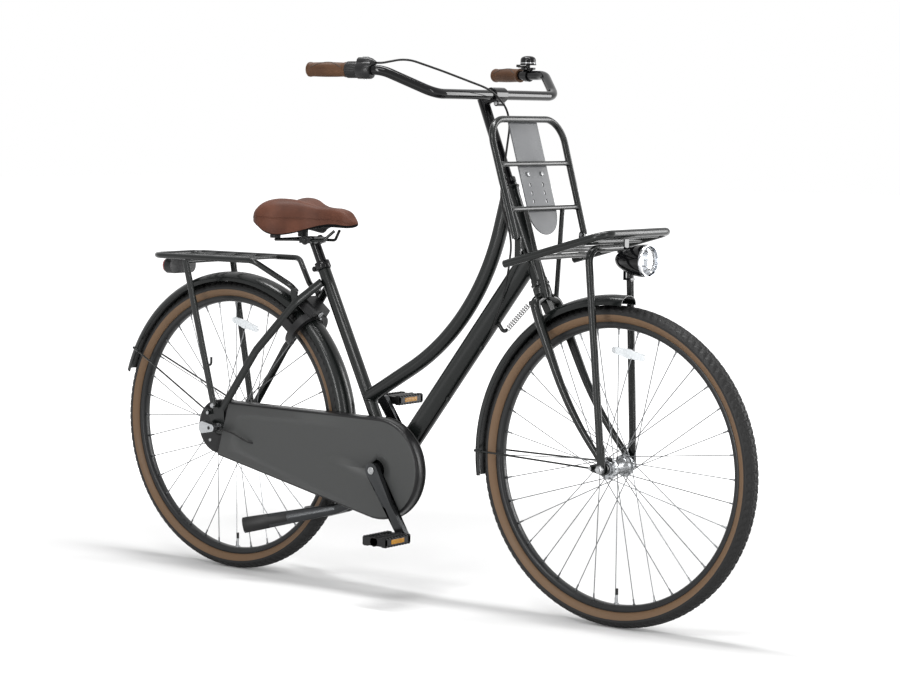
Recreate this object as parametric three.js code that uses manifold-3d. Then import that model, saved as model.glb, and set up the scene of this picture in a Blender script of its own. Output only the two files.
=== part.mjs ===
// Dutch city bike with a front carrier, in millimetres: X forward, Y to the rider's left, Z up.
// Sizes are measured from the rear axle. The finished group stands on Z 0 with its box centred in X and Y.
import * as THREE from "three";
import { mergeVertices } from "three/addons/utils/BufferGeometryUtils.js";
import Module from "manifold-3d";

const wasm = await Module();
wasm.setup();

// Fits shared by all pieces
const seatGap = 0.3;
const runningGap = 0.6;
const cutOverrun = 6;
const mergeDistance = 1e-3;
const wheelFacets = 36;

// Wheels
const tyreRadius = 355;
const tyreHalfWidth = 22.5;
const tyreWidestDrop = 21;
const tyreShoulderDrop = 8;
const tyreShoulderHalf = 19.5;
const treadFlatHalf = 9;
const tyreDepth = 37;
const rimWellDrop = 8;
const rimSideDrop = 12;
const rimDepth = 15;
const rimHalfWidth = 13.5;
const rimInnerHalf = 8;
const rimWall = 1.8;
const spokesPerWheel = 36;
const spokeRadius = 1;
const spokeCrossings = 3;
const spokeRimHalf = 2.5;
const spokeHeadOffset = 1.8;
const spokeRimOffset = 1.1;
const reflectorInside = 51;
const reflectorLength = 62;
const reflectorHeight = 20;
const reflectorThickness = 5;
const wheelBase = 1124;

// Hubs and axles
const axleRadius = 4.9;
const hubFacets = 12;
const axleFacets = 8;
const hubFlangeHalf = 30;
const hubFlangeThickness = 3;
const rearHubSize = { flange: 36, circle: 32, barrel: 23 };
const frontHubSize = { flange: 25, circle: 21.5, barrel: 12 };
const hubEndRadius = 14;
const frontHubHalf = 44;
const rearHubRightEnd = 34;
const rearHubLeftEnd = 47;
const nutRadius = 9.5;
const nutFacets = 6;
const coneRadius = 8;

// Frame tubes
const headAngle = THREE.MathUtils.degToRad(68);
const forkOffset = 49;
const headTubeLow = 442;
const headTubeHigh = 664;
const headTubeRadius = 17.2;
const headTubeBore = 15.1;
const headCupRadius = 21;
const headCupHeight = 6;
const bottomBracketX = 499;
const bottomBracketZ = 295;
const bracketShellRadius = 21;
const bracketShellHalf = 35;
const bracketShellBore = 17.3;
const seatTubeTopX = 275;
const seatTubeTopZ = 765;
const seatTubeRadius = 15;
const seatTubeBore = 12.8;
const seatTubeBoreDepth = 330;
const downTubeRadius = 25;
const downTubeHeadAlong = 505;
const topTubeRadius = 17;
const topTubeHeadAlong = 669;
const topTubeCutBelow = 6;
const topTubeCutRadius = 60;
const topTubeBendX = 745;
const topTubeBendZ = 646;
const topTubeSeatAlong = 176;
const topTubeBendRadius = 555;

// Rear triangle
const dropoutInner = 57;
const dropoutThickness = 5;
const dropoutRadius = 17;
const eyeletRadius = 8;
const carrierEyeletX = -12;
const carrierEyeletZ = 52;
const fenderEyeletX = -29;
const fenderEyeletZ = 33;
const chainStayRadius = 9;
const chainStaySlimRadius = 7.5;
const chainStayRootHalf = 25;
const chainStayWheelX = 362;
const chainStayWheelHalf = 41;
const chainStayEndX = 64;
const chainStayEndHalf = 51;
const seatStayWidth = 7.5;
const seatStayEndWidth = 4.5;
const seatStayDepth = 10.5;
const seatStayRootHalf = 17;
const seatStayRootX = 290;
const seatStayRootZ = 719;
const seatStayBendX = 232;
const seatStayBendZ = 668;
const seatStayBendHalf = 44.5;
const seatStayMidX = 115;
const seatStayMidZ = 548;
const seatStayMidHalf = 54;
const seatStayEndX = 9;
const seatStayEndZ = 398;
const stayBendRadius = 70;

// Crank, chain and chain case
const chainLine = 44;
const chainPitch = 12.7;
const chainringTeeth = 38;
const sprocketTeeth = 19;
const chainHalfWidth = 4;
const chainHalfHeight = 4.5;
const gearThickness = 2.6;
const crankLength = 170;
const crankAngle = THREE.MathUtils.degToRad(-57.4);
const crankAxleRadius = 8.2;
const crankInner = 69;
const crankThickness = 14;
const crankBossRadius = 17;
const crankEyeRadius = 12.5;
const crankWaistHalf = 8.5;
const crankWaistShare = 0.55;
const crankBoltRadius = 8;
const crankBoltHeight = 2.5;
const chainringHubRadius = 15;
const chainringHoleRadius = 15;
const chainringHoleCircle = 46;
const chainringHoles = 5;
const pedalSpindleRadius = 5;
const pedalInner = 8;
const pedalLength = 92;
const pedalHalfDepth = 33;
const pedalHalfHeight = 11;
const pedalBarDepth = 13;
const pedalBarrelRadius = 11;
const pedalEndThickness = 9;
const pedalEndHalfHeight = 9;
const caseOuter = 66;
const caseInner = 34.3;
const caseWall = 1.6;
const caseFrontX = 4;
const caseFrontZ = 2;
const caseFrontRadius = 118;
const caseRearX = -10;
const caseRearZ = -1;
const caseRearRadius = 66;
const caseEdgeTopX = 38;
const caseEdgeBottomX = 0;
const caseCapOuter = 54;
const caseFlangeDepth = 13;
const caseCrankHole = 21;
const caseAxleHole = 16;
const caseCableHoleX = 113;
const caseCableHoleZ = 324;
const caseCableHoleRadius = 5.5;
const sprocketCarrierRadius = 17;
const sprocketCarrierOuter = 50;

// Kickstand
const standPivotX = 395;
const standPivotZ = 250;
const standPivotRadius = 7;
const standSleeveRadius = 13;
const standSleeveHalf = 12;
const standPlateHalfLength = 17;
const standPlateHalf = 42;
const standPlateThickness = 4;
const standLegHeight = 10;
const standLegWidth = 7;
const standLegHalf = 20;
const standKneeX = 375;
const standKneeZ = 196;
const standTurnX = 343;
const standTurnZ = 183;
const standTurnHalf = 22;
const standFootX = 132;
const standFootZ = 132;
const standFootHalf = 115;
const standFootHeight = 19;
const standFootWidth = 9;
const standBendRadius = 18;

// Fenders
const fenderClear = 22;
const fenderDrop = 22;
const fenderHalf = 29;
const fenderThickness = 1.6;
const fenderSectionShares = [
  [1, 1],
  [0.84, 0.42],
  [0.45, 0.1],
  [0, 0],
];
const fenderStayRadius = 2.2;
const fenderStayClear = 1.5;
const rearFenderStart = -12;
const rearFenderEnd = 162;
const frontFenderStart = 86;
const frontFenderEnd = 188;
const rearStayAngle = 152;
const frontStayAngle = 179;
const frontEyeletX = -27;
const degreesPerFenderStep = 9;
const fenderTabHalf = 9;
const fenderTabRise = 25;
const fenderTabDegrees = 29;

// Rear carrier and light
const rackHalf = 84;
const rackZ = 766;
const rackRearX = -207;
const rackFrontX = 131;
const rackTubeRadius = 7;
const rackCornerRadius = 38;
const rackCrossRadius = 4.5;
const rackCrossCount = 4;
const rackStrutX = 226;
const rackStrutZ = 694;
const rackStrutHalf = 35;
const rackStraightShare = 0.2;
const rackTabRadius = 9;
const rackTabThickness = 4;
const rackLegTopX = -89;
const rackLegWide = 9;
const rackLegThin = 4.5;
const lugThickness = 4;
const hookZ = 505;
const hookReach = 22;
const hookDrop = 20;
const hookRadius = 3;
const hookOut = 4;
const lightX = -197;
const lightZ = 738;
const lightHalfLength = 47;
const lightHalfDepth = 20;
const lightHalfHeight = 19;
const lightPlateHalf = 20;
const lightPlateThickness = 3;

// Ring lock
const lockAngle = THREE.MathUtils.degToRad(51.6);
const lockBelowTread = 20;
const lockForward = 26;
const lockRadius = 50;
const lockHalfDepth = 9;
const lockRadialHalf = 7;
const lockGrooveHalf = 4.7;
const lockBoltRadius = 4.2;
const lockArmDegrees = 130;
const lockOverrunDegrees = 6;
const lockBoltFrom = -8;
const lockBoltTo = 122;
const lockKnobLength = 9;
const lockKnobRadius = 3;
const lockSlotFrom = -9;
const lockSlotTo = 118;
const lockBodyHalf = 30;
const lockBodyLow = 42;
const lockBodyHigh = 72;
const lockBodyBack = 42;
const lockEarAcross = 46;
const lockEarHalf = 5;
const lockEarLow = -12;
const lockEarHigh = 12;
const lockEarBack = 44;

// Seat
const seatPostRadius = 12.4;
const seatPostTop = 52;
const seatPostDepth = 190;
const seatCollarRadius = 18.5;
const seatCollarHeight = 18;
const seatCollarLug = 12;
const seatCollarBolt = 4;
const saddleRearX = 128;
const saddleNoseX = 383;
const saddleHalfWidth = 100;
const saddleTopZ = 917;
const saddleBottomZ = 829;
const saddleNoseTopZ = 868;
const saddleNoseBottomZ = 850;
const saddleGroove = 9;
const saddleGrooveShare = 0.3;
const saddleNotch = 14;
const saddleNotchPower = 4;
const saddleWidthShares = [0.1, 0.19, 0.23, 0.27, 0.34, 0.47, 0.68, 0.88, 0.99, 1, 0.86];
const saddleTopShares = [0, 0.28, 0.36, 0.45, 0.62, 0.82, 0.95, 1, 0.98, 0.85, 0.55];
const saddleBottomShares = [1, 0.96, 0.96, 0.99, 1.01, 1.01, 0.93, 0.75, 0.47, 0.16, 0];
const saddleSquareness = 0.72;
const saddleSeamShare = 0.3;
const saddleStations = 15;
const saddleSides = 22;
const railRadius = 3.5;
const railHalf = 22;
const railZ = 817;
const railBendX = 205;
const railBendRadius = 14;
const railFrontX = 322;
const railNoseHalf = 9;
const railRise = 24;
const seatClampX = 246;
const seatClampHalfLength = 22;
const seatClampHalfWidth = 30;
const seatClampHalfHeight = 9;
const elastomerRadius = 13;
const elastomerHalf = 50;
const elastomerX = 172;

// Fork and head parts
const steererRadius = 14.2;
const steererBore = 13;
const steererTop = 684;
const crownAlong = 414;
const crownRaceRadius = 20;
const crownRaceHeight = 6;
const forkTopRadius = 12;
const forkEndRadius = 7.5;
const forkShoulderHalf = 43;
const forkShoulderAlong = 398;
const forkStraightHalf = 46;
const forkStraightAlong = 350;
const forkShoulderRadius = 22;
const forkLowHalf = 51;
const forkEndAlong = 20;
const forkEndWidth = 5;
const fenderEyeletRadius = 8;
const forkBendAlong = 150;
const forkForward = 8;
const forkEndHalf = 53;
const forkDropoutInner = 50;
const forkDropoutThickness = 4.5;
const forkDropoutRadius = 14;
const springLugReach = 42;
const springLugThickness = 10;
const lockNutRadius = 17;
const lockNutTop = 690;

// Stem, handlebar and what it carries
const quillRadius = 12.5;
const quillLow = 560;
const quillTop = 886;
const clampAlong = 874;
const clampForward = 40;
const clampRadius = 17;
const clampHalf = 22;
const stemBoltRadius = 4.5;
const stemBoltShare = 0.6;
const stemBoltHeadShare = 1.6;
const stemArmShare = 0.9;
const barRadius = 11.1;
const barCornerHalf = 222;
const barKneeBack = 85;
const barKneeHalf = 302;
const barKneeRise = 50;
const barEndBack = 258;
const barEndHalf = 341;
const barEndRise = 51;
const barBendRadius = 60;
const gripRadius = 16.5;
const gripLength = 92;
const gripCap = 4;
const twistRadius = 18;
const twistLength = 27;
const shifterRadius = 20;
const shifterLength = 34;
const shifterNose = 8;
const shifterHumpRise = 15;
const shifterHumpRadius = 12;
const bellClampRadius = 15;
const bellClampLength = 13;
const bellRadius = 19;
const bellHeight = 20;
const bellStemRadius = 5;
const bellBaseHeight = 12;
const bellSink = 1;
const bellDomeShares = [
  [1, 0.35],
  [0.78, 0.8],
  [0.4, 1],
];
const bellLeverRise = 21;
const bellLeverLength = 30;
const bellLeverHalf = 5;
const bellLeverThickness = 2.5;
const bellFromEnd = 118;

// Front carrier and headlight
const loopBottomX = 940;
const loopBottomZ = 850;
const loopTopX = 865;
const loopTopZ = 1107;
const loopBottomHalf = 131;
const loopTopHalf = 136;
const loopRadius = 7.5;
const loopCornerRadius = 55;
const loopBarRadius = 5.5;
const upperBarShare = 0.62;
const lowerBarShare = 0.24;
const rodHalf = 20;
const rodTopHalf = 70;
const rodRadius = 5.5;
const rodLowAlong = 404;
const plateHalf = 53;
const plateThickness = 3;
const plateTopGap = 10;
const plateLength = 252;
const plateSlotHeight = 10;
const plateSlotWidth = 6;
const plateSlotRows = 3;
const plateSlotRise = 76;
const plateSlotPitch = 19;
const plateSlotHalf = 24;
const plateBoltHalf = 26;
const plateBoltDrop = 22;
const plateBoltRadius = 5;
const plateBoltHeight = 5;
const trayRearX = 912;
const trayRearZ = 793;
const trayFrontX = 1172;
const trayFrontZ = 866;
const trayHalf = 132;
const trayRadius = 8.5;
const trayCornerRadius = 32;
const trayBarRadius = 6;
const trayBarShares = [0.19, 0.45, 0.71, 0.88];
const linkThickness = 4;
const linkPinShare = 0.6;
const legTopHalf = 80;
const legRadius = 8.3;
const legBottomHalf = 63.5;
const legCornerRadius = 30;
const legPlateInner = 58.8;
const legPlateThickness = 3.5;
const legPlateHalf = 9;
const legPlateRise = 48;
const legStart = 36;
const lampX = 1202;
const lampZ = 806;
const lampRadius = 36;
const lampLength = 85;
const lampWall = 3;
const lampFacets = 16;
const lampRimDepth = 14;
const lampFootX = 1152;
const lampFootRadius = 7;
const lampFootShare = 0.75;
const lampOuterShares = [
  [0.35, 0.04],
  [0.72, 0.3],
  [0.93, 0.62],
];
const lampInnerShares = [
  [0.8, 0.62],
  [0.5, 0.3],
  [0, 0.2],
];
const lensDomeShares = [
  [1, 0.3],
  [0.6, 0.1],
];
const lampStrapZ = 766;
const lampStrapHalf = 8;
const lampStrapHalfThickness = 1.5;

// Steering spring and shift cable
const springAnchorAlong = 465;
const springAnchorOut = 49;
const springCoilRadius = 5.5;
const springWireRadius = 0.9;
const springTurns = 13;
const springLeadShare = 2;
const springGrowSteps = 4;
const springStubRadius = 4.5;
const springStubLength = 8;
const cableRadius = 2.4;
const cableBendRadius = 16;
const cableClipRadius = 4.6;
const cableClipHalf = 5;
const cableSide = 9;
const cableClipShares = [0.616, 0.374, 0.125];
const shiftBoxInner = 74;
const shiftBoxOuter = 95;
const shiftBoxHalfHeight = 15;
const shiftBoxRear = 38;
const shiftBoxFront = 15;
const brakeArmThickness = 3;
const brakeArmInner = 48.2;
const brakeArmX = 150;
const brakeArmDrop = 26;
const brakeArmHalf = 8;
const brakeArmHubRadius = 16;
const nutHeight = 8;
const axleTip = 3;
const rearReflectorDegrees = 82;
const rearReflectorSlant = -15;
const frontReflectorDegrees = 83;
const frontReflectorSlant = -10;
const cableLead = 16;

// Places that follow from the sizes
const tyreWidestRadius = tyreRadius - tyreWidestDrop;
const tyreShoulderRadius = tyreRadius - tyreShoulderDrop;
const rimEdgeRadius = tyreRadius - tyreDepth;
const rimWellRadius = rimEdgeRadius - rimWellDrop;
const rimSideRadius = rimEdgeRadius - rimSideDrop;
const rimInnerRadius = rimEdgeRadius - rimDepth;
const reflectorRadius = rimInnerRadius - reflectorInside;
const fenderRadius = tyreRadius + fenderClear;
const fenderEdgeRadius = fenderRadius - fenderDrop;
const fenderTabTop = fenderRadius + fenderTabRise;
const lockDistance = tyreRadius - lockBelowTread;
const topTubeCutAlong = headTubeHigh - headCupHeight - topTubeCutBelow;
const wheelHalfStep = Math.PI / wheelFacets;
const axleHeight = tyreRadius * Math.cos(wheelHalfStep);
const headUp = new THREE.Vector3(-Math.cos(headAngle), 0, Math.sin(headAngle));
const headForward = new THREE.Vector3(Math.sin(headAngle), 0, Math.cos(headAngle));
const leftward = new THREE.Vector3(0, 1, 0);
const upward = new THREE.Vector3(0, 0, 1);
const forward = new THREE.Vector3(1, 0, 0);
const rearHub = point(0, 0, axleHeight);
const frontHub = point(wheelBase, 0, axleHeight);
const bracket = point(bottomBracketX, 0, bottomBracketZ);
const seatTubeTop = point(seatTubeTopX, 0, seatTubeTopZ);
const seatTubeUp = seatTubeTop.clone().sub(bracket).normalize();
const seatTubeBack = point(-seatTubeUp.z, 0, seatTubeUp.x);
const downTubeHead = onHead(0, 0, downTubeHeadAlong);
const downTubeUp = downTubeHead.clone().sub(bracket).normalize();
const downTubeUnder = point(downTubeUp.z, 0, -downTubeUp.x);
const sides = { right: -1, left: 1 };
const rearTip = fenderRadius * Math.cos(THREE.MathUtils.degToRad(rearFenderEnd));
const frontTip = wheelBase + tyreRadius * Math.cos(wheelHalfStep);
const originX = (rearTip + frontTip) / 2;

function point(x, y, z) {
  return new THREE.Vector3(x, y, z);
}

// A point near the steering axis: how far ahead of it, how far to the left, and how far up along it.
function onHead(ahead, left, along) {
  return frontHub
    .clone()
    .addScaledVector(headForward, ahead - forkOffset)
    .addScaledVector(headUp, along)
    .setY(left);
}

// A point at a radius and an angle in degrees round a wheel's axle; 90 is straight up and 0 is forward.
function onWheel(hub, radius, degrees, y) {
  const angle = THREE.MathUtils.degToRad(degrees);
  return point(hub.x + radius * Math.cos(angle), y, hub.z + radius * Math.sin(angle));
}

// A path of straight runs and round bends. Its stations lie only where it turns.
class Route extends THREE.Curve {
  constructor(corners, bendRadius = 0, bendSteps = 4, side = null) {
    super();
    this.side = side;
    this.stations = corners.flatMap((corner, i) =>
      i === 0 || i === corners.length - 1 || bendRadius === 0
        ? [corner]
        : bendPoints(corners[i - 1], corner, corners[i + 1], bendRadius, bendSteps),
    );
  }

  get steps() {
    return this.stations.length - 1;
  }

  getPoint(share, target = new THREE.Vector3()) {
    const place = share * this.steps;
    const i = Math.min(Math.floor(place), this.steps - 1);
    return target.lerpVectors(this.stations[i], this.stations[i + 1], place - i);
  }

  getUtoTmapping(share) {
    return share;
  }

  computeFrenetFrames() {
    const run = (i) => this.stations[i + 1].clone().sub(this.stations[i]).normalize();
    const tangents = this.stations.map((_, i) =>
      run(Math.max(i - 1, 0)).add(run(Math.min(i, this.steps - 1))).normalize(),
    );
    let normal = this.side ?? perpendicularTo(tangents[0]);
    const normals = tangents.map((tangent) => {
      normal = (this.side ?? normal).clone();
      normal.addScaledVector(tangent, -normal.dot(tangent)).normalize();
      return normal;
    });
    const binormals = tangents.map((tangent, i) => tangent.clone().cross(normals[i]));
    return { tangents, normals, binormals };
  }
}

function perpendicularTo(direction) {
  const helper = Math.abs(direction.z) < Math.SQRT1_2 ? upward : forward;
  return direction.clone().cross(helper).normalize();
}

// The stations of one round bend at a corner.
function bendPoints(before, corner, after, radius, steps) {
  const back = before.clone().sub(corner).normalize();
  const on = after.clone().sub(corner).normalize();
  const half = back.angleTo(on) / 2;
  const reach = radius / Math.tan(half);
  const centre = corner
    .clone()
    .addScaledVector(back.clone().add(on).normalize(), radius / Math.sin(half));
  const start = corner.clone().addScaledVector(back, reach).sub(centre);
  const axis = on.clone().cross(back).normalize();
  const turn = Math.PI - 2 * half;
  return Array.from({ length: steps + 1 }, (_, i) =>
    start.clone().applyAxisAngle(axis, (turn * i) / steps).add(centre),
  );
}

// Solids: three.js geometry in, closed manifold out, always facing outwards.
function solid(geometry) {
  const bare = geometry.index ? geometry.toNonIndexed() : geometry.clone();
  bare.deleteAttribute("normal");
  bare.deleteAttribute("uv");
  const merged = mergeVertices(bare, mergeDistance);
  const source = merged.index.array;
  const triangles = [];
  for (let i = 0; i < source.length; i += 3) {
    const [a, b, c] = [source[i], source[i + 1], source[i + 2]];
    if (a !== b && b !== c && c !== a) triangles.push(a, b, c);
  }
  const build = (triVerts) =>
    new wasm.Manifold(
      new wasm.Mesh({
        numProp: 3,
        vertProperties: merged.attributes.position.array,
        triVerts: new Uint32Array(triVerts),
      }),
    );
  const made = build(triangles);
  return made.volume() < 0 ? build(triangles.toReversed()) : made;
}

function join(...solids) {
  return solids.flat().reduce((whole, next) => whole.add(next));
}

function cut(body, ...tools) {
  return tools.flat().reduce((whole, next) => whole.subtract(next), body);
}

function ellipse(halfX, halfY, count) {
  const corners = Array.from({ length: count }, (_, i) => {
    const angle = (2 * Math.PI * (i + 0.5)) / count;
    return new THREE.Vector2(halfX * Math.cos(angle), halfY * Math.sin(angle));
  });
  return new THREE.Shape(corners);
}

// A section swept along a route. With a side given, the section's first axis lies along it.
function sweep(section, route) {
  return solid(
    new THREE.ExtrudeGeometry(section, {
      steps: route.steps,
      extrudePath: route,
      bevelEnabled: false,
      curveSegments: 6,
    }),
  );
}

function tube(corners, radius, { bend = 0, steps = 4, facets = 10 } = {}) {
  return sweep(ellipse(radius, radius, facets), new Route(corners, bend, steps));
}

function rod(from, to, radius, facets = 10) {
  return tube([from, to], radius, { facets });
}

// Skin over rings of equal point counts, closed at both ends.
function loft(rings) {
  const count = rings[0].length;
  const points = rings.flat();
  const index = [];
  for (let r = 0; r < rings.length - 1; r++) {
    for (let s = 0; s < count; s++) {
      const a = r * count + s;
      const b = r * count + ((s + 1) % count);
      index.push(a, b, b + count, a, b + count, a + count);
    }
  }
  const first = points.length;
  points.push(middle(rings[0]), middle(rings.at(-1)));
  const last = (rings.length - 1) * count;
  for (let s = 0; s < count; s++) {
    const next = (s + 1) % count;
    index.push(first, next, s, first + 1, last + s, last + next);
  }
  const geometry = new THREE.BufferGeometry().setFromPoints(points);
  geometry.setIndex(index);
  return solid(geometry);
}

function middle(ring) {
  return ring.reduce((sum, p) => sum.add(p), point(0, 0, 0)).divideScalar(ring.length);
}

// A tube whose section changes evenly from one end of its route to the other.
function taper(route, startHalves, endHalves, facets = 10) {
  const { normals, binormals } = route.computeFrenetFrames();
  const lengths = [0];
  for (let i = 1; i < route.stations.length; i++) {
    lengths.push(lengths[i - 1] + route.stations[i].distanceTo(route.stations[i - 1]));
  }
  const rings = route.stations.map((station, i) => {
    const share = lengths[i] / lengths.at(-1);
    const across = THREE.MathUtils.lerp(startHalves[0], endHalves[0], share);
    const along = THREE.MathUtils.lerp(startHalves[1], endHalves[1], share);
    return ellipse(across, along, facets)
      .getPoints()
      .slice(0, facets)
      .map((p) =>
        station.clone().addScaledVector(normals[i], p.x).addScaledVector(binormals[i], p.y),
      );
  });
  return loft(rings);
}

// A profile of [radius, place along the axis] pairs turned round an axis through a point.
function turned(profile, facets, origin, axis = leftward, startAngle = 0) {
  const outline = profile.map(([radius, place]) => new THREE.Vector2(radius, place));
  const geometry = new THREE.LatheGeometry(outline, facets, startAngle);
  geometry.applyQuaternion(new THREE.Quaternion().setFromUnitVectors(leftward, axis));
  geometry.translate(origin.x, origin.y, origin.z);
  return solid(geometry);
}

// A cutter for a round bore whose flats clear the given radius.
function borer(from, to, radius, facets = 16) {
  return rod(from, to, radius / Math.cos(Math.PI / facets), facets);
}

// A ring with a bore, from one place to another along an axis. Its flats clear the inner radius.
function sleeve(origin, axis, outer, clear, from, to, facets = 16) {
  const inner = clear / Math.cos(Math.PI / facets);
  const profile = [
    [inner, from],
    [outer, from],
    [outer, to],
    [inner, to],
    [inner, from],
  ];
  return turned(profile, facets, origin, axis);
}

// An outline in X and Z with a thickness in Y.
function slab(shape, yFrom, yTo, curveSegments = 10) {
  const depth = Math.abs(yTo - yFrom);
  const geometry = new THREE.ExtrudeGeometry(shape, { depth, bevelEnabled: false, curveSegments });
  geometry.rotateX(Math.PI / 2);
  geometry.translate(0, Math.max(yFrom, yTo), 0);
  return solid(geometry);
}

// A cutter for a hole through a plate whose flats clear the given radius.
function holer(centre, radius, yFrom, yTo, curveSegments = 6) {
  const clear = radius / Math.cos(Math.PI / (2 * curveSegments));
  const low = Math.min(yFrom, yTo) - cutOverrun;
  const high = Math.max(yFrom, yTo) + cutOverrun;
  return slab(circleShape(centre.x, centre.z, clear), low, high, curveSegments);
}

function block(xFrom, xTo, yFrom, yTo, zFrom, zTo) {
  const geometry = new THREE.BoxGeometry(xTo - xFrom, Math.abs(yTo - yFrom), zTo - zFrom);
  geometry.translate((xFrom + xTo) / 2, (yFrom + yTo) / 2, (zFrom + zTo) / 2);
  return solid(geometry);
}

function circleShape(x, z, radius) {
  return new THREE.Shape().absarc(x, z, radius, 0, 2 * Math.PI, false);
}

// The outline of two circles and the two straight lines that touch them both.
function beltShape(rear, rearRadius, front, frontRadius) {
  const across = new THREE.Vector2(front.x - rear.x, front.z - rear.z);
  const lean = across.angle();
  const open = Math.acos((rearRadius - frontRadius) / across.length());
  const shape = new THREE.Shape();
  shape.absarc(front.x, front.z, frontRadius, lean - open, lean + open, false);
  shape.absarc(rear.x, rear.z, rearRadius, lean + open, lean - open + 2 * Math.PI, false);
  return shape;
}

// Materials
function material(colour, roughness, metalness = 0) {
  return new THREE.MeshStandardMaterial({ color: colour, roughness, metalness });
}
const satinPaint = material(0x2b3032, 0.45);
const glossPaint = material(0x0b0b0c, 0.12);
const darkPlastic = material(0x1b1c1d, 0.55);
const casePlastic = material(0x4a4c4c, 0.5);
const platePaint = material(0x828386, 0.5, 0.2);
const chrome = material(0xc9cbcc, 0.18, 1);
const alloy = material(0xb4b6b8, 0.35, 0.9);
const gunmetal = material(0x5b5d60, 0.35, 0.8);
const steel = material(0x8b8d90, 0.4, 0.9);
const rubber = material(0x191919, 0.85);
const rimBlack = material(0x222426, 0.4, 0.4);
const leather = material(0x6b4a3a, 0.6);
const lensClear = material(0xdfe6ea, 0.1);
const lightGrey = material(0x55575a, 0.3);

const bike = new THREE.Group();

function add(name, body, look, parent = bike) {
  const { numProp, vertProperties, triVerts } = body.translate([-originX, 0, 0]).getMesh();
  const geometry = new THREE.BufferGeometry();
  geometry.setAttribute("position", new THREE.BufferAttribute(vertProperties, numProp));
  geometry.setIndex(new THREE.BufferAttribute(triVerts, 1));
  geometry.computeVertexNormals();
  const mesh = new THREE.Mesh(geometry, look);
  mesh.name = name;
  parent.add(mesh);
  return mesh;
}

// Wheels
function tyreProfile() {
  const beadHalf = rimHalfWidth - rimWall - seatGap;
  const beadRadius = rimWellRadius + seatGap;
  const half = [
    [beadRadius, beadHalf],
    [rimEdgeRadius + 2 * seatGap, beadHalf],
    [tyreWidestRadius, tyreHalfWidth],
    [tyreShoulderRadius, tyreShoulderHalf],
    [tyreRadius, treadFlatHalf],
  ];
  const mirrored = half.map(([radius, y]) => [radius, -y]).toReversed();
  return [...half, ...mirrored, half[0]];
}

function rimProfile() {
  const half = [
    [rimInnerRadius, rimInnerHalf],
    [rimSideRadius, rimHalfWidth],
    [rimEdgeRadius, rimHalfWidth],
    [rimEdgeRadius, rimHalfWidth - rimWall],
    [rimWellRadius, rimHalfWidth - rimWall],
  ];
  const mirrored = half.map(([radius, y]) => [radius, -y]).toReversed();
  return [...half, ...mirrored, half[0]];
}

// One flange side of laced spokes: every second spoke leads, the others trail, and they cross three times.
function spokes(hub, side, size) {
  const count = spokesPerWheel / 2;
  const step = 360 / count;
  const rimRadius = rimInnerRadius * Math.cos(wheelHalfStep) - seatGap;
  const shift = side > 0 ? step / 2 : 0;
  return Array.from({ length: count }, (_, i) => {
    const way = i % 2 ? -1 : 1;
    const hubAngle = i * step + shift;
    const rimAngle = hubAngle + way * spokeCrossings * step;
    const flangeY = side * (hubFlangeHalf + hubFlangeThickness / 2 + way * spokeHeadOffset);
    const head = onWheel(hub, size.circle, hubAngle, flangeY);
    const nipple = onWheel(hub, rimRadius, rimAngle, side * (spokeRimHalf + way * spokeRimOffset));
    return rod(head, nipple, spokeRadius, 3);
  });
}

function hubProfile(rightEnd, leftEnd, size) {
  const bore = axleRadius + seatGap;
  const flangeOut = hubFlangeHalf + hubFlangeThickness;
  return [
    [bore, -rightEnd],
    [hubEndRadius, -rightEnd],
    [hubEndRadius, -flangeOut],
    [size.flange, -flangeOut],
    [size.flange, -hubFlangeHalf],
    [size.barrel, -hubFlangeHalf],
    [size.barrel, hubFlangeHalf],
    [size.flange, hubFlangeHalf],
    [size.flange, flangeOut],
    [hubEndRadius, flangeOut],
    [hubEndRadius, leftEnd],
    [bore, leftEnd],
    [bore, -rightEnd],
  ];
}

// The white reflector clipped across two spokes of the right side, at the top of the wheel.
function spokeReflector(hub, degrees, slant) {
  const centre = onWheel(hub, reflectorRadius, degrees, 0);
  const lean = THREE.MathUtils.degToRad(slant);
  const along = point(Math.cos(lean), 0, Math.sin(lean)).multiplyScalar(reflectorLength / 2);
  const route = new Route([centre.clone().sub(along), centre.clone().add(along)], 0, 1, leftward);
  const y = -spokeRimHalf - reflectorThickness / 2;
  const section = ellipse(reflectorThickness * Math.SQRT1_2, reflectorHeight * Math.SQRT1_2, 4);
  const body = sweep(section, route);
  return body.translate([0, y, 0]);
}

function wheel(prefix, hub, size, rightEnd, leftEnd, reflectorDegrees, reflectorSlant) {
  const profile = hubProfile(rightEnd, leftEnd, size);
  add(
    prefix + "_tyre",
    turned(tyreProfile(), wheelFacets, hub, leftward, wheelHalfStep),
    rubber,
  );
  add(
    prefix + "_rim",
    turned(rimProfile(), wheelFacets, hub, leftward, wheelHalfStep),
    rimBlack,
  );
  const shell = turned(profile, hubFacets, hub);
  const laced = join(shell, spokes(hub, sides.right, size), spokes(hub, sides.left, size));
  add(prefix + "_hub", laced.add(spokeReflector(hub, reflectorDegrees, reflectorSlant)), alloy);
}

// Frame
const headTubeOuter = (grow) =>
  turned(
    [
      [0, headTubeLow],
      [headTubeRadius + grow, headTubeLow],
      [headTubeRadius + grow, headTubeHigh],
      [0, headTubeHigh],
    ],
    16,
    onHead(0, 0, 0),
    headUp,
  );
const bracketShellOuter = (grow) =>
  rod(
    bracket.clone().setY(-bracketShellHalf - cutOverrun * Math.sign(grow)),
    bracket.clone().setY(bracketShellHalf + cutOverrun * Math.sign(grow)),
    bracketShellRadius + grow,
    16,
  );
const seatTubeOuter = (grow) => rod(bracket, seatTubeTop, seatTubeRadius + grow, 14);
const downTubeOuter = (grow) => rod(bracket, downTubeHead, downTubeRadius + grow, 16);

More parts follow.
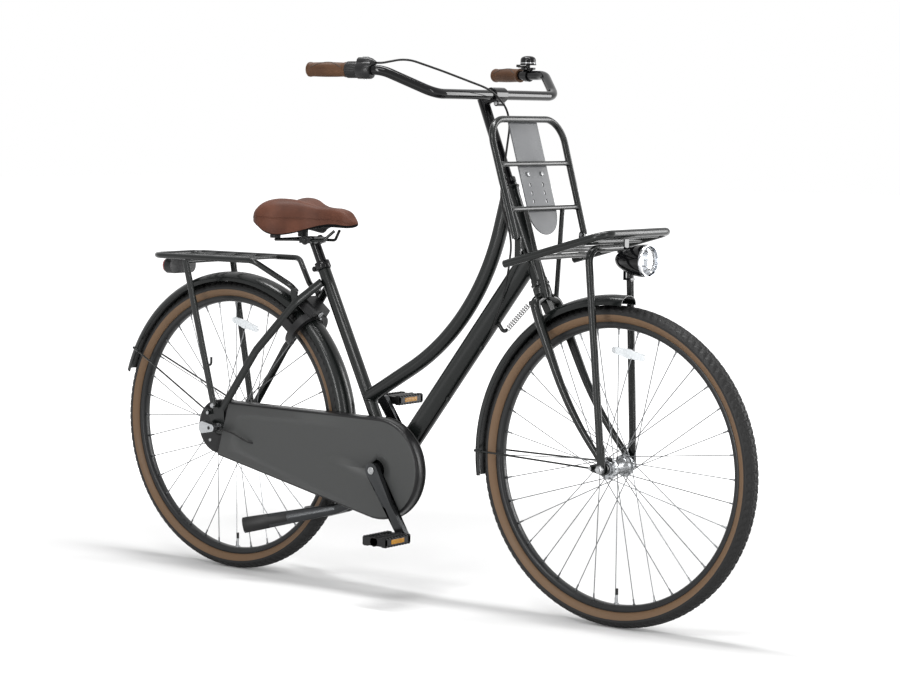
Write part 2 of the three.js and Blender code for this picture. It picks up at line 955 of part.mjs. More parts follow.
function headTube() {
  const profile = [
    [headTubeBore, headTubeLow - headCupHeight],
    [headCupRadius, headTubeLow - headCupHeight],
    [headCupRadius, headTubeLow + headCupHeight],
    [headTubeRadius, headTubeLow + headCupHeight],
    [headTubeRadius, headTubeHigh - headCupHeight],
    [headCupRadius, headTubeHigh - headCupHeight],
    [headCupRadius, headTubeHigh + headCupHeight],
    [headTubeBore, headTubeHigh + headCupHeight],
    [headTubeBore, headTubeLow - headCupHeight],
  ];
  return turned(profile, 16, onHead(0, 0, 0), headUp);
}

const springAnchor = bracket
  .clone()
  .addScaledVector(downTubeUp, springAnchorAlong)
  .addScaledVector(downTubeUnder, springAnchorOut);
const springLug = onHead(-springLugReach, 0, crownAlong - springLugThickness / 2);
const springWay = springLug.clone().sub(springAnchor).normalize();

// The points of the shift cable, chosen along its route from the shifter to the shift box.
const cableUnder = downTubeRadius + cableRadius + seatGap;
const onDownTube = (along) =>
  bracket
    .clone()
    .addScaledVector(downTubeUp, along)
    .addScaledVector(downTubeUnder, Math.sqrt(cableUnder ** 2 - cableSide ** 2))
    .setY(-cableSide);
const downTubeLength = downTubeHead.distanceTo(bracket);
const cableClipPlaces = cableClipShares.map((share) => share * downTubeLength);

// The space behind the middle plane of the seat tube, near the bracket.
function behindSeatTube() {
  const reach = 4 * downTubeRadius;
  const low = bracket.clone().addScaledVector(seatTubeUp, -reach);
  const high = bracket.clone().addScaledVector(seatTubeUp, reach);
  const corners = [
    low,
    high,
    high.clone().addScaledVector(seatTubeBack, reach),
    low.clone().addScaledVector(seatTubeBack, reach),
  ];
  const shape = new THREE.Shape(corners.map((p) => new THREE.Vector2(p.x, p.z)));
  return slab(shape, -reach, reach);
}

function downTube() {
  const body = cut(
    downTubeOuter(0),
    headTubeOuter(seatGap),
    bracketShellOuter(seatGap),
    seatTubeOuter(seatGap),
    behindSeatTube(),
  );
  const clips = cableClipPlaces.map((along) =>
    sleeve(
      onDownTube(along),
      downTubeUp,
      cableClipRadius,
      cableRadius + seatGap,
      -cableClipHalf,
      cableClipHalf,
      6,
    ),
  );
  const root = bracket
    .clone()
    .addScaledVector(downTubeUp, springAnchorAlong)
    .addScaledVector(downTubeUnder, downTubeRadius - springStubRadius);
  const foot = springAnchor.clone().addScaledVector(springWay, -springStubLength);
  const anchor = tube([root, foot, springAnchor], springStubRadius, { facets: 8 });
  return join(body, clips, anchor);
}

const topTubeSeat = bracket.clone().addScaledVector(seatTubeUp, topTubeSeatAlong);
const topTubeBend = point(topTubeBendX, 0, topTubeBendZ);
const topTubeHead = onHead(0, 0, topTubeHeadAlong);

function topTube() {
  const corners = [topTubeSeat, topTubeBend, topTubeHead];
  const body = tube(corners, topTubeRadius, { bend: topTubeBendRadius, steps: 6, facets: 12 });
  const above = rod(
    onHead(0, 0, topTubeCutAlong),
    onHead(0, 0, topTubeCutAlong + topTubeCutRadius),
    topTubeCutRadius,
  );
  return cut(body, headTubeOuter(seatGap), seatTubeOuter(seatGap), above);
}

function seatTube() {
  const body = cut(seatTubeOuter(0), bracketShellOuter(seatGap));
  const boreEnd = seatTubeTop.clone().addScaledVector(seatTubeUp, -seatTubeBoreDepth);
  const boreStart = seatTubeTop.clone().addScaledVector(seatTubeUp, cutOverrun);
  return cut(body, rod(boreEnd, boreStart, seatTubeBore, 14));
}

function bracketShell() {
  const bore = rod(
    bracket.clone().setY(-bracketShellHalf - cutOverrun),
    bracket.clone().setY(bracketShellHalf + cutOverrun),
    bracketShellBore,
    16,
  );
  return cut(bracketShellOuter(0), bore);
}

const chainStayRoute = (side) =>
  new Route(
    [
      bracket.clone().setY(side * chainStayRootHalf),
      point(
        chainStayWheelX,
        side * chainStayWheelHalf,
        THREE.MathUtils.lerp(axleHeight, bottomBracketZ, chainStayWheelX / bottomBracketX),
      ),
      point(
        chainStayEndX,
        side * chainStayEndHalf,
        THREE.MathUtils.lerp(axleHeight, bottomBracketZ, chainStayEndX / bottomBracketX),
      ),
    ],
    stayBendRadius,
    3,
    leftward,
  );
const chainStaySolid = (side, grow) =>
  taper(
    chainStayRoute(side),
    [chainStaySlimRadius + grow, chainStayRadius + grow],
    [chainStaySlimRadius + grow, chainStayRadius + grow],
    8,
  );

// A plate with the axle hole, two eyelets and the arm that runs to the chain stay.
function dropout(side) {
  const inner = side * dropoutInner;
  const outer = side * (dropoutInner + dropoutThickness);
  const eyelet = (x, z) =>
    beltShape(point(0, 0, axleHeight), dropoutRadius, point(x, 0, axleHeight + z), eyeletRadius);
  const arm = beltShape(
    point(0, 0, axleHeight),
    dropoutRadius,
    point(chainStayEndX, 0, chainStayRoute(side).stations.at(-1).z),
    chainStayRadius,
  );
  const stayArm = beltShape(
    point(0, 0, axleHeight),
    dropoutRadius,
    point(seatStayEndX, 0, seatStayEndZ),
    eyeletRadius,
  );
  const plate = join(
    slab(arm, inner, outer, 3),
    slab(stayArm, inner, outer, 3),
    slab(eyelet(carrierEyeletX, carrierEyeletZ), inner, outer, 3),
    slab(eyelet(fenderEyeletX, fenderEyeletZ), inner, outer, 3),
  );
  return cut(plate, holer(rearHub, axleRadius + seatGap, inner, outer));
}

function chainStay(side) {
  const stay = chainStaySolid(side, 0);
  return cut(join(stay, dropout(side)), bracketShellOuter(seatGap));
}

const seatStaySolid = (side, grow) =>
  taper(
    new Route(
      [
        point(seatStayRootX, side * seatStayRootHalf, seatStayRootZ),
        point(seatStayBendX, side * seatStayBendHalf, seatStayBendZ),
        point(seatStayMidX, side * seatStayMidHalf, seatStayMidZ),
        point(seatStayEndX, side * (dropoutInner + dropoutThickness / 2), seatStayEndZ),
      ],
      stayBendRadius,
      3,
      leftward,
    ),
    [seatStayWidth + grow, seatStayDepth + grow],
    [seatStayEndWidth + grow, seatStayDepth + grow],
    8,
  );

function seatStay(side) {
  const grown = slab(
    beltShape(
      point(0, 0, axleHeight),
      dropoutRadius + seatGap,
      point(seatStayEndX, 0, seatStayEndZ),
      eyeletRadius + seatGap,
    ),
    side * (dropoutInner - seatGap),
    side * (dropoutInner + dropoutThickness + seatGap),
    6,
  );
  const eyelet = slab(
    beltShape(
      point(0, 0, axleHeight),
      dropoutRadius + seatGap,
      point(carrierEyeletX, 0, axleHeight + carrierEyeletZ),
      eyeletRadius + seatGap,
    ),
    side * (dropoutInner - seatGap),
    side * (dropoutInner + dropoutThickness + seatGap),
    6,
  );
  return cut(seatStaySolid(side, 0), seatTubeOuter(seatGap), grown, eyelet);
}

// The curved section of a fender, swept round the wheel.
function fenderBand(hub, from, to, grow = 0) {
  const outerSide = fenderSectionShares.map(([across, down]) => [
    across * fenderHalf + grow * Math.sign(across),
    down * fenderDrop - grow,
  ]);
  const innerSide = fenderSectionShares.map(([across, down]) => [
    across * (fenderHalf - fenderThickness),
    down * (fenderDrop - fenderThickness) + fenderThickness,
  ]);
  const mirrored = (points) => points.slice(0, -1).map(([y, depth]) => [-y, depth]);
  const outline = [
    ...outerSide,
    ...mirrored(outerSide).toReversed(),
    ...mirrored(innerSide),
    ...innerSide.toReversed(),
  ];
  const section = new THREE.Shape(outline.map(([y, depth]) => new THREE.Vector2(y, depth)));
  const count = Math.round((to - from) / degreesPerFenderStep);
  const stations = Array.from({ length: count + 1 }, (_, i) =>
    onWheel(hub, fenderRadius, from + ((to - from) * i) / count, 0),
  );
  return sweep(section, new Route(stations, 0, 1, leftward));
}

// A wire stay from inside the fender's edge to the eyelet of the dropout.
function fenderStay(hub, degrees, side, eyeletX, eyeletZ, dropoutOuter) {
  const top = onWheel(hub, fenderEdgeRadius + fenderStayRadius, degrees, side * fenderHalf);
  const out = side * (dropoutOuter + fenderStayClear + fenderStayRadius);
  const eyelet = point(hub.x + eyeletX, out, hub.z + eyeletZ);
  return tube([top, eyelet], fenderStayRadius, { facets: 6 });
}

function rearFender() {
  const outer = dropoutInner + dropoutThickness;
  const stays = Object.values(sides).map((side) =>
    fenderStay(rearHub, rearStayAngle, side, fenderEyeletX, fenderEyeletZ, outer),
  );
  return join(fenderBand(rearHub, rearFenderStart, rearFenderEnd), stays);
}

function frontFender() {
  const outer = forkDropoutInner + forkDropoutThickness;
  const stays = Object.values(sides).map((side) =>
    fenderStay(frontHub, frontStayAngle, side, frontEyeletX, 0, outer),
  );
  const tab = block(
    -fenderTabHalf,
    fenderTabHalf,
    -fenderTabHalf,
    fenderTabHalf,
    fenderRadius - fenderThickness,
    fenderTabTop,
  );
  const degrees = 90 + fenderTabDegrees;
  const turnedTab = tab.rotate([0, 90 - degrees, 0]).translate([frontHub.x, 0, frontHub.z]);
  const whole = join(fenderBand(frontHub, frontFenderStart, frontFenderEnd), stays, turnedTab);
  return cut(whole, forkBlade(sides.right, seatGap), forkBlade(sides.left, seatGap));
}

// Crank, chain and sprocket
const pitchRadius = (teeth) => (chainPitch * teeth) / (2 * Math.PI);

function gearDisc(centre, teeth, y) {
  const radius = (pitchRadius(teeth) - chainHalfHeight) * Math.cos(Math.PI / 16) - seatGap;
  return turned(
    [
      [0, -gearThickness / 2],
      [radius, -gearThickness / 2],
      [radius, gearThickness / 2],
      [0, gearThickness / 2],
    ],
    16,
    centre.clone().setY(y),
  );
}

// The chain as one closed band round both toothed discs.
function chain() {
  const belt = (grow) =>
    beltShape(
      rearHub,
      pitchRadius(sprocketTeeth) + grow,
      bracket,
      pitchRadius(chainringTeeth) + grow,
    );
  const half = chainHalfWidth;
  const cutHalf = chainHalfWidth + cutOverrun;
  const outer = slab(belt(chainHalfHeight), -chainLine - half, -chainLine + half, 8);
  const inner = slab(belt(-chainHalfHeight), -chainLine - cutHalf, -chainLine + cutHalf, 8);
  return cut(outer, inner);
}

function rearSprocket() {
  const bore = axleRadius + seatGap;
  const teeth = (pitchRadius(sprocketTeeth) - chainHalfHeight) * Math.cos(Math.PI / 16) - seatGap;
  const profile = [
    [bore, -sprocketCarrierOuter],
    [sprocketCarrierRadius, -sprocketCarrierOuter],
    [sprocketCarrierRadius, -chainLine - gearThickness / 2],
    [teeth, -chainLine - gearThickness / 2],
    [teeth, gearThickness / 2 - chainLine],
    [sprocketCarrierRadius, gearThickness / 2 - chainLine],
    [sprocketCarrierRadius, -rearHubRightEnd - runningGap],
    [bore, -rearHubRightEnd - runningGap],
    [bore, -sprocketCarrierOuter],
  ];
  return turned(profile, hubFacets, rearHub);
}

// A crank arm with its boss round the axle and its eye for the pedal.
function crankArm(side) {
  const angle = side === sides.right ? crankAngle : crankAngle + Math.PI;
  const eye = point(
    bracket.x + crankLength * Math.cos(angle),
    0,
    bracket.z + crankLength * Math.sin(angle),
  );
  const inner = side * crankInner;
  const outer = side * (crankInner + crankThickness);
  const waist = bracket.clone().lerp(eye, crankWaistShare);
  const arm = join(
    slab(beltShape(bracket, crankBossRadius, waist, crankWaistHalf), inner, outer, 5),
    slab(beltShape(waist, crankWaistHalf, eye, crankEyeRadius), inner, outer, 5),
  );
  return {
    eye,
    body: cut(
      arm,
      holer(bracket, crankAxleRadius + seatGap, inner, outer),
      holer(eye, pedalSpindleRadius + runningGap, inner, outer),
    ),
  };
}

function rightCrank() {
  const { body } = crankArm(sides.right);
  const ring = gearDisc(bracket, chainringTeeth, -chainLine);
  const hub = rod(
    bracket.clone().setY(-chainLine),
    bracket.clone().setY(-crankInner - seatGap),
    chainringHubRadius,
    16,
  );
  const bore = borer(
    bracket.clone().setY(-chainLine + cutOverrun),
    bracket.clone().setY(-crankInner - crankThickness - cutOverrun),
    crankAxleRadius + seatGap,
  );
  const windows = Array.from({ length: chainringHoles }, (_, i) => {
    const centre = onWheel(bracket, chainringHoleCircle, (360 * i) / chainringHoles, 0);
    return holer(centre, chainringHoleRadius, -chainLine, -chainLine, 3);
  });
  return cut(join(body, hub, cut(ring, windows)), bore);
}

function crankAxle() {
  const end = crankInner + crankThickness + seatGap;
  const bolt = (side) =>
    rod(
      bracket.clone().setY(side * end),
      bracket.clone().setY(side * (end + crankBoltHeight)),
      crankBoltRadius + seatGap + runningGap,
      12,
    );
  const body = rod(bracket.clone().setY(-end), bracket.clone().setY(end), crankAxleRadius, 16);
  return join(body, bolt(sides.right), bolt(sides.left));
}

// A flat pedal: spindle barrel, two long tread bars and two end plates.
function pedal(side) {
  const { eye } = crankArm(side);
  const start = side * (crankInner + crankThickness + pedalInner);
  const end = start + side * pedalLength;
  const endPlate = (y) =>
    block(
      eye.x - pedalHalfDepth,
      eye.x + pedalHalfDepth,
      y,
      y + side * pedalEndThickness,
      eye.z - pedalEndHalfHeight,
      eye.z + pedalEndHalfHeight,
    );
  const bar = (way) => {
    const outer = eye.x + way * pedalHalfDepth;
    const inner = eye.x + way * (pedalHalfDepth - pedalBarDepth);
    return block(
      Math.min(inner, outer),
      Math.max(inner, outer),
      start,
      end,
      eye.z - pedalHalfHeight,
      eye.z + pedalHalfHeight,
    );
  };
  const barrel = rod(eye.clone().setY(start), eye.clone().setY(end), pedalBarrelRadius, 10);
  const spindle = rod(
    eye.clone().setY(side * (crankInner + seatGap)),
    eye.clone().setY(end),
    pedalSpindleRadius,
    10,
  );
  const plates = [endPlate(start), endPlate(end - side * pedalEndThickness)];
  return join(barrel, spindle, plates, bar(1), bar(-1));
}

function bracketCartridge() {
  const end = bracketShellHalf - seatGap;
  const body = rod(
    bracket.clone().setY(-end),
    bracket.clone().setY(end),
    bracketShellBore - seatGap,
    16,
  );
  const bore = rod(
    bracket.clone().setY(-end - cutOverrun),
    bracket.clone().setY(end + cutOverrun),
    crankAxleRadius + runningGap,
    16,
  );
  return cut(body, bore);
}

// Chain case
const caseBelt = (inset) =>
  beltShape(
    point(rearHub.x + caseRearX, 0, rearHub.z + caseRearZ),
    caseRearRadius - inset,
    point(bracket.x + caseFrontX, 0, bracket.z + caseFrontZ),
    caseFrontRadius - inset,
  );

// The half space behind the seam between the cover and the rear cap.
function behindSeam(shift) {
  const high = caseFrontRadius * 2;
  const lean = (caseEdgeTopX - caseEdgeBottomX) / (2 * caseRearRadius);
  const middleX = (caseEdgeTopX + caseEdgeBottomX) / 2 + shift;
  const shape = new THREE.Shape([
    new THREE.Vector2(middleX - lean * high, axleHeight - high),
    new THREE.Vector2(middleX + lean * high, axleHeight + high),
    new THREE.Vector2(-high, axleHeight + high),
    new THREE.Vector2(-high, axleHeight - high),
  ]);
  return slab(shape, -caseOuter - cutOverrun, 0);
}

function caseCover() {
  const shell = slab(caseBelt(0), -caseOuter, -caseInner, 9);
  const hollow = slab(caseBelt(caseWall), caseWall - caseOuter, cutOverrun - caseInner, 9);
  const cableHole = point(caseCableHoleX, 0, caseCableHoleZ);
  return cut(
    shell,
    hollow,
    holer(bracket, caseCrankHole, -caseOuter, -caseOuter, 8),
    holer(cableHole, caseCableHoleRadius, -caseOuter, -caseOuter),
    behindSeam(seatGap),
  );
}

function caseBack() {
  const face = seatGap - caseInner;
  const flange = cut(
    slab(caseBelt(0), face, face + caseWall, 9),
    slab(caseBelt(caseFlangeDepth), face - cutOverrun, face + caseWall + cutOverrun, 9),
  );
  const cap = cut(
    slab(caseBelt(0), -caseCapOuter, face, 9),
    slab(caseBelt(caseWall), caseWall - caseCapOuter, face + cutOverrun, 9),
  );
  const hole = holer(rearHub, caseAxleHole, -caseCapOuter, -caseCapOuter);
  return join(flange, cut(cap.intersect(behindSeam(0)), hole));
}

// Kickstand
const standPivot = point(standPivotX, 0, standPivotZ);

function kickstandBracket() {
  const stayZ = THREE.MathUtils.lerp(axleHeight, bottomBracketZ, standPivotX / bottomBracketX);
  const top = stayZ - chainStayRadius;
  const plate = block(
    standPivotX - standPlateHalfLength,
    standPivotX + standPlateHalfLength,
    -standPlateHalf,
    standPlateHalf,
    top - standPlateThickness,
    top,
  );
  const web = block(
    standPivotX - standSleeveRadius,
    standPivotX + standSleeveRadius,
    -standSleeveHalf,
    standSleeveHalf,
    standPivotZ,
    top,
  );
  const socket = rod(
    standPivot.clone().setY(-standSleeveHalf),
    standPivot.clone().setY(standSleeveHalf),
    standSleeveRadius,
    14,
  );
  const bore = rod(
    standPivot.clone().setY(-standSleeveHalf - cutOverrun),
    standPivot.clone().setY(standSleeveHalf + cutOverrun),
    standPivotRadius + runningGap,
    14,
  );
  return cut(
    join(plate, web, socket),
    bore,
    chainStaySolid(sides.right, seatGap),
    chainStaySolid(sides.left, seatGap),
    fenderBand(rearHub, rearFenderStart - degreesPerFenderStep, 0, seatGap),
  );
}

function kickstand() {
  const leg = (side) =>
    taper(
      new Route(
        [
          standPivot.clone().setY(side * standLegHalf),
          point(standKneeX, side * standLegHalf, standKneeZ),
          point(standTurnX, side * standTurnHalf, standTurnZ),
          point(standFootX, side * standFootHalf, standFootZ),
        ],
        standBendRadius,
        3,
        leftward,
      ),
      [standLegWidth, standLegHeight],
      [standFootWidth, standFootHeight],
      8,
    );
  const pivot = rod(
    standPivot.clone().setY(-standLegHalf - standLegWidth),
    standPivot.clone().setY(standLegHalf + standLegWidth),
    standPivotRadius,
    12,
  );
  return join(pivot, leg(sides.right), leg(sides.left));
}

// Rear carrier
const rackSide = (side) => {
  const end = point(rackStrutX, side * rackStrutHalf, rackStrutZ);
  const front = point(rackFrontX, side * rackHalf, rackZ);
  const straight = end.clone().lerp(front, rackStraightShare).setY(end.y);
  return [end, straight, front, point(rackRearX, side * rackHalf, rackZ)];
};
const rackRearOutline = [...rackSide(sides.right), ...rackSide(sides.left).toReversed()];

function rearCarrier() {
  const loop = tube(rackRearOutline, rackTubeRadius, {
    bend: rackCornerRadius,
    steps: 3,
    facets: 8,
  });
  const bars = Array.from({ length: rackCrossCount }, (_, i) => {
    const x = THREE.MathUtils.lerp(rackRearX, rackFrontX, (i + 1) / (rackCrossCount + 1));
    return rod(point(x, -rackHalf, rackZ), point(x, rackHalf, rackZ), rackCrossRadius, 6);
  });
  const tab = (side) =>
    slab(
      circleShape(rackStrutX, rackStrutZ, rackTabRadius),
      side * (rackStrutHalf + rackTubeRadius - rackTabThickness),
      side * (rackStrutHalf + rackTubeRadius),
      6,
    );
  const lampPlate = block(
    rackRearX - lightPlateThickness / 2,
    rackRearX + lightPlateThickness / 2,
    -lightPlateHalf,
    lightPlateHalf,
    lightZ + lightHalfHeight + seatGap,
    rackZ,
  );
  return join(loop, bars, tab(sides.right), tab(sides.left), lampPlate);
}

function rearCarrierLegs() {
  const top = rackZ - rackTubeRadius - rackLegThin - seatGap;
  const foot = axleHeight + carrierEyeletZ;
  const footHalf = dropoutInner + dropoutThickness + seatGap + rackLegThin;
  const leg = (side) =>
    taper(
      new Route(
        [point(rackLegTopX, side * rackHalf, top), point(carrierEyeletX, side * footHalf, foot)],
        0,
        1,
        leftward,
      ),
      [rackLegThin, rackLegWide],
      [rackLegThin, rackLegWide],
    );
  const hook = (side) => {
    const share = (top - hookZ) / (top - foot);
    const x = THREE.MathUtils.lerp(rackLegTopX, carrierEyeletX, share);
    const y = side * THREE.MathUtils.lerp(rackHalf, footHalf, share);
    return tube(
      [
        point(x, y, hookZ),
        point(x + hookReach, y + side * hookOut, hookZ),
        point(x + hookReach, y + side * hookOut, hookZ + hookDrop),
      ],
      hookRadius,
      { facets: 6 },
    );
  };
  const bar = rod(
    point(rackLegTopX, -rackHalf, top),
    point(rackLegTopX, rackHalf, top),
    rackLegThin,
    8,
  );
  const both = Object.values(sides).flatMap((side) => [leg(side), hook(side)]);
  return join(bar, both);
}

function rearLight() {
  const body = block(
    lightX - lightHalfDepth,
    lightX + lightHalfDepth,
    -lightHalfLength,
    lightHalfLength,
    lightZ - lightHalfHeight,
    lightZ + lightHalfHeight,
  );
  return body;
}

// Lug on a seat stay for the front end of the rear carrier
function carrierLug(side) {
  const inner = side * (rackStrutHalf + rackTubeRadius + seatGap);
  const outer = side * (rackStrutHalf + rackTubeRadius + seatGap + lugThickness);
  return slab(
    beltShape(
      point(rackStrutX, 0, rackStrutZ),
      rackTabRadius,
      point(seatStayBendX, 0, seatStayBendZ),
      rackTabRadius,
    ),
    inner,
    outer,
    6,
  );
}

// Ring lock
const lockUp = point(Math.cos(lockAngle), 0, Math.sin(lockAngle));
const lockAhead = leftward.clone().cross(lockUp);
const lockCentre = rearHub
  .clone()
  .addScaledVector(lockUp, lockDistance)
  .addScaledVector(lockAhead, lockForward);

// Moves a solid drawn round the ring's centre, left, up and ahead, to its place on the bike.
function onLock(body) {
  const place = new THREE.Matrix4().makeBasis(leftward, lockUp, lockAhead).setPosition(lockCentre);
  return body.transform(place.toArray());
}

// A piece of a flat ring between two angles from its top.
function ringPiece(inner, outer, fromDegrees, toDegrees, low, high) {
  const start = Math.PI / 2 - THREE.MathUtils.degToRad(toDegrees);
  const end = Math.PI / 2 - THREE.MathUtils.degToRad(fromDegrees);
  const shape = new THREE.Shape();
  shape.absarc(0, 0, outer, start, end, false);
  shape.absarc(0, 0, inner, end, start, true);
  const geometry = new THREE.ExtrudeGeometry(shape, {
    depth: high - low,
    bevelEnabled: false,
    curveSegments: 9,
  });
  geometry.translate(0, 0, low);
  return solid(geometry);
}

function lockBlock(halfWidth, low, high, back, front) {
  const geometry = new THREE.BoxGeometry(2 * halfWidth, high - low, front - back);
  geometry.translate(0, (high + low) / 2, (front + back) / 2);
  return solid(geometry);
}

function ringLockCase() {
  const arms = ringPiece(
    lockRadius - lockRadialHalf,
    lockRadius + lockRadialHalf,
    -lockArmDegrees,
    lockArmDegrees,
    -lockHalfDepth,
    lockHalfDepth,
  );
  const body = lockBlock(lockBodyHalf, lockBodyLow, lockBodyHigh, -lockBodyBack, lockHalfDepth);
  const ear = (side) =>
    lockBlock(lockEarHalf, lockEarLow, lockEarHigh, -lockEarBack, -lockHalfDepth / 2).translate([
      side * lockEarAcross,
      0,
      0,
    ]);
  const groove = ringPiece(
    lockRadius - lockRadialHalf - cutOverrun,
    lockRadius + lockGrooveHalf,
    -lockArmDegrees - lockOverrunDegrees,
    lockArmDegrees + lockOverrunDegrees,
    -lockGrooveHalf,
    lockGrooveHalf,
  );
  const slot = ringPiece(
    lockRadius - lockKnobRadius - runningGap,
    lockRadius + lockKnobRadius + runningGap,
    lockSlotFrom,
    lockSlotTo,
    0,
    lockHalfDepth + cutOverrun,
  );
  const whole = onLock(cut(join(arms, body, ear(1), ear(-1)), groove, slot));
  return cut(
    whole,
    seatStaySolid(sides.right, seatGap),
    seatStaySolid(sides.left, seatGap),
    fenderBand(rearHub, rearFenderStart, rearFenderEnd, seatGap),
  );
}

function lockBolt() {
  const from = THREE.MathUtils.degToRad(lockBoltFrom);
  const to = THREE.MathUtils.degToRad(lockBoltTo);
  const count = 14;
  const stations = Array.from({ length: count + 1 }, (_, i) => {
    const angle = from + ((to - from) * i) / count;
    return point(lockRadius * Math.sin(angle), lockRadius * Math.cos(angle), 0);
  });
  const bolt = sweep(ellipse(lockBoltRadius, lockBoltRadius, 10), new Route(stations, 0, 1, upward));
  const knob = rod(
    stations[1],
    stations[1].clone().setZ(lockHalfDepth + lockKnobLength),
    lockKnobRadius,
    10,
  );
  return onLock(join(bolt, knob));
}

// Seat
const seatAlong = (along, behind = 0) =>
  seatTubeTop.clone().addScaledVector(seatTubeUp, along).addScaledVector(seatTubeBack, behind);
const seatPostSolid = (grow) =>
  rod(seatAlong(-seatPostDepth), seatAlong(seatPostTop + grow), seatPostRadius + grow, 14);

function seatCollar() {
  const ring = sleeve(
    seatTubeTop,
    seatTubeUp,
    seatCollarRadius,
    seatTubeRadius + seatGap,
    -seatCollarHeight,
    0,
  );
  const lugAt = seatAlong(-seatCollarHeight / 2, seatCollarRadius + seatCollarBolt / 2);
  const lug = rod(
    lugAt.clone().setY(-seatCollarLug),
    lugAt.clone().setY(seatCollarLug),
    seatCollarBolt + seatGap,
    8,
  );
  return join(ring, lug);
}

// A saddle with a crown that rises to the rear, drawn-in sides, two rear lobes and a middle groove.
function saddle() {
  const length = saddleNoseX - saddleRearX;
  const pick = (shares, t) => {
    const place = t * (shares.length - 1);
    const i = Math.min(Math.floor(place), shares.length - 2);
    return THREE.MathUtils.lerp(shares[i], shares[i + 1], place - i);
  };
  const rings = Array.from({ length: saddleStations }, (_, i) => {
    const t = i / (saddleStations - 1);
    const x = saddleNoseX - t * length;
    const half = saddleHalfWidth * pick(saddleWidthShares, t);
    const top = THREE.MathUtils.lerp(saddleNoseTopZ, saddleTopZ, pick(saddleTopShares, t));
    const bottom = THREE.MathUtils.lerp(
      saddleBottomZ,
      saddleNoseBottomZ,
      pick(saddleBottomShares, t),
    );
    const rearShare = Math.max(0, 2 * t - 1);
    return Array.from({ length: saddleSides }, (_, j) => {
      const angle = (2 * Math.PI * j) / saddleSides;
      const across = Math.cos(angle);
      const rise = Math.sin(angle);
      const y = half * Math.sign(across) * Math.abs(across) ** saddleSquareness;
      const height = rise > 0 ? top - saddleSeam(bottom, top) : saddleSeam(bottom, top) - bottom;
      const nearMiddle = Math.max(0, 1 - Math.abs(y) / (half * saddleGrooveShare));
      const dip = rise > 0 ? saddleGroove * t * nearMiddle : 0;
      const inward = 1 - Math.min(1, Math.abs(y) / half);
      const notch = saddleNotch * inward * rearShare ** saddleNotchPower;
      const z = saddleSeam(bottom, top) + height * Math.sign(rise) * Math.abs(rise) ** saddleSquareness;
      return point(x + notch, y, z - dip);
    });
  });
  return loft(rings);
}

function saddleSeam(bottom, top) {
  return THREE.MathUtils.lerp(bottom, top, saddleSeamShare);
}

function elastomers() {
  return Object.values(sides).map((side) =>
    rod(
      point(elastomerX, side * elastomerHalf, railZ + railRadius + seatGap),
      point(elastomerX, side * elastomerHalf, saddleBottomZ + elastomerRadius),
      elastomerRadius,
      10,
    ),
  );
}

function saddleRails() {
  const rail = (side) =>
    tube(
      [
        point(elastomerX, side * elastomerHalf, railZ),
        point(railBendX, side * railHalf, railZ),
        point(railFrontX - railRise, side * railHalf, railZ),
        point(railFrontX, side * railNoseHalf, railZ + railRise),
      ],
      railRadius,
      { bend: railBendRadius, steps: 2, facets: 6 },
    );
  const clamp = block(
    seatClampX - seatClampHalfLength,
    seatClampX + seatClampHalfLength,
    -seatClampHalfWidth,
    seatClampHalfWidth,
    railZ - seatClampHalfHeight,
    railZ + seatClampHalfHeight,
  );
  const cross = rod(
    point(elastomerX, -elastomerHalf, railZ),
    point(elastomerX, elastomerHalf, railZ),
    railRadius,
    6,
  );
  const whole = join(clamp, rail(sides.right), rail(sides.left), cross);
  return cut(whole, seatPostSolid(seatGap));
}

// Fork and what turns with it
const forkBladeRoute = (side) =>
  new Route(
    [
      onHead(0, 0, crownAlong),
      onHead(0, side * forkShoulderHalf, forkShoulderAlong),
      onHead(0, side * forkStraightHalf, forkStraightAlong),
      onHead(forkForward, side * forkLowHalf, forkBendAlong),
      onHead(forkOffset, side * forkEndHalf, forkEndAlong),
    ],
    forkShoulderRadius,
    3,
    leftward,
  );
const forkBlade = (side, grow) =>
  taper(
    forkBladeRoute(side),
    [forkTopRadius + grow, forkTopRadius + grow],
    [forkEndWidth + grow, forkEndRadius + grow],
    8,
  );

function fork() {
  const dropouts = Object.values(sides).map((side) => {
    const inner = side * forkDropoutInner;
    const outer = side * (forkDropoutInner + forkDropoutThickness);
    const end = onHead(forkOffset, 0, forkEndAlong);
    const eyelet = point(frontHub.x + frontEyeletX, 0, frontHub.z);
    const plate = join(
      slab(beltShape(frontHub, forkDropoutRadius, end, forkEndRadius), inner, outer, 3),
      slab(beltShape(frontHub, forkDropoutRadius, eyelet, fenderEyeletRadius), inner, outer, 3),
    );
    return cut(plate, holer(frontHub, axleRadius + seatGap, inner, outer));
  });
  const race = headTubeLow - headCupHeight - runningGap;
  const steerer = turned(
    [
      [0, crownAlong - crownRaceHeight],
      [crownRaceRadius, crownAlong],
      [crownRaceRadius, race],
      [steererRadius, race],
      [steererRadius, steererTop],
      [steererBore, steererTop],
      [steererBore, race],
      [0, race],
    ],
    12,
    onHead(0, 0, 0),
    headUp,
  );
  const lug = tube(
    [
      onHead(0, 0, crownAlong - springLugThickness / 2),
      springLug.clone().addScaledVector(springWay, springStubLength),
      springLug,
    ],
    springLugThickness / 2,
    { facets: 8 },
  );
  return join(
    steerer,
    forkBlade(sides.right, 0),
    forkBlade(sides.left, 0),
    dropouts,
    lug,
  );
}

function headsetTop() {
  const start = headTubeHigh + headCupHeight + runningGap;
  const profile = [
    [steererRadius + seatGap, start],
    [lockNutRadius, start],
    [lockNutRadius, lockNutTop],
    [quillRadius + seatGap, lockNutTop],
    [quillRadius + seatGap, steererTop + seatGap],
    [steererRadius + seatGap, steererTop + seatGap],
    [steererRadius + seatGap, start],
  ];
  return turned(profile, 16, onHead(0, 0, 0), headUp);
}

const barCentre = onHead(clampForward, 0, clampAlong);

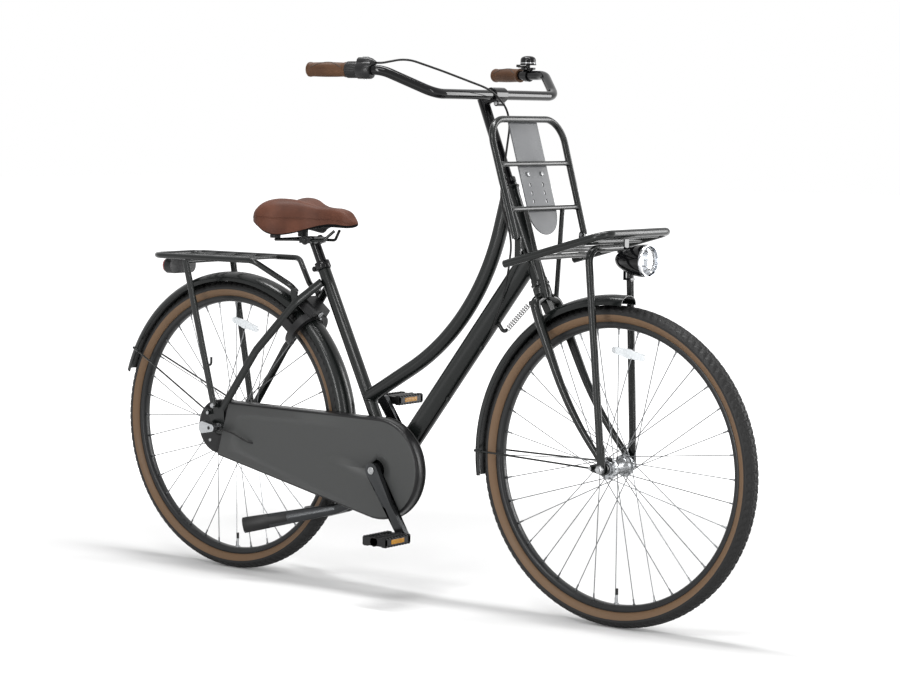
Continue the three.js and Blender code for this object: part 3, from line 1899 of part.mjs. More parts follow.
function stem() {
  const quill = rod(onHead(0, 0, quillLow), onHead(0, 0, quillTop), quillRadius, 12);
  const arm = rod(onHead(0, 0, clampAlong), barCentre, quillRadius * stemArmShare, 12);
  const clamp = rod(
    barCentre.clone().setY(-clampHalf),
    barCentre.clone().setY(clampHalf),
    clampRadius,
    16,
  );
  const boltFrom = barCentre.clone().addScaledVector(headUp, -clampRadius - stemBoltRadius);
  const bolt = rod(
    boltFrom.clone().setY(-clampHalf * stemBoltShare),
    boltFrom.clone().setY(clampHalf * stemBoltShare),
    stemBoltRadius * stemBoltHeadShare,
    8,
  );
  const bore = borer(
    barCentre.clone().setY(-clampHalf - cutOverrun),
    barCentre.clone().setY(clampHalf + cutOverrun),
    barRadius + seatGap,
  );
  return cut(join(quill, arm, clamp, bolt), bore);
}

const barEnd = (side) =>
  point(barCentre.x - barEndBack, side * barEndHalf, barCentre.z + barEndRise);
const barKnee = (side) =>
  point(barCentre.x - barKneeBack, side * barKneeHalf, barCentre.z + barKneeRise);
const barCorner = (side) => barCentre.clone().setY(side * barCornerHalf);
const barForward = (side) => barKnee(side).sub(barEnd(side)).normalize();
const onBar = (side, fromEnd) => barEnd(side).addScaledVector(barForward(side), fromEnd);

function handlebar() {
  return tube(
    [
      barEnd(sides.right),
      barKnee(sides.right),
      barCorner(sides.right),
      barCorner(sides.left),
      barKnee(sides.left),
      barEnd(sides.left),
    ],
    barRadius,
    { bend: barBendRadius, steps: 4, facets: 10 },
  );
}

function grip(side) {
  const body = rod(onBar(side, -gripCap), onBar(side, gripLength), gripRadius, 14);
  const bore = borer(onBar(side, -seatGap), onBar(side, gripLength + cutOverrun), barRadius + seatGap);
  return cut(body, bore);
}

const twistFrom = gripLength + runningGap;
const shifterFrom = twistFrom + twistLength + runningGap;
const cableOutlet = onBar(sides.right, shifterFrom + shifterLength + shifterNose)
  .addScaledVector(upward, shifterHumpRise);

function twistGrip() {
  return sleeve(
    barEnd(sides.right),
    barForward(sides.right),
    twistRadius,
    barRadius + runningGap,
    twistFrom,
    twistFrom + twistLength,
    14,
  );
}

function shifterHousing() {
  const ring = sleeve(
    barEnd(sides.right),
    barForward(sides.right),
    shifterRadius,
    barRadius + seatGap,
    shifterFrom,
    shifterFrom + shifterLength,
  );
  const start = onBar(sides.right, shifterFrom).addScaledVector(upward, shifterHumpRise);
  const hump = rod(start, cableOutlet, shifterHumpRadius, 12);
  const bore = borer(
    onBar(sides.right, shifterFrom - cutOverrun),
    onBar(sides.right, shifterFrom + shifterLength + shifterNose + cutOverrun),
    barRadius + seatGap,
  );
  return cut(join(ring, hump), bore);
}

const bellCentre = () => onBar(sides.left, bellFromEnd);
const bellBase = () => bellCentre().addScaledVector(upward, bellLeverRise);

function bell() {
  const clamp = sleeve(
    bellCentre(),
    barForward(sides.left),
    bellClampRadius,
    barRadius + seatGap,
    -bellClampLength / 2,
    bellClampLength / 2,
    12,
  );
  const rise = bellClampRadius - bellSink;
  const profile = [
    [0, rise],
    [bellStemRadius, rise],
    [bellStemRadius, rise + bellBaseHeight],
    [bellRadius, rise + bellBaseHeight],
    ...bellDomeShares.map(([out, up]) => [
      bellRadius * out,
      rise + bellBaseHeight + bellHeight * up,
    ]),
    [0, rise + bellBaseHeight + bellHeight],
  ];
  const bore = borer(
    onBar(sides.left, bellFromEnd - bellClampLength),
    onBar(sides.left, bellFromEnd + bellClampLength),
    barRadius + seatGap,
  );
  return cut(join(clamp, turned(profile, 10, bellCentre(), upward)), bore);
}

function bellLever() {
  const pivot = bellBase().addScaledVector(barForward(sides.left), -bellStemRadius - seatGap);
  const end = pivot.clone().addScaledVector(barForward(sides.left), -bellLeverLength);
  const arm = rod(pivot, end, bellLeverThickness, 8);
  const pad = rod(
    end.clone().addScaledVector(upward, -bellLeverThickness / 2),
    end.clone().addScaledVector(upward, bellLeverHalf),
    bellLeverHalf,
    8,
  );
  return join(arm, pad);
}

// Front carrier
const loopBottom = (side) => point(loopBottomX, side * loopBottomHalf, loopBottomZ);
const loopTop = (side) => point(loopTopX, side * loopTopHalf, loopTopZ);
const onLoop = (side, share) => loopBottom(side).lerp(loopTop(side), share);
const loopUp = point(loopTopX - loopBottomX, 0, loopTopZ - loopBottomZ).normalize();
const loopAhead = leftward.clone().cross(loopUp);

function carrierBack() {
  const loop = tube(
    [loopBottom(sides.right), loopTop(sides.right), loopTop(sides.left), loopBottom(sides.left)],
    loopRadius,
    { bend: loopCornerRadius, steps: 4, facets: 8 },
  );
  const bar = (share) =>
    rod(onLoop(sides.right, share), onLoop(sides.left, share), loopBarRadius, 6);
  const strut = (side) =>
    rod(
      onLoop(side, lowerBarShare).setY(side * rodTopHalf),
      onHead(forkTopRadius + seatGap + rodRadius, side * rodHalf, rodLowAlong),
      rodRadius,
      6,
    );
  const link = (side) => {
    const railTop = trayPoint((loopBottomX - trayRearX) / (trayFrontX - trayRearX), 0);
    const railSide = trayRadius * Math.cos(Math.PI / 8);
    const inner = side * (trayHalf - railSide - seatGap - linkThickness);
    const plate = slab(
      beltShape(loopBottom(side), loopRadius, railTop, loopRadius),
      inner,
      inner + side * linkThickness,
      6,
    );
    return join(plate, rod(loopBottom(side).setY(inner), loopBottom(side), loopRadius * linkPinShare, 8));
  };
  const both = Object.values(sides).flatMap((side) => [strut(side), link(side)]);
  const whole = join(loop, bar(upperBarShare), bar(lowerBarShare), both);
  return cut(whole, forkBlade(sides.right, seatGap), forkBlade(sides.left, seatGap));
}

function trayPoint(share, y) {
  return point(
    THREE.MathUtils.lerp(trayRearX, trayFrontX, share),
    y,
    THREE.MathUtils.lerp(trayRearZ, trayFrontZ, share),
  );
}

function carrierTray() {
  const loop = tube(
    [
      trayPoint(0, -trayHalf),
      trayPoint(1, -trayHalf),
      trayPoint(1, trayHalf),
      trayPoint(0, trayHalf),
    ],
    trayRadius,
    { bend: trayCornerRadius, steps: 3, facets: 8 },
  );
  const bars = trayBarShares.map((share) =>
    rod(trayPoint(share, -trayHalf), trayPoint(share, trayHalf), trayBarRadius, 6),
  );
  return join(loop, bars);
}

function carrierPlate() {
  const side = plateHalf;
  const shape = new THREE.Shape();
  shape.moveTo(-side, plateLength);
  shape.lineTo(-side, side);
  shape.absarc(0, side, side, Math.PI, 2 * Math.PI, false);
  shape.lineTo(side, plateLength);
  const geometry = new THREE.ExtrudeGeometry(shape, {
    depth: plateThickness,
    bevelEnabled: false,
    curveSegments: 8,
  });
  const top = loopTop(1).setY(0).addScaledVector(loopUp, -plateTopGap - plateLength);
  const start = top.addScaledVector(loopAhead, -loopBarRadius - seatGap - plateThickness);
  const place = new THREE.Matrix4().makeBasis(leftward, loopUp, loopAhead).setPosition(start);
  const slots = Array.from({ length: plateSlotRows }, (_, row) =>
    Object.values(sides).map((way) => {
      const slot = new THREE.BoxGeometry(plateSlotWidth, plateSlotHeight, 3 * plateThickness);
      slot.translate(way * plateSlotHalf, plateSlotRise + row * plateSlotPitch, 0);
      return solid(slot);
    }),
  );
  const body = cut(solid(geometry), slots.flat()).transform(place.toArray());
  const boltAt = (way) => {
    const foot = onLoop(1, upperBarShare).setY(way * plateBoltHalf);
    const from = foot.addScaledVector(loopAhead, -loopBarRadius - seatGap - plateThickness / 2);
    from.addScaledVector(loopUp, -plateBoltDrop);
    return rod(from, from.clone().addScaledVector(loopAhead, plateBoltHeight), plateBoltRadius, 8);
  };
  return join(body, boltAt(1), boltAt(-1));
}

function carrierLegs() {
  const share = trayBarShares[2];
  const bar = trayPoint(share, 0);
  const top = bar.z - trayBarRadius - legRadius - seatGap;
  const outer = legPlateInner + legPlateThickness;
  const ends = Object.values(sides).map((side) => {
    const inner = side * legPlateInner;
    const rise = point(frontHub.x, 0, frontHub.z + legPlateRise);
    const plate = slab(
      beltShape(frontHub, legPlateHalf + seatGap, rise, legPlateHalf),
      inner,
      side * outer,
      6,
    );
    return cut(plate, holer(frontHub, axleRadius + seatGap, inner, side * outer));
  });
  const loop = tube(
    [
      point(frontHub.x, -legBottomHalf, frontHub.z + legStart),
      point(bar.x, -legTopHalf, top),
      point(bar.x, legTopHalf, top),
      point(frontHub.x, legBottomHalf, frontHub.z + legStart),
    ],
    legRadius,
    { bend: legCornerRadius, steps: 3, facets: 8 },
  );
  return join(loop, ends);
}

// Headlight
const lampCentre = point(lampX, 0, lampZ);

function lampShell() {
  const back = -lampLength;
  const wall = lampRadius - lampWall;
  const profile = [
    [0, back],
    ...lampOuterShares.map(([out, ahead]) => [lampRadius * out, back + lampLength * ahead]),
    [lampRadius, -lampRimDepth],
    [lampRadius, 0],
    [wall, 0],
    [wall, -lampRimDepth],
    ...lampInnerShares.map(([out, ahead]) => [lampRadius * out, back + lampLength * ahead]),
  ];
  const shell = turned(profile, lampFacets, lampCentre, forward);
  const footTop = point(lampFootX, 0, lampZ - lampRadius * lampFootShare);
  const foot = rod(footTop, point(lampFootX, 0, lampStrapZ), lampFootRadius, 8);
  const bar = trayPoint(trayBarShares[3], 0);
  const strapTop = bar.z - trayBarRadius - seatGap;
  const strap = join(
    block(
      bar.x - lampStrapHalfThickness,
      bar.x + lampStrapHalfThickness,
      -lampStrapHalf,
      lampStrapHalf,
      lampStrapZ,
      strapTop,
    ),
    block(
      bar.x - lampStrapHalfThickness,
      lampFootX + lampFootRadius,
      -lampStrapHalf,
      lampStrapHalf,
      lampStrapZ - 2 * lampStrapHalfThickness,
      lampStrapZ + lampStrapHalfThickness,
    ),
  );
  const bore = turned(
    [
      [0, -lampRimDepth],
      [wall, -lampRimDepth],
      [wall, cutOverrun],
      [0, cutOverrun],
    ],
    lampFacets,
    lampCentre,
    forward,
  );
  return cut(join(shell, foot, strap), bore);
}

function lampLens() {
  const radius = (lampRadius - lampWall) * Math.cos(Math.PI / lampFacets) - seatGap;
  const profile = [
    [0, -lampRimDepth + seatGap],
    [radius, -lampRimDepth + seatGap],
    ...lensDomeShares.map(([out, deep]) => [radius * out, -lampRimDepth * deep]),
    [0, 0],
  ];
  return turned(profile, lampFacets, lampCentre, forward);
}

// Wound steering spring: one unbroken wire between two straight ends.
function steeringSpring() {
  const start = springAnchor.clone().addScaledVector(springWay, seatGap);
  const end = springLug.clone().addScaledVector(springWay, -seatGap);
  return spiral(start, end);
}

function spiral(start, end) {
  const stepsPerTurn = 8;
  const wireSides = 5;
  const across = perpendicularTo(springWay);
  const beside = springWay.clone().cross(across);
  const length = start.distanceTo(end);
  const lead = 2 * springWireRadius * springLeadShare;
  const coiled = length - 2 * lead;
  const count = springTurns * stepsPerTurn;
  const centres = [start.clone(), start.clone().addScaledVector(springWay, lead / 2)];
  for (let i = 0; i <= count; i++) {
    const angle = (2 * Math.PI * i) / stepsPerTurn;
    const fromEnd = Math.min(i, count - i) + 1;
    const grown = springCoilRadius * Math.min(1, fromEnd / springGrowSteps);
    centres.push(
      start
        .clone()
        .addScaledVector(springWay, lead + (coiled * i) / count)
        .addScaledVector(across, grown * Math.cos(angle))
        .addScaledVector(beside, grown * Math.sin(angle)),
    );
  }
  centres.push(end.clone().addScaledVector(springWay, -lead / 2), end.clone());
  const gap = leastGap(centres, springWireRadius, Math.PI * springCoilRadius);
  console.log(`steering_spring: least gap to itself ${gap.toFixed(2)} mm`);
  return tube(centres, springWireRadius, { facets: wireSides });
}

// The least gap of a wire to itself, between points on its middle line that lie apart along it.
function leastGap(centres, wireRadius, apart) {
  const pointsPerStep = 4;
  const points = centres
    .slice(1)
    .flatMap((end, i) =>
      Array.from({ length: pointsPerStep }, (_, k) =>
        centres[i].clone().lerp(end, k / pointsPerStep),
      ),
    );
  const places = [0];
  points.slice(1).forEach((spot, i) => places.push(places[i] + spot.distanceTo(points[i])));
  let least = Infinity;
  for (let i = 0; i < points.length; i++) {
    for (let j = i + 1; j < points.length; j++) {
      if (places[j] - places[i] > apart) least = Math.min(least, points[i].distanceTo(points[j]));
    }
  }
  return least - 2 * wireRadius;
}

// Shift cable
function shiftCable() {
  const stay = (x) => THREE.MathUtils.lerp(axleHeight, bottomBracketZ, x / bottomBracketX);
  const under = chainStayRadius + cableRadius + runningGap * 2;
  const boxFront = rearHub.x + shiftBoxFront + seatGap;
  return tube(
    [
      cableOutlet.clone().addScaledVector(barForward(sides.right), seatGap),
      cableOutlet.clone().addScaledVector(barForward(sides.right), cableLead),
      point(738, -262, 1236),
      point(782, -200, 1212),
      point(822, -60, 1170),
      point(816, 18, 1118),
      point(829, -40, 928),
      point(866, -42, 840),
      point(853, -38, 770),
      point(835, -32, 710),
      onDownTube(cableClipPlaces[0] + 40),
      onDownTube(cableClipPlaces[0]),
      onDownTube(cableClipPlaces[1]),
      onDownTube(cableClipPlaces[2] - cableLead),
      point(bottomBracketX + 13, -24, bottomBracketZ - bracketShellRadius - 12),
      point(412, -33, stay(412) - under - 8),
      point(378, -33.5, stay(378) - under - 8),
      point(230, -37, stay(230) - under - 8),
      point(165, -49, stay(165) - under - 9),
      point(122, -58, caseCableHoleZ - 2),
      point(104, -74, caseCableHoleZ + 3),
      point(52, -80, axleHeight - 5),
      point(boxFront, -80, axleHeight - 2),
    ],
    cableRadius,
    { bend: cableBendRadius, steps: 1, facets: 6 },
  );
}

function shiftBox() {
  return block(
    rearHub.x - shiftBoxRear,
    rearHub.x + shiftBoxFront,
    -shiftBoxOuter,
    -shiftBoxInner,
    axleHeight - shiftBoxHalfHeight,
    axleHeight + shiftBoxHalfHeight,
  );
}

// Axles and the coaster brake arm
function wheelAxle(hub, rightInner, leftInner, rightOuter, leftOuter, coneRight, coneLeft) {
  const end = nutHeight + axleTip;
  const shaft = rod(
    hub.clone().setY(-rightOuter - end),
    hub.clone().setY(leftOuter + end),
    axleRadius,
    axleFacets,
  );
  const ringFrom = (from, to, radius, facets) =>
    rod(hub.clone().setY(from), hub.clone().setY(to), radius, facets);
  return join(
    shaft,
    ringFrom(-rightInner, -coneRight, coneRadius, axleFacets),
    ringFrom(coneLeft, leftInner, coneRadius, axleFacets),
    ringFrom(-rightOuter - nutHeight, -rightOuter, nutRadius, nutFacets),
    ringFrom(leftOuter, leftOuter + nutHeight, nutRadius, nutFacets),
  );
}

function brakeArm() {
  const end = point(brakeArmX, 0, axleHeight - brakeArmDrop);
  const arm = slab(
    beltShape(rearHub, brakeArmHubRadius, end, brakeArmHalf),
    brakeArmInner,
    brakeArmInner + brakeArmThickness,
    6,
  );
  const hole = holer(rearHub, axleRadius + seatGap, brakeArmInner, brakeArmInner);
  return cut(arm, hole, chainStaySolid(sides.left, seatGap));
}

// All pieces
const rearOuter = dropoutInner + dropoutThickness + seatGap;
const frontLegOuter = legPlateInner + legPlateThickness + seatGap;

wheel(
  "rear",
  rearHub,
  rearHubSize,
  rearHubRightEnd,
  rearHubLeftEnd,
  rearReflectorDegrees,
  rearReflectorSlant,
);
wheel(
  "front",
  frontHub,
  frontHubSize,
  frontHubHalf,
  frontHubHalf,
  frontReflectorDegrees,
  frontReflectorSlant,
);
add(
  "rear_axle",
  wheelAxle(
    rearHub,
    dropoutInner - seatGap,
    dropoutInner - seatGap,
    rearOuter,
    rearOuter,
    sprocketCarrierOuter + runningGap,
    brakeArmInner + brakeArmThickness + seatGap,
  ),
  steel,
);
add(
  "front_axle",
  wheelAxle(
    frontHub,
    forkDropoutInner - seatGap,
    forkDropoutInner - seatGap,
    frontLegOuter,
    frontLegOuter,
    frontHubHalf + runningGap,
    frontHubHalf + runningGap,
  ),
  steel,
);
add("head_tube", headTube(), satinPaint);
add("down_tube", downTube(), satinPaint);
add("top_tube", topTube(), satinPaint);
add("seat_tube", seatTube(), satinPaint);
add("bottom_bracket_shell", bracketShell(), satinPaint);
add("bottom_bracket_cartridge", bracketCartridge(), steel);
add("right_chain_stay", chainStay(sides.right), satinPaint);
add("left_chain_stay", chainStay(sides.left), satinPaint);
add("right_seat_stay", join(seatStay(sides.right), carrierLug(sides.right)), satinPaint);
add("left_seat_stay", join(seatStay(sides.left), carrierLug(sides.left)), satinPaint);
add("coaster_brake_arm", brakeArm(), steel);
add("rear_fender", rearFender(), satinPaint);
add("rear_carrier", rearCarrier(), satinPaint);
add("rear_carrier_legs", rearCarrierLegs(), satinPaint);
add("rear_light", rearLight(), darkPlastic);
add("ring_lock_case", ringLockCase(), darkPlastic);
add("lock_bolt", lockBolt(), chrome);
add("chain_case_cover", caseCover(), casePlastic);
add("chain_case_back", caseBack(), darkPlastic);
add("chain", chain(), steel);
add("rear_sprocket", rearSprocket(), steel);
add("crank_axle", crankAxle(), steel);
add("right_crank", rightCrank(), gunmetal);
add("left_crank", crankArm(sides.left).body, gunmetal);
add("right_pedal", pedal(sides.right), darkPlastic);
add("left_pedal", pedal(sides.left), darkPlastic);
add("kickstand_bracket", kickstandBracket(), satinPaint);
add("kickstand", kickstand(), satinPaint);
add("seat_clamp", seatCollar(), satinPaint);
add("seat_post", seatPostSolid(0), glossPaint);
add("saddle_rails", saddleRails(), steel);
add("saddle", join(saddle(), elastomers()), leather);
add("fork", fork(), satinPaint);
add("headset_top", headsetTop(), chrome);
add("front_fender", frontFender(), satinPaint);
add("stem", stem(), glossPaint);
add("handlebar", handlebar(), glossPaint);
add("right_grip", grip(sides.right), leather);
add("left_grip", grip(sides.left), leather);
add("shifter_twist_grip", twistGrip(), darkPlastic);
add("shifter_housing", shifterHousing(), darkPlastic);
add("bell", bell(), glossPaint);
add("bell_lever", bellLever(), darkPlastic);
add("front_carrier_back", carrierBack(), satinPaint);
add("front_carrier_platform", carrierTray(), satinPaint);
add("front_carrier_plate", carrierPlate(), platePaint);
add("front_carrier_legs", carrierLegs(), satinPaint);
add("headlight_shell", lampShell(), darkPlastic);
add("headlight_lens", lampLens(), lensClear);
add("steering_spring", steeringSpring(), steel);
add("shift_cable", shiftCable(), rubber);
add("shift_box", shiftBox(), lightGrey);

export default bike;
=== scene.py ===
# %% [markdown]
# This notebook dresses one bicycle: an upright city bike with a full chain case, a ring lock, a rear carrier
# and a large front carrier. The mechanical model is already packed as a fixed frame, so every place is known.
# Each step below takes one real piece, says how it is made, and builds its visible shape and finish.

import bmesh
import bpy
import math
from mathutils import Matrix, Quaternion, Vector


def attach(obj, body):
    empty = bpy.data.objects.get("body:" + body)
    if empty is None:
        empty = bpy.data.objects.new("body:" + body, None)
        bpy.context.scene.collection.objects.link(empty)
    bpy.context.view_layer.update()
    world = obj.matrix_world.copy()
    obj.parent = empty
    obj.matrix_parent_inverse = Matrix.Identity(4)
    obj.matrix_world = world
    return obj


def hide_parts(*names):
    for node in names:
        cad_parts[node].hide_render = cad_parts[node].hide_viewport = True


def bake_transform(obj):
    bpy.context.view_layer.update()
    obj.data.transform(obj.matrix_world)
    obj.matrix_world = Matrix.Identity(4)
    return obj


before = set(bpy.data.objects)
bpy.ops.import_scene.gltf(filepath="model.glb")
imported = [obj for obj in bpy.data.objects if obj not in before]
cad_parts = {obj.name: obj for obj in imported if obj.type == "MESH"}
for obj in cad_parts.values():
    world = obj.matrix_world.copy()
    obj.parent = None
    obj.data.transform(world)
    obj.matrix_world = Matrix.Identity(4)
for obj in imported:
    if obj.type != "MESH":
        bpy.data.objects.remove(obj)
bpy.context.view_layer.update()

# %% [markdown]
# A frame builder measures from the rear axle in millimetres: ahead, to the rider's left, and up from the ground.
# The model's origin lies under the middle of the bicycle and is in metres, so one small function turns the first
# into the second. A second one measures from the steering axis, because fork, stem and carrier follow its slant.

# %% Places on the bicycle
MIDDLE = 559.55
AXLE_HEIGHT = 353.649
WHEEL_BASE = 1124
BRACKET_AHEAD, BRACKET_UP = 499, 295
HEAD_ANGLE = math.radians(68)
FORK_RAKE = 0.049
SIDES = (-1, 1)


def at(ahead, left, up):
    return Vector((ahead - MIDDLE, left, up)) / 1000


HEAD_UP = Vector((-math.cos(HEAD_ANGLE), 0, math.sin(HEAD_ANGLE)))
HEAD_AHEAD = Vector((math.sin(HEAD_ANGLE), 0, math.cos(HEAD_ANGLE)))
LEFT = Vector((0, 1, 0))
UP = Vector((0, 0, 1))
AHEAD = Vector((1, 0, 0))
REAR_HUB = at(0, 0, AXLE_HEIGHT)
FRONT_HUB = at(WHEEL_BASE, 0, AXLE_HEIGHT)
HEAD_FOOT = FRONT_HUB - HEAD_AHEAD * FORK_RAKE
BRACKET = at(BRACKET_AHEAD, 0, BRACKET_UP)
SEAT_TOP = at(275, 0, 765)
SEAT_UP = (SEAT_TOP - BRACKET).normalized()


def on_head(ahead, left, along):
    return HEAD_FOOT + (HEAD_AHEAD * ahead + HEAD_UP * along + LEFT * left) / 1000


def round_hub(hub, radius, degrees, left=0):
    turn = math.radians(degrees)
    return hub + Vector((radius * math.cos(turn), left, radius * math.sin(turn))) / 1000


print("bottom bracket at", tuple(round(c, 3) for c in BRACKET))

# %% [markdown]
# Set the camera before anything else, so that each piece can be judged from where the buyer sees it. The lens is
# long and the camera stands low, ahead of the right side, which keeps both wheels nearly the same size.

# %% Camera
PHOTO_WIDTH, FOCAL_LENGTH = 900, 2469.8  # both in pixels


def placed(name, data):
    """A new object in the scene."""
    thing = bpy.data.objects.new(name, data)
    bpy.context.collection.objects.link(thing)
    return thing


def facing(first, second, third):
    """A turn whose three axes are the given ones."""
    return Matrix((first, second, third)).transposed().to_4x4()


turn, rise, roll = math.radians(37.654), math.radians(5.028), math.radians(0.524)
back = Vector((math.sin(turn) * math.cos(rise), -math.cos(turn) * math.cos(rise), math.sin(rise)))
right = (-back).cross(UP).normalized()
above = right.cross(-back)
across = right * math.cos(roll) + above * math.sin(roll)
upward = above * math.cos(roll) - right * math.sin(roll)
camera = placed("camera", bpy.data.cameras.new("camera"))
camera.matrix_world = Matrix.Translation(at(4098.5, -4453.6, 1103.7)) @ facing(across, upward, back)
camera.data.sensor_width = 36
camera.data.lens = camera.data.sensor_width * FOCAL_LENGTH / PHOTO_WIDTH
camera.data.clip_end = 100
bpy.context.scene.camera = camera
print("lens", round(camera.data.lens, 1), "mm")

# %% [markdown]
# A bicycle is mostly tube. A real tube is drawn through dies and bent round a former, so the same three moves
# make it here: a path with round bends, a ring of edges set square to its start, and an extrusion of that ring
# from station to station. The ring may be any outline, which also serves fender bands and flat straps.


# %% Paths, rings and extrusions
def bent(corners, bend, steps=8):
    path = [corners[0]]
    for before, corner, after in zip(corners, corners[1:], corners[2:]):
        towards, onward = (before - corner).normalized(), (after - corner).normalized()
        half = towards.angle(onward) / 2
        if half > math.radians(89.8):
            path.append(corner)
            continue
        radius = bend / 1000
        centre = corner + (towards + onward).normalized() * radius / math.sin(half)
        start = corner + towards * radius / math.tan(half) - centre
        axis = onward.cross(towards).normalized()
        for i in range(steps + 1):
            path.append(centre + Quaternion(axis, (math.pi - 2 * half) * i / steps) @ start)
    path.append(corners[-1])
    return path


def stations(path, side=None, size=None):
    lengths = [0.0]
    for a, b in zip(path, path[1:]):
        lengths.append(lengths[-1] + (b - a).length)
    places = []
    normal = side or ((path[1] - path[0]).orthogonal())
    for i, spot in enumerate(path):
        run = (path[min(i + 1, len(path) - 1)] - spot).normalized() + (spot - path[max(i - 1, 0)]).normalized()
        run.normalize()
        normal = side or normal
        normal = (normal - run * normal.dot(run)).normalized()
        wide, deep = size(lengths[i] / lengths[-1]) if size else (1, 1)
        places.append(Matrix.Translation(spot) @ facing(normal * wide, run.cross(normal) * deep, run))
    return places


def extrude_through(bm, ring, places, caps=True):
    bmesh.ops.transform(bm, matrix=places[0], verts=list({v for e in ring for v in e.verts}))
    first = ring
    for before, after in zip(places, places[1:]):
        grown = bmesh.ops.extrude_edge_only(bm, edges=ring)["geom"]
        fresh = [g for g in grown if isinstance(g, bmesh.types.BMVert)]
        kept = set(fresh)
        ring = [g for g in grown if isinstance(g, bmesh.types.BMEdge) and set(g.verts) <= kept]
        bmesh.ops.transform(bm, matrix=after @ before.inverted(), verts=fresh)
    if caps:
        bmesh.ops.contextual_create(bm, geom=first)
        bmesh.ops.contextual_create(bm, geom=ring)


def circle(bm, radius, sides):
    made = bmesh.ops.create_circle(bm, cap_ends=False, radius=radius / 1000, segments=sides)["verts"]
    return list({e for v in made for e in v.link_edges})


def outline(bm, corners):
    made = [bm.verts.new((a / 1000, b / 1000, 0)) for a, b in corners]
    return [bm.edges.new((made[i - 1], made[i])) for i in range(len(made))]


def pipe(bm, corners, radius, bend=0, steps=8, sides=24, side=None, size=None):
    path = bent(corners, bend, steps) if bend else corners
    extrude_through(bm, circle(bm, radius, sides), stations(path, side, size))


def strap(bm, corners, section, bend=0, steps=8, side=None, size=None):
    path = bent(corners, bend, steps) if bend else corners
    extrude_through(bm, outline(bm, section), stations(path, side, size))


# %% [markdown]
# The second family is turned parts: hubs, cups, nuts, the bell and the lamp. On a lathe a profile meets the tool
# while the blank turns, and Spin does the same to a row of edges. Profiles here list the radius and the place
# along the axis. The third family is plate: an outline is filled, pushed to its thickness and left with crisp
# edges that a small bevel softens later.


# %% Turning and plate
def turn_on(axis, centre):
    return Matrix.Translation(centre) @ AHEAD.rotation_difference(axis).to_matrix().to_4x4()


def lathe(bm, profile, centre, axis, steps=32):
    place = turn_on(axis, centre)
    made = [bm.verts.new((along / 1000, radius / 1000, 0)) for radius, along in profile]
    edges = [bm.edges.new(pair) for pair in zip(made, made[1:])]
    bmesh.ops.spin(
        bm, geom=made + edges, cent=(0, 0, 0), axis=AHEAD, dvec=(0, 0, 0), angle=math.tau, steps=steps, use_merge=True
    )
    faces = {f for v in made for f in v.link_faces}
    reach = set(faces)
    while faces:
        faces = {g for f in faces for e in f.edges for g in e.link_faces} - reach
        reach |= faces
    verts = list({v for f in reach for v in f.verts})
    bmesh.ops.remove_doubles(bm, verts=verts, dist=1e-6)
    verts = [v for v in verts if v.is_valid]
    bmesh.ops.transform(bm, matrix=place, verts=verts)


def bar(bm, start, end, radius, sides=20):
    axis = (end - start).normalized()
    length = (end - start).length * 1000
    lathe(bm, [(0, 0), (radius, 0), (radius, length), (0, length)], start, axis, sides)


def ring(bm, centre, axis, inner, outer, low, high, steps=32):
    lathe(bm, [(inner, low), (outer, low), (outer, high), (inner, high), (inner, low)], centre, axis, steps)


def plate(bm, corners, place, thickness):
    face = bm.faces.new([bm.verts.new((a / 1000, b / 1000, 0)) for a, b in corners])
    grown = bmesh.ops.extrude_face_region(bm, geom=[face])["geom"]
    raised = [g for g in grown if isinstance(g, bmesh.types.BMVert)]
    bmesh.ops.translate(bm, vec=(0, 0, thickness / 1000), verts=raised)
    bmesh.ops.transform(bm, matrix=place, verts=list(set(raised) | set(face.verts)))


def box(bm, low, high):
    middle, size = (low + high) / 2, high - low
    matrix = Matrix.Translation(middle) @ Matrix.Diagonal((*size, 1))
    bmesh.ops.create_cube(bm, size=1, matrix=matrix)


def arc(centre, radius, start, end, steps=10):
    turns = [math.radians(start + (end - start) * i / steps) for i in range(steps + 1)]
    return [(centre[0] + radius * math.cos(t), centre[1] + radius * math.sin(t)) for t in turns]


def arcs(*parts):
    """Arcs joined into one outline. Each part is a centre, a radius, two angles and a number of steps."""
    return [point for part in parts for point in arc(*part)]


def oval(wide, deep, count=40):
    return [(wide * math.cos(t), deep * math.sin(t)) for t in [math.tau * i / count for i in range(count)]]


def belt(a, radius_a, b, radius_b, steps=10):
    """The outline of a belt round two pulleys, which also serves for straight plates with round ends."""
    run = Vector(b) - Vector(a)
    lean = math.degrees(math.atan2(run.y, run.x))
    open_by = math.degrees(math.acos((radius_a - radius_b) / run.length))
    return arcs(
        (b, radius_b, lean - open_by, lean + open_by, steps),
        (a, radius_a, lean + open_by, lean - open_by + 360, steps),
    )


STOOD_UP = Matrix.Rotation(math.radians(90), 4, "X")


def flat_side(left):
    """A drawing board upright along the bicycle: its first axis runs ahead, its second up, its face to the right."""
    return Matrix.Translation((-MIDDLE / 1000, left / 1000, 0)) @ STOOD_UP


def on_side(point, left):
    return flat_side(left) @ Vector((point[0] / 1000, point[1] / 1000, 0))


def flat_place(spot):
    """The same board's coordinates of a place, in millimetres."""
    return (spot.x * 1000 + MIDDLE, spot.z * 1000)


def join_rings(bm, rings):
    """Walls from each ring of points to the next."""
    for one, two in zip(rings, rings[1:]):
        for i in range(len(one)):
            bm.faces.new((one[i - 1], one[i], two[i], two[i - 1]))


# %% [markdown]
# Every piece ends the same way. Its doubles are merged, its faces turned outwards, and faces that meet at a
# shallow angle are shaded smooth. A narrow bevel rounds the sharp edges, because no real edge is a perfect
# corner and the thin highlight is what the eye reads as metal. Then it rides on its body and hides its stand-in.


# %% Finishing a piece
SECOND, THIRD, FOURTH = 1, 2, 3


def object_from(name, bm):
    mesh = bpy.data.meshes.new(name)
    bm.to_mesh(mesh)
    bm.free()
    return placed(name, mesh)


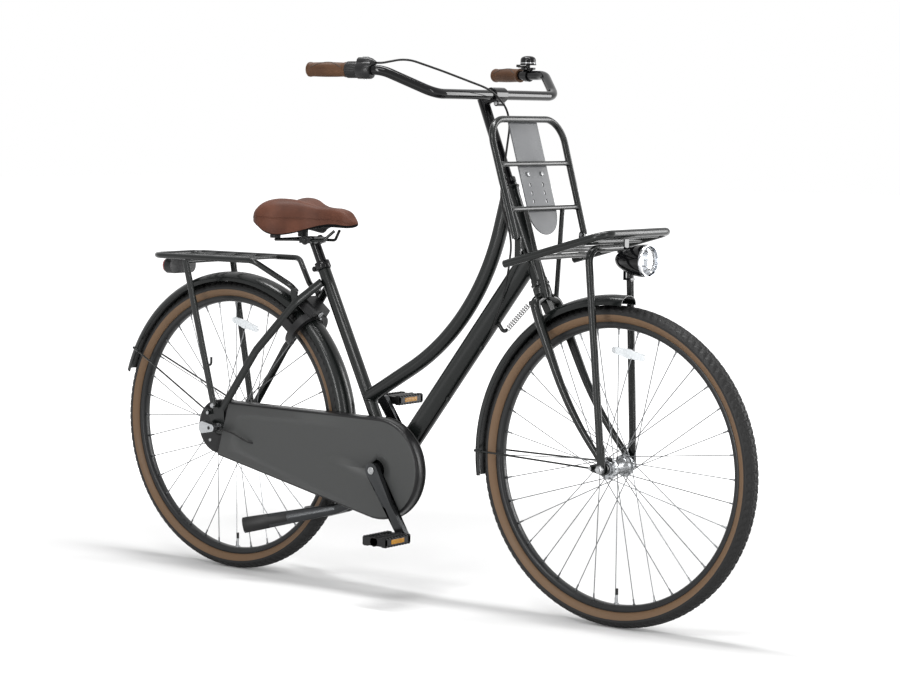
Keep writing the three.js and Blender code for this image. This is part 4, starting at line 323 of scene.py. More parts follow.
def finish_piece(name, bm, looks, body, nodes=(), sharp=38, bevel=0.0, segments=2):
    """A piece without a body is left unattached."""
    bmesh.ops.remove_doubles(bm, verts=bm.verts, dist=2e-6)
    bmesh.ops.recalc_face_normals(bm, faces=bm.faces)
    for face in bm.faces:
        face.smooth = True
    for edge in bm.edges:
        edge.smooth = not (edge.is_manifold and edge.calc_face_angle(0) > math.radians(sharp))
    piece = object_from(name, bm)
    for look in looks if isinstance(looks, list) else [looks]:
        piece.data.materials.append(look)
    if bevel:
        edge_round = piece.modifiers.new("edge round", "BEVEL")
        edge_round.width = bevel / 1000
        edge_round.segments = segments
        edge_round.limit_method = "ANGLE"
        edge_round.angle_limit = math.radians(sharp)
        edge_round.harden_normals = True
        edge_round.use_clamp_overlap = True
    if body:
        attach(piece, body)
    if nodes:
        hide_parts(*nodes)
    print(name, len(piece.data.polygons), "faces")
    return piece


def coloured(bm, index, build, *args, **settings):
    """Builds more of a piece and gives all its new faces one of the piece's materials."""
    old = set(bm.faces)
    build(bm, *args, **settings)
    for face in bm.faces:
        if face not in old:
            face.material_index = index


# %% [markdown]
# Finishes come next. Powder coat is plastic melted onto steel: it has a fine orange peel and a soft sheen. The peel
# with its slow patches and the scuffed edges are effects that many finishes share, so they come from two node groups
# that are built once and set to their own strength in every material.


# %% Shared effects
def set_inputs(node, values):
    for socket, value in values.items():
        node.inputs[socket].default_value = value


def add_node(nodes, kind, values=None, **settings):
    """A shader node with its settings and the values of its inputs."""
    node = nodes.new("ShaderNode" + kind)
    for setting, value in settings.items():
        setattr(node, setting, value)
    set_inputs(node, values or {})
    return node


def new_group(name, inputs, outputs):
    group = bpy.data.node_groups.new(name, "ShaderNodeTree")
    for label, value in inputs:
        socket = group.interface.new_socket(label, in_out="INPUT", socket_type="NodeSocketFloat")
        socket.default_value = value
    for label in outputs:
        group.interface.new_socket(label, in_out="OUTPUT", socket_type="NodeSocketFloat")
    return group, group.nodes.new("NodeGroupInput"), group.nodes.new("NodeGroupOutput")


def make_surface_group():
    """Fine height for a bump and a slow variation for roughness, both laid on the object's own coordinates."""
    group, given, result = new_group(
        "fine surface", [("Grain Size", 900.0), ("Patch Size", 12.0)], ["Height", "Patches"]
    )
    place = add_node(group.nodes, "TexCoord")
    link = group.links.new
    for size, detail, output in (("Grain Size", 2.0, "Height"), ("Patch Size", 3.0, "Patches")):
        noise = add_node(group.nodes, "TexNoise", {"Detail": detail})
        link(place.outputs["Object"], noise.inputs["Vector"])
        link(given.outputs[size], noise.inputs["Scale"])
        link(noise.outputs["Fac"], result.inputs[output])
    return group


def make_edge_group():
    """A mask that is 1 on convex edges, where a coating thins and polishes first."""
    group, given, result = new_group("edge polish", [("Amount", 1.0)], ["Mask"])
    shape = add_node(group.nodes, "NewGeometry")
    ramp = add_node(group.nodes, "MapRange", {"From Min": 0.54, "From Max": 0.66})
    scaled = add_node(group.nodes, "Math", operation="MULTIPLY")
    link = group.links.new
    link(shape.outputs["Pointiness"], ramp.inputs["Value"])
    link(ramp.outputs["Result"], scaled.inputs[0])
    link(given.outputs["Amount"], scaled.inputs[1])
    link(scaled.outputs["Value"], result.inputs["Mask"])
    return group


fine_surface = make_surface_group()
edge_polish = make_edge_group()
print("groups:", fine_surface.name, "and", edge_polish.name)

# %% [markdown]
# A finish is a Principled shader with the shared groups plugged in: the fine height drives a Bump, the slow
# patches move the roughness a little, and the edge mask lightens the colour where hands and straps rub.


# %% A maker for painted, plated and moulded finishes
def new_look(name):
    look = bpy.data.materials.new(name)
    look.use_nodes = True
    nodes = look.node_tree.nodes
    return look, nodes, look.node_tree.links.new, nodes["Principled BSDF"]


def finish(
    name, colour, rough, metal=0.0, coat=0.0, grain=900.0, bump=0.1, depth=0.00005,
    vary=0.06, edge=0.0, patch=14.0, tone=0.12, shine=0.5,
):
    look, nodes, link, shader = new_look(name)
    set_inputs(shader, {"Metallic": metal, "Coat Weight": coat, "Coat Roughness": 0.08, "Specular IOR Level": shine})
    surface = add_node(nodes, "Group", {"Grain Size": grain, "Patch Size": patch}, node_tree=fine_surface)
    dark, light = [tuple(c * k for c in colour) + (1,) for k in (1 - tone, 1 + tone)]
    tint = add_node(nodes, "Mix", {"A": dark, "B": light}, data_type="RGBA")
    link(surface.outputs["Patches"], tint.inputs["Factor"])
    worn = add_node(nodes, "Group", {"Amount": edge}, node_tree=edge_polish)
    bared = tuple(min(1, c * 2.2 + 0.01) for c in colour) + (1,)
    polished = add_node(nodes, "Mix", {"B": bared}, data_type="RGBA")
    link(worn.outputs["Mask"], polished.inputs["Factor"])
    link(tint.outputs["Result"], polished.inputs["A"])
    link(polished.outputs["Result"], shader.inputs["Base Color"])
    span = {"From Min": 0.3, "From Max": 0.7, "To Min": rough - vary, "To Max": rough + vary}
    roughness = add_node(nodes, "MapRange", span)
    link(surface.outputs["Patches"], roughness.inputs["Value"])
    link(roughness.outputs["Result"], shader.inputs["Roughness"])
    relief = add_node(nodes, "Bump", {"Strength": bump, "Distance": depth})
    link(surface.outputs["Height"], relief.inputs["Height"])
    link(relief.outputs["Normal"], shader.inputs["Normal"])
    return look


MOULD_GRAIN = 0.00008
satin_black = finish(
    "satin black powder coat", (0.0044, 0.0056, 0.0053), 0.23,
    grain=1400, bump=0.08, vary=0.04, edge=0.2, shine=0.32,
)
gloss_black = finish(
    "gloss black enamel", (0.003, 0.003, 0.0035), 0.11,
    coat=0.08, grain=500, bump=0.04, vary=0.03, edge=0.1, shine=0.2,
)
case_grey = finish(
    "chain case plastic", (0.043, 0.0445, 0.044), 0.42,
    grain=2600, bump=0.4, depth=MOULD_GRAIN, vary=0.05, tone=0.05, shine=0.3,
)
black_plastic = finish(
    "moulded black plastic", (0.0065, 0.0065, 0.007), 0.36,
    grain=2200, bump=0.4, depth=MOULD_GRAIN, edge=0.2, shine=0.26,
)
plate_grey = finish(
    "grey plate coat", (0.118, 0.122, 0.128), 0.42,
    grain=1800, bump=0.3, vary=0.05, tone=0.05, shine=0.3,
)
silver = finish(
    "satin silver alloy", (0.36, 0.37, 0.38), 0.3,
    metal=1.0, grain=700, bump=0.2, vary=0.08, tone=0.2, patch=40,
)
bright_chrome = finish(
    "bright chrome", (0.62, 0.63, 0.65), 0.09,
    metal=1.0, grain=60, bump=0.02, vary=0.03, tone=0.05,
)
zinc_steel = finish(
    "zinc plated steel", (0.33, 0.335, 0.34), 0.34,
    metal=1.0, grain=500, bump=0.3, vary=0.1, tone=0.2, patch=60,
)
gunmetal = finish(
    "gunmetal coat", (0.03, 0.0315, 0.033), 0.22,
    metal=0.75, grain=1400, bump=0.2, edge=0.3,
)
matte_black = finish(
    "matte black moulding", (0.0055, 0.0055, 0.006), 0.75,
    grain=1800, bump=0.3, depth=MOULD_GRAIN, shine=0.03,
)
rim_black = finish(
    "black rim coat", (0.009, 0.0095, 0.010), 0.32,
    grain=1500, bump=0.15, edge=0.2, shine=0.28,
)
tread_rubber = finish(
    "tread rubber", (0.006, 0.006, 0.006), 0.55,
    grain=1900, bump=0.6, depth=0.0001, vary=0.08, tone=0.25, shine=0.3,
)
soft_rubber = finish(
    "soft black rubber", (0.006, 0.006, 0.006), 0.45,
    grain=1500, bump=0.3, depth=MOULD_GRAIN, shine=0.26,
)
amber = finish("amber reflector", (0.42, 0.19, 0.004), 0.2, coat=0.2, grain=300, tone=0.25, shine=0.3)
white_reflector = finish("white reflector", (0.70, 0.73, 0.75), 0.22, coat=0.7, grain=300, tone=0.06)
red_lens = finish("red lens", (0.22, 0.006, 0.006), 0.16, coat=1.0, grain=300, tone=0.25)
spoke_steel = finish("spoke steel", (0.17, 0.175, 0.18), 0.36, metal=1.0, tone=0.15)
print("finishes:", len(bpy.data.materials))

# %% [markdown]
# The sidewall of the tyre is a plain tan skin over the casing. The leather look of the saddle and grips needs a
# pattern of its own: a pebbled surface with darker, rubbed patches, which cells of a Voronoi texture give better
# than plain noise does.


# %% Tan sidewall and brown leather
def brown_leather(name, colour, rubbed, rough):
    look, nodes, link, shader = new_look(name)
    set_inputs(shader, {"Specular IOR Level": 0.16, "Coat Roughness": 0.25})
    place = add_node(nodes, "TexCoord")
    pebbles = add_node(nodes, "TexVoronoi", {"Scale": 620})
    creases = add_node(nodes, "TexNoise", {"Scale": 160, "Detail": 5})
    rub = add_node(nodes, "TexNoise", {"Scale": 16, "Detail": 4})
    for texture in (pebbles, creases, rub):
        link(place.outputs["Object"], texture.inputs["Vector"])
    tint = add_node(nodes, "Mix", {"A": (*colour, 1), "B": (*rubbed, 1)}, data_type="RGBA")
    spread = add_node(nodes, "MapRange", {"From Min": 0.35, "From Max": 0.7})
    link(rub.outputs["Fac"], spread.inputs["Value"])
    link(spread.outputs["Result"], tint.inputs["Factor"])
    link(tint.outputs["Result"], shader.inputs["Base Color"])
    sheen = add_node(nodes, "MapRange", {"To Min": rough - 0.08, "To Max": rough + 0.1})
    link(rub.outputs["Fac"], sheen.inputs["Value"])
    link(sheen.outputs["Result"], shader.inputs["Roughness"])
    height = add_node(nodes, "Math", {1: 0.6}, operation="MULTIPLY_ADD")
    link(creases.outputs["Fac"], height.inputs[0])
    link(pebbles.outputs["Distance"], height.inputs[2])
    relief = add_node(nodes, "Bump", {"Strength": 0.27, "Distance": 0.00025})
    link(height.outputs["Value"], relief.inputs["Height"])
    link(relief.outputs["Normal"], shader.inputs["Normal"])
    return look


sidewall_tan = finish(
    "tan sidewall", (0.112, 0.062, 0.028), 0.62,
    grain=1500, bump=0.35, depth=MOULD_GRAIN, tone=0.14, patch=9,
)
saddle_brown = brown_leather("saddle leather", (0.050, 0.017, 0.0095), (0.098, 0.036, 0.021), 0.5)
grip_brown = brown_leather("grip leather", (0.048, 0.021, 0.0095), (0.088, 0.042, 0.02), 0.5)
thread = finish("dark stitching", (0.02, 0.015, 0.012), 0.7, grain=3000, bump=0.5, tone=0.2)
print("patterned finishes ready")

# %% [markdown]
# The headlight lens is moulded clear plastic. Light has to pass into it and out again, so its transmission is
# plain and set on the shader itself, with a refractive index a little under that of glass.


# %% Clear lens
lens_clear, _, _, clear_shader = new_look("clear lens")
set_inputs(
    clear_shader, {"Base Color": (0.96, 0.98, 1.0, 1), "Roughness": 0.03, "Transmission Weight": 1.0, "IOR": 1.47}
)
print("lens ready")

# %% [markdown]
# The wheels come first because they fill half the picture. A city tyre has a black tread with slanting grooves
# and a tan wall. Its section is drawn once as a row of edges and spun round the hub. The grooves are then
# pressed in by moving the tread's own vertices towards the hub wherever the groove pattern runs.


# %% Tyres
WALL, TREAD = 0, 1
TYRE_SECTION = [
    (310.5, 11.2), (316, 11.4), (318.2, 12.4), (319.2, 14.6), (322, 17.6), (326, 20.3), (330, 21.9), (334, 22.4),
    (337.5, 22.2), (338.5, 22.6), (341, 21.8), (343.5, 20.6), (346, 19.0), (348.2, 16.6),
    (350.0, 13.8), (351.5, 10.6),
    (352.7, 7.2), (353.4, 3.6), (AXLE_HEIGHT, 0),
]
TYRE_STEPS = 720
TREAD_EDGE, GROOVES_FROM = 335.5, 340.5


def groove_depth(turn, left):
    """How far the tread lies below its crown here, in millimetres."""
    side = 1 if left >= 0 else -1
    across = abs(left)
    pitch = math.tau / 120
    if across < 1.3:
        return 1.5
    slant = (turn + side * pitch / 4 + across * 0.0016) % pitch / pitch
    if 7.4 < across < 8.8 or 14.6 < across < 15.6:
        return 1.1
    return 1.9 if slant < 0.34 and across < 21.5 else 0.0


def make_tyre(name, hub, body, node):
    bm = bmesh.new()
    section = TYRE_SECTION + [(r, -y) for r, y in reversed(TYRE_SECTION[:-1])]
    fine = []
    for (r0, y0), (r1, y1) in zip(section, section[1:]):
        parts = 3 if min(r0, r1) > 340 else 1  # the tread is finer, so that its grooves have clean walls
        fine += [(r0 + (r1 - r0) * i / parts, y0 + (y1 - y0) * i / parts) for i in range(parts)]
    fine += [section[-1], section[0]]
    lathe(bm, fine, hub, LEFT, TYRE_STEPS)
    for face in bm.faces:
        out = face.calc_center_median() - hub
        face.material_index = TREAD if math.hypot(out.x, out.z) * 1000 > TREAD_EDGE else WALL
    for vert in bm.verts:
        out = vert.co - hub
        radius = math.hypot(out.x, out.z)
        if radius * 1000 > GROOVES_FROM:
            shift = groove_depth(math.atan2(out.z, out.x) % math.tau, out.y * 1000) / 1000
            vert.co -= Vector((out.x, 0, out.z)) / radius * shift
    finish_piece(name, bm, [sidewall_tan, tread_rubber], body, [node], sharp=30)


make_tyre("tyre_rear", REAR_HUB, "rear_wheel", "rear_tyre")
make_tyre("tyre_front", FRONT_HUB, "front_wheel", "front_tyre")

# %% [markdown]
# The rim is a rolled aluminium section with a hollow well, coated black. It has an eyelet at every spoke and a
# hole for the valve, so small silver ferrules sit on its inner face where the nipples come through.


# %% Rims
def make_rim(name, hub, body, node):
    bm = bmesh.new()
    half = [
        (303, 0), (303.2, 5), (304.2, 8.4), (306.4, 11.4), (309, 13), (312, 13.4), (317.3, 13.4), (317.8, 13),
        (317.8, 12), (316.4, 11.7), (310.2, 11.7), (310, 10), (308.6, 6), (308.6, 0),
    ]
    section = half + [(r, -y) for r, y in reversed(half[1:-1])] + [half[0]]
    lathe(bm, section, hub, LEFT, 180)
    finish_piece(name, bm, rim_black, body, [node], sharp=40)


make_rim("rim_rear", REAR_HUB, "rear_wheel", "rear_rim")
make_rim("rim_front", FRONT_HUB, "front_wheel", "front_rim")

# %% [markdown]
# Thirty-six spokes lace each wheel. Each one leaves the flange at a tangent, crosses three others and enters its
# nipple, alternately from the inside and the outside of the flange. One spoke is turned as a thin bar with a
# nipple and a head, and the lacing rule places it thirty-six times.


# %% Hubs and laced spokes
DARK, WHITE, SPOKE = 1, 2, 3
SPOKES_A_SIDE = 18


def add_spoke(bm, head, nipple, flange_side):
    run = (nipple - head).normalized()
    bar(bm, head, nipple, 1.1, 6)
    bar(bm, nipple - run * 0.013, nipple + run * 0.0005, 1.9, 8)
    bar(bm, nipple - run * 0.0025, nipple + run * 0.0012, 3.0, 8)
    bar(bm, head - LEFT * 0.0016 * flange_side, head + LEFT * 0.0016 * flange_side, 1.9, 8)


def add_lacing(bm, hub, circle_radius):
    for side in SIDES:
        shift = 10 if side > 0 else 0
        for i in range(SPOKES_A_SIDE):
            way = -1 if i % 2 else 1
            head = round_hub(hub, circle_radius, i * 20 + shift, side * (31.5 + way * 1.8))
            nipple = round_hub(hub, 302.6, i * 20 + shift + way * 60, side * (2.5 + way * 1.1))
            add_spoke(bm, head, nipple, side * way)


def add_valve(bm, hub, degrees):
    bar(bm, round_hub(hub, 304, degrees), round_hub(hub, 300, degrees), 5.2, 16)
    bar(bm, round_hub(hub, 301, degrees), round_hub(hub, 276, degrees), 2.6, 12)
    coloured(bm, DARK, bar, round_hub(hub, 282, degrees), round_hub(hub, 268, degrees), 3.4, 12)


def add_reflector(bm, hub, degrees, slant):
    """A slim bar clipped across two spokes, with moulded ribs on its face."""
    centre = round_hub(hub, 252, degrees, -5.2)
    place = Matrix.Translation(centre) @ STOOD_UP @ Matrix.Rotation(math.radians(slant), 4, "Z")
    ends = arcs(
        ((36, 0), 7.6, -80, 80, 8), ((0, -30), 40.6, 75, 105, 8),
        ((-36, 0), 7.6, 100, 260, 8), ((0, 30), 40.6, 255, 285, 8),
    )
    plate(bm, ends, place @ Matrix.Translation((0, 0, -0.0025)), 5)
    for x in range(-32, 33, 8):
        rib = [(x - 2.4, -6.4), (x + 2.4, -6.4), (x + 2.4, 6.4), (x - 2.4, 6.4)]
        plate(bm, rib, place @ Matrix.Translation((0, 0, 0.0022)), 0.9)


def make_hub(name, hub, body, node, shell, circle_radius, reflector, valve_turn):
    bm = bmesh.new()
    lathe(bm, shell, hub, LEFT, 48)
    for side in SIDES:
        for i in range(SPOKES_A_SIDE):
            spot = round_hub(hub, circle_radius, i * 20 + (10 if side > 0 else 0), side * 31.5)
            bar(bm, spot - LEFT * 0.0021, spot + LEFT * 0.0021, 1.5, 8)
    coloured(bm, SPOKE, add_lacing, hub, circle_radius)
    add_valve(bm, hub, valve_turn)
    coloured(bm, WHITE, add_reflector, hub, *reflector)
    finish_piece(name, bm, [silver, black_plastic, white_reflector, spoke_steel], body, [node], sharp=40)


REAR_SHELL = [
    (5.2, -34), (13.5, -34), (14, -33.4), (14, -33.1), (35.4, -33.1), (36, -32.6), (36, -30.4),
    (35.4, -29.9), (30, -29.9), (27, -26),
    (24.5, -20), (23.5, 0), (24.5, 20), (27, 26), (30, 29.9), (35.4, 29.9), (36, 30.4), (36, 32.6), (35.4, 33.1),
    (27, 33.1), (27, 37), (25, 38.5), (14, 39.5), (14, 46.4), (13.4, 47), (5.2, 47), (5.2, -34),
]
FRONT_SHELL = [
    (5.2, -44), (13.4, -44), (14, -43.4), (14, -36), (16, -33.1), (24.4, -33.1), (25, -32.6),
    (25, -30.4), (24.4, -29.9), (19, -29.9),
    (15, -26), (12.6, -20), (11.8, 0), (12.6, 20), (15, 26), (19, 29.9), (24.4, 29.9), (25, 30.4),
    (25, 32.6), (24.4, 33.1),
    (16, 33.1), (14, 36), (14, 43.4), (13.4, 44), (5.2, 44), (5.2, -44),
]
make_hub("hub_rear", REAR_HUB, "rear_wheel", "rear_hub", REAR_SHELL, 32, (82, -15), -88.6)
make_hub("hub_front", FRONT_HUB, "front_wheel", "front_hub", FRONT_SHELL, 21.5, (83, -10), -88.8)


# %% [markdown]
# The frame is welded from drawn steel tube. Where one tube meets another, the welder leaves a small rippled bead
# that follows the line where the two surfaces cross. That line is found by walking round the branch tube and
# asking how far each of its edges runs before it touches the main tube, and a thin rippled pipe is laid on it.


# %% Weld beads
DOWN_TOP = on_head(0, 0, 505)
DOWN_UP = (DOWN_TOP - BRACKET).normalized()
DOWN_UNDER = Vector((DOWN_UP.z, 0, -DOWN_UP.x))
SEAT_BACK = Vector((-SEAT_UP.z, 0, SEAT_UP.x))


def weld(bm, start, way, radius, main, main_way, main_radius, bead=2.1, steps=72):
    first = way.orthogonal().normalized()
    second = way.cross(first)
    flat_way = way - main_way * way.dot(main_way)
    path = []
    for i in range(steps + 1):
        turn = math.tau * i / steps
        edge = start + (first * math.cos(turn) + second * math.sin(turn)) * radius / 1000
        off = edge - main
        off -= main_way * off.dot(main_way)
        a, b = flat_way.dot(flat_way), off.dot(flat_way)
        left_over = max(0.0, b * b - a * (off.dot(off) - (main_radius / 1000) ** 2))
        path.append(edge + way * (-b - math.sqrt(left_over)) / a)
    extrude_through(bm, circle(bm, bead, 8), stations(path, size=lambda s: (1 + 0.14 * math.sin(s * 190),) * 2))


print("down tube leans", round(math.degrees(math.asin(DOWN_UP.z)), 1), "degrees")

# %% [markdown]
# The head tube holds the two headset cups, which are pressed into its flared ends. Turning the whole section at
# once keeps cups and tube in line, as reaming and facing do in the workshop.


# %% Head tube
def make_head_tube():
    bm = bmesh.new()
    profile = [
        (15.1, 436), (20, 436), (21, 437), (21, 440.6), (20.2, 441.6), (18.5, 442), (18.5, 450),
        (17.2, 453), (17.2, 653),
        (18.5, 656), (18.5, 664), (20.2, 664.4), (21, 665.4), (21, 669), (20, 670), (15.1, 670), (15.1, 436),
    ]
    lathe(bm, profile, on_head(0, 0, 0), HEAD_UP, 64)
    weld(bm, BRACKET, DOWN_UP, 24, on_head(0, 0, 0), HEAD_UP, 17.2, bead=2.4)
    top_end = on_head(0, 0, 669)
    way = (top_end - at(745, 0, 646)).normalized()
    weld(bm, top_end - way * 0.12, way, 16.6, on_head(0, 0, 0), HEAD_UP, 17.4, bead=2.2)
    finish_piece("head_tube_and_cups", bm, satin_black, "frame", ["head_tube"])


make_head_tube()

# %% [markdown]
# A low-entry frame gets its stiffness from one thick down tube, while the top tube is bent in a wide arc so that
# the rider can step through. The down tube carries the cable clips and the short post that anchors the steering
# spring. The seat tube is slit at the top so that its collar can grip the seat post.


# %% Down tube, top tube and seat tube
SPRING_ANCHOR = BRACKET + (DOWN_UP * 465 + DOWN_UNDER * 49) / 1000
SPRING_LUG = on_head(-42, 0, 409)
SPRING_WAY = (SPRING_LUG - SPRING_ANCHOR).normalized()
DOWN_LENGTH = (DOWN_TOP - BRACKET).length * 1000
CLIP_PLACES = [DOWN_LENGTH * share for share in (0.616, 0.374, 0.125)]


def on_down_tube(along):
    under = math.sqrt((25 + 2.4 + 0.3) ** 2 - 9**2)
    return BRACKET + (DOWN_UP * along + DOWN_UNDER * under - LEFT * 9) / 1000


def make_down_tube():
    bm = bmesh.new()
    pipe(bm, [BRACKET + DOWN_UP * 0.012, DOWN_TOP - DOWN_UP * 0.006], 25, sides=64)
    weld(bm, DOWN_TOP, -DOWN_UP, 24.4, BRACKET, LEFT, 21)
    for along in CLIP_PLACES:
        ring(bm, on_down_tube(along), DOWN_UP, 2.6, 4.6, -5, 5, 20)
        ring(bm, on_down_tube(along), DOWN_UP, 4.2, 4.9, -1.2, 1.2, 20)
    root = BRACKET + (DOWN_UP * 465 + DOWN_UNDER * 18) / 1000
    foot = SPRING_ANCHOR - SPRING_WAY * 0.008
    pipe(bm, [root, foot, SPRING_ANCHOR], 4.5, bend=9, steps=8, sides=20)
    weld(bm, foot, (root - foot).normalized(), 4.5, BRACKET, DOWN_UP, 25, bead=1.4)
    finish_piece("down_tube_with_clips", bm, satin_black, "frame", ["down_tube"])


def make_top_tube():
    bm = bmesh.new()
    start = BRACKET + SEAT_UP * 0.176
    path = bent([start, at(745, 0, 646), on_head(0, 0, 669)], 555, 40)
    last = path[-1] - (path[-1] - path[-2]).normalized() * 0.006
    extrude_through(bm, circle(bm, 17, 56), stations(path[:-1] + [last], LEFT))
    way = (start - path[1]).normalized()
    weld(bm, start - way * 0.12, way, 16.6, BRACKET, SEAT_UP, 15.2)
    finish_piece("top_tube", bm, satin_black, "frame", ["top_tube"])


def make_seat_tube():
    bm = bmesh.new()
    length = (SEAT_TOP - BRACKET).length * 1000
    profile = [
        (0, 14), (15, 14), (15, length - 0.6), (14.6, length), (12.8, length), (12.8, length - 40),
        (0, length - 42),
    ]
    lathe(bm, profile, BRACKET, SEAT_UP, 56)
    weld(bm, SEAT_TOP, -SEAT_UP, 15, BRACKET, LEFT, 21)
    finish_piece("seat_tube", bm, satin_black, "frame", ["seat_tube"])


make_down_tube()
make_top_tube()
make_seat_tube()

# %% [markdown]
# The bracket shell is a short thick tube bored for a cartridge bearing, whose steel cup shows a ring of tool
# notches. The collar below the seat post is a split band with a bolt through two ears behind the tube.


# %% Bracket shell, bearing and seat collar
def make_shell():
    bm = bmesh.new()
    lathe(
        bm, [(17.3, -35), (20.6, -35), (21, -34.6), (21, 34.6), (20.6, 35), (17.3, 35), (17.3, -35)], BRACKET,
        LEFT, 64,
    )
    finish_piece("bracket_shell", bm, satin_black, "frame", ["bottom_bracket_shell"])


def make_collar():
    bm = bmesh.new()
    lathe(
        bm,
        [(15.3, -18), (17.9, -18), (18.5, -17.2), (18.5, -0.8), (17.9, 0), (15.3, 0), (15.3, -18)],
        SEAT_TOP, SEAT_UP, 56,
    )
    for side in SIDES:
        middle = SEAT_TOP - SEAT_UP * 0.009 + SEAT_BACK * 0.0205
        bar(bm, middle + LEFT * side * 0.0016, middle + LEFT * side * 0.0105, 6.6, 28)
        bar(bm, middle + LEFT * side * 0.0104, middle + LEFT * side * 0.0121, 4.3, 6)
    bar(bm, middle - LEFT * 0.002, middle + LEFT * 0.002, 2.5, 12)
    finish_piece("seat_collar", bm, gloss_black, "frame", ["seat_clamp"])


make_shell()
make_collar()

# %% [markdown]
# The chain stays and seat stays are slimmer tubes, flattened from the side so that the tyre and the chain case
# fit between them. They end at plates cut from 5 mm sheet, which hold the axle and the eyelets for carrier and
# fender. One plate drawing serves both sides.


# %% Stays and axle plates
def on_stay_line(ahead):
    return AXLE_HEIGHT + (BRACKET_UP - AXLE_HEIGHT) * ahead / BRACKET_AHEAD


def plate_outline(to_ahead, to_up, end_radius, radius=17.0):
    return belt((to_ahead, AXLE_HEIGHT + to_up), end_radius, (0, AXLE_HEIGHT), radius, 12)


def add_axle_plate(bm, side):
    face = 62 if side > 0 else -57
    arms = [(64, on_stay_line(64) - AXLE_HEIGHT, 9), (9, 44.351, 8), (-12, 52, 8), (-29, 33, 8)]
    for shift, (ahead, up, radius) in enumerate(arms):
        plate(bm, plate_outline(ahead, up, radius), flat_side(face - 0.02 * shift), 5 - 0.04 * shift)
    for ahead, up in ((-12, 52), (-29, 33)):
        spot = at(ahead, side * 59.5, AXLE_HEIGHT + up)
        bar(bm, spot - LEFT * 0.0036, spot + LEFT * 0.0036, 5.4, 24)
        outer = at(ahead, side * 63, AXLE_HEIGHT + up)
        bar(bm, outer, outer + LEFT * side * 0.003, 4.6, 6)


def make_chain_stay(side, name, node):
    bm = bmesh.new()
    corners = [
        at(BRACKET_AHEAD, side * 25, BRACKET_UP), at(362, side * 41, on_stay_line(362)),
        at(64, side * 51, on_stay_line(64)),
    ]
    corners[0] = corners[0].lerp(corners[1], 0.12)
    strap(bm, corners, oval(7.5, 9), bend=70, steps=14, side=LEFT)
    way = (corners[0] - corners[1]).normalized()
    weld(bm, corners[0] - way * 0.05, way, 7.8, BRACKET, LEFT, 21, bead=1.8)
    add_axle_plate(bm, side)
    finish_piece(name, bm, satin_black, "frame", [node], bevel=0.5)


def make_seat_stay(side, name, node):
    bm = bmesh.new()
    corners = [at(290, side * 17, 719), at(232, side * 44.5, 668), at(115, side * 54, 548), at(9, side * 59.5, 398)]
    strap(bm, corners, oval(7.5, 10.5), bend=70, steps=14, side=LEFT, size=lambda s: (1 - 0.4 * s, 1))
    lug = belt((226, 694), 9, (232, 668), 9.5, 12)
    plate(bm, lug, flat_side(side * 42.3 + (4 if side > 0 else 0)), 4)
    finish_piece(name, bm, satin_black, "frame", [node], bevel=0.4)


make_chain_stay(-1, "chain_stay_right", "right_chain_stay")
make_chain_stay(1, "chain_stay_left", "left_chain_stay")
make_seat_stay(-1, "seat_stay_right", "right_seat_stay")
make_seat_stay(1, "seat_stay_left", "left_seat_stay")

# %% [markdown]
# The back-pedal brake pushes against the frame through a flat steel arm on the left. The axle has a thread, a
# washer and a nut on each side. A hexagonal nut is a short bar with six sides whose corners are turned away at
# both faces, and that chamfer is what makes a nut look like a nut.


# %% Brake arm, axles and nuts
def add_nut(bm, spot, way, radius, height, washer=0.0):
    if washer:
        bar(bm, spot, spot + way * 0.0014, washer, 32)
    low = spot + way * 0.0014
    profile = [
        (0, 0), (radius * 0.9, 0), (radius, 0.9), (radius, height - 2.2), (radius * 0.86, height - 1.4),
        (0, height - 1.4),
    ]
    lathe(bm, profile, low, way, 6)


def make_brake_arm():
    bm = bmesh.new()
    plate(bm, belt((150, 327.649), 8, (0, AXLE_HEIGHT), 16, 14), flat_side(51.2), 3)
    bolt = at(150, 51.2, 327.649)
    bar(bm, bolt, bolt + LEFT * 0.003, 4.6, 6)
    finish_piece("brake_arm", bm, gloss_black, "frame", ["coaster_brake_arm"], bevel=0.3)


def add_axle(bm, hub, outer):
    reach = (outer + 11) / 1000
    bar(bm, hub - LEFT * reach, hub + LEFT * reach, 4.9, 28)
    for step in range(7):
        for side in SIDES:
            ring(bm, hub + LEFT * side * (outer + 8.4 + step * 0.38) / 1000, LEFT, 4.4, 4.95, 0, 0.16, 24)
    for side in SIDES:
        add_nut(bm, hub + LEFT * side * outer / 1000, LEFT * side, 9.5, 8, 9.6)


def make_axles():
    rear = (REAR_HUB, 62.3, (-56.7, -50.6), (51.5, 56.7), "rear_axle", "frame")
    front = (FRONT_HUB, 62.6, (-49.7, -44.6), (44.6, 49.7), "front_axle", "steering")
    for hub, outer, right_spacer, left_spacer, node, body in (rear, front):
        bm = bmesh.new()
        add_axle(bm, hub, outer)
        for low, high in (right_spacer, left_spacer):
            ring(bm, hub, LEFT, 5, 8, low, high, 28)
        finish_piece(node + "_and_nuts", bm, zinc_steel, body, [node])


make_brake_arm()
make_axles()

# %% [markdown]
# A fender is rolled from thin sheet: a shallow arch across, with its edges curled in so that they don't cut.
# The same section serves both wheels. It is laid on the arc of the fender, and wire stays reach from its edge
# down to the eyelets of the axle plates.


# %% Fenders
FENDER_RADIUS, FENDER_EDGE = 377, 355.6
FENDER_OUTER = [(29, 22), (28.6, 18.5), (27, 13.4), (24.4, 9.2), (20, 5.6), (13, 2.2), (6, 0.5), (0, 0)]


def fender_section():
    outer = FENDER_OUTER + [(-a, b) for a, b in reversed(FENDER_OUTER[:-1])]
    inner = [(a * 27.4 / 29, b * 20.4 / 22 + 1.6) for a, b in reversed(outer)]
    return outer + inner


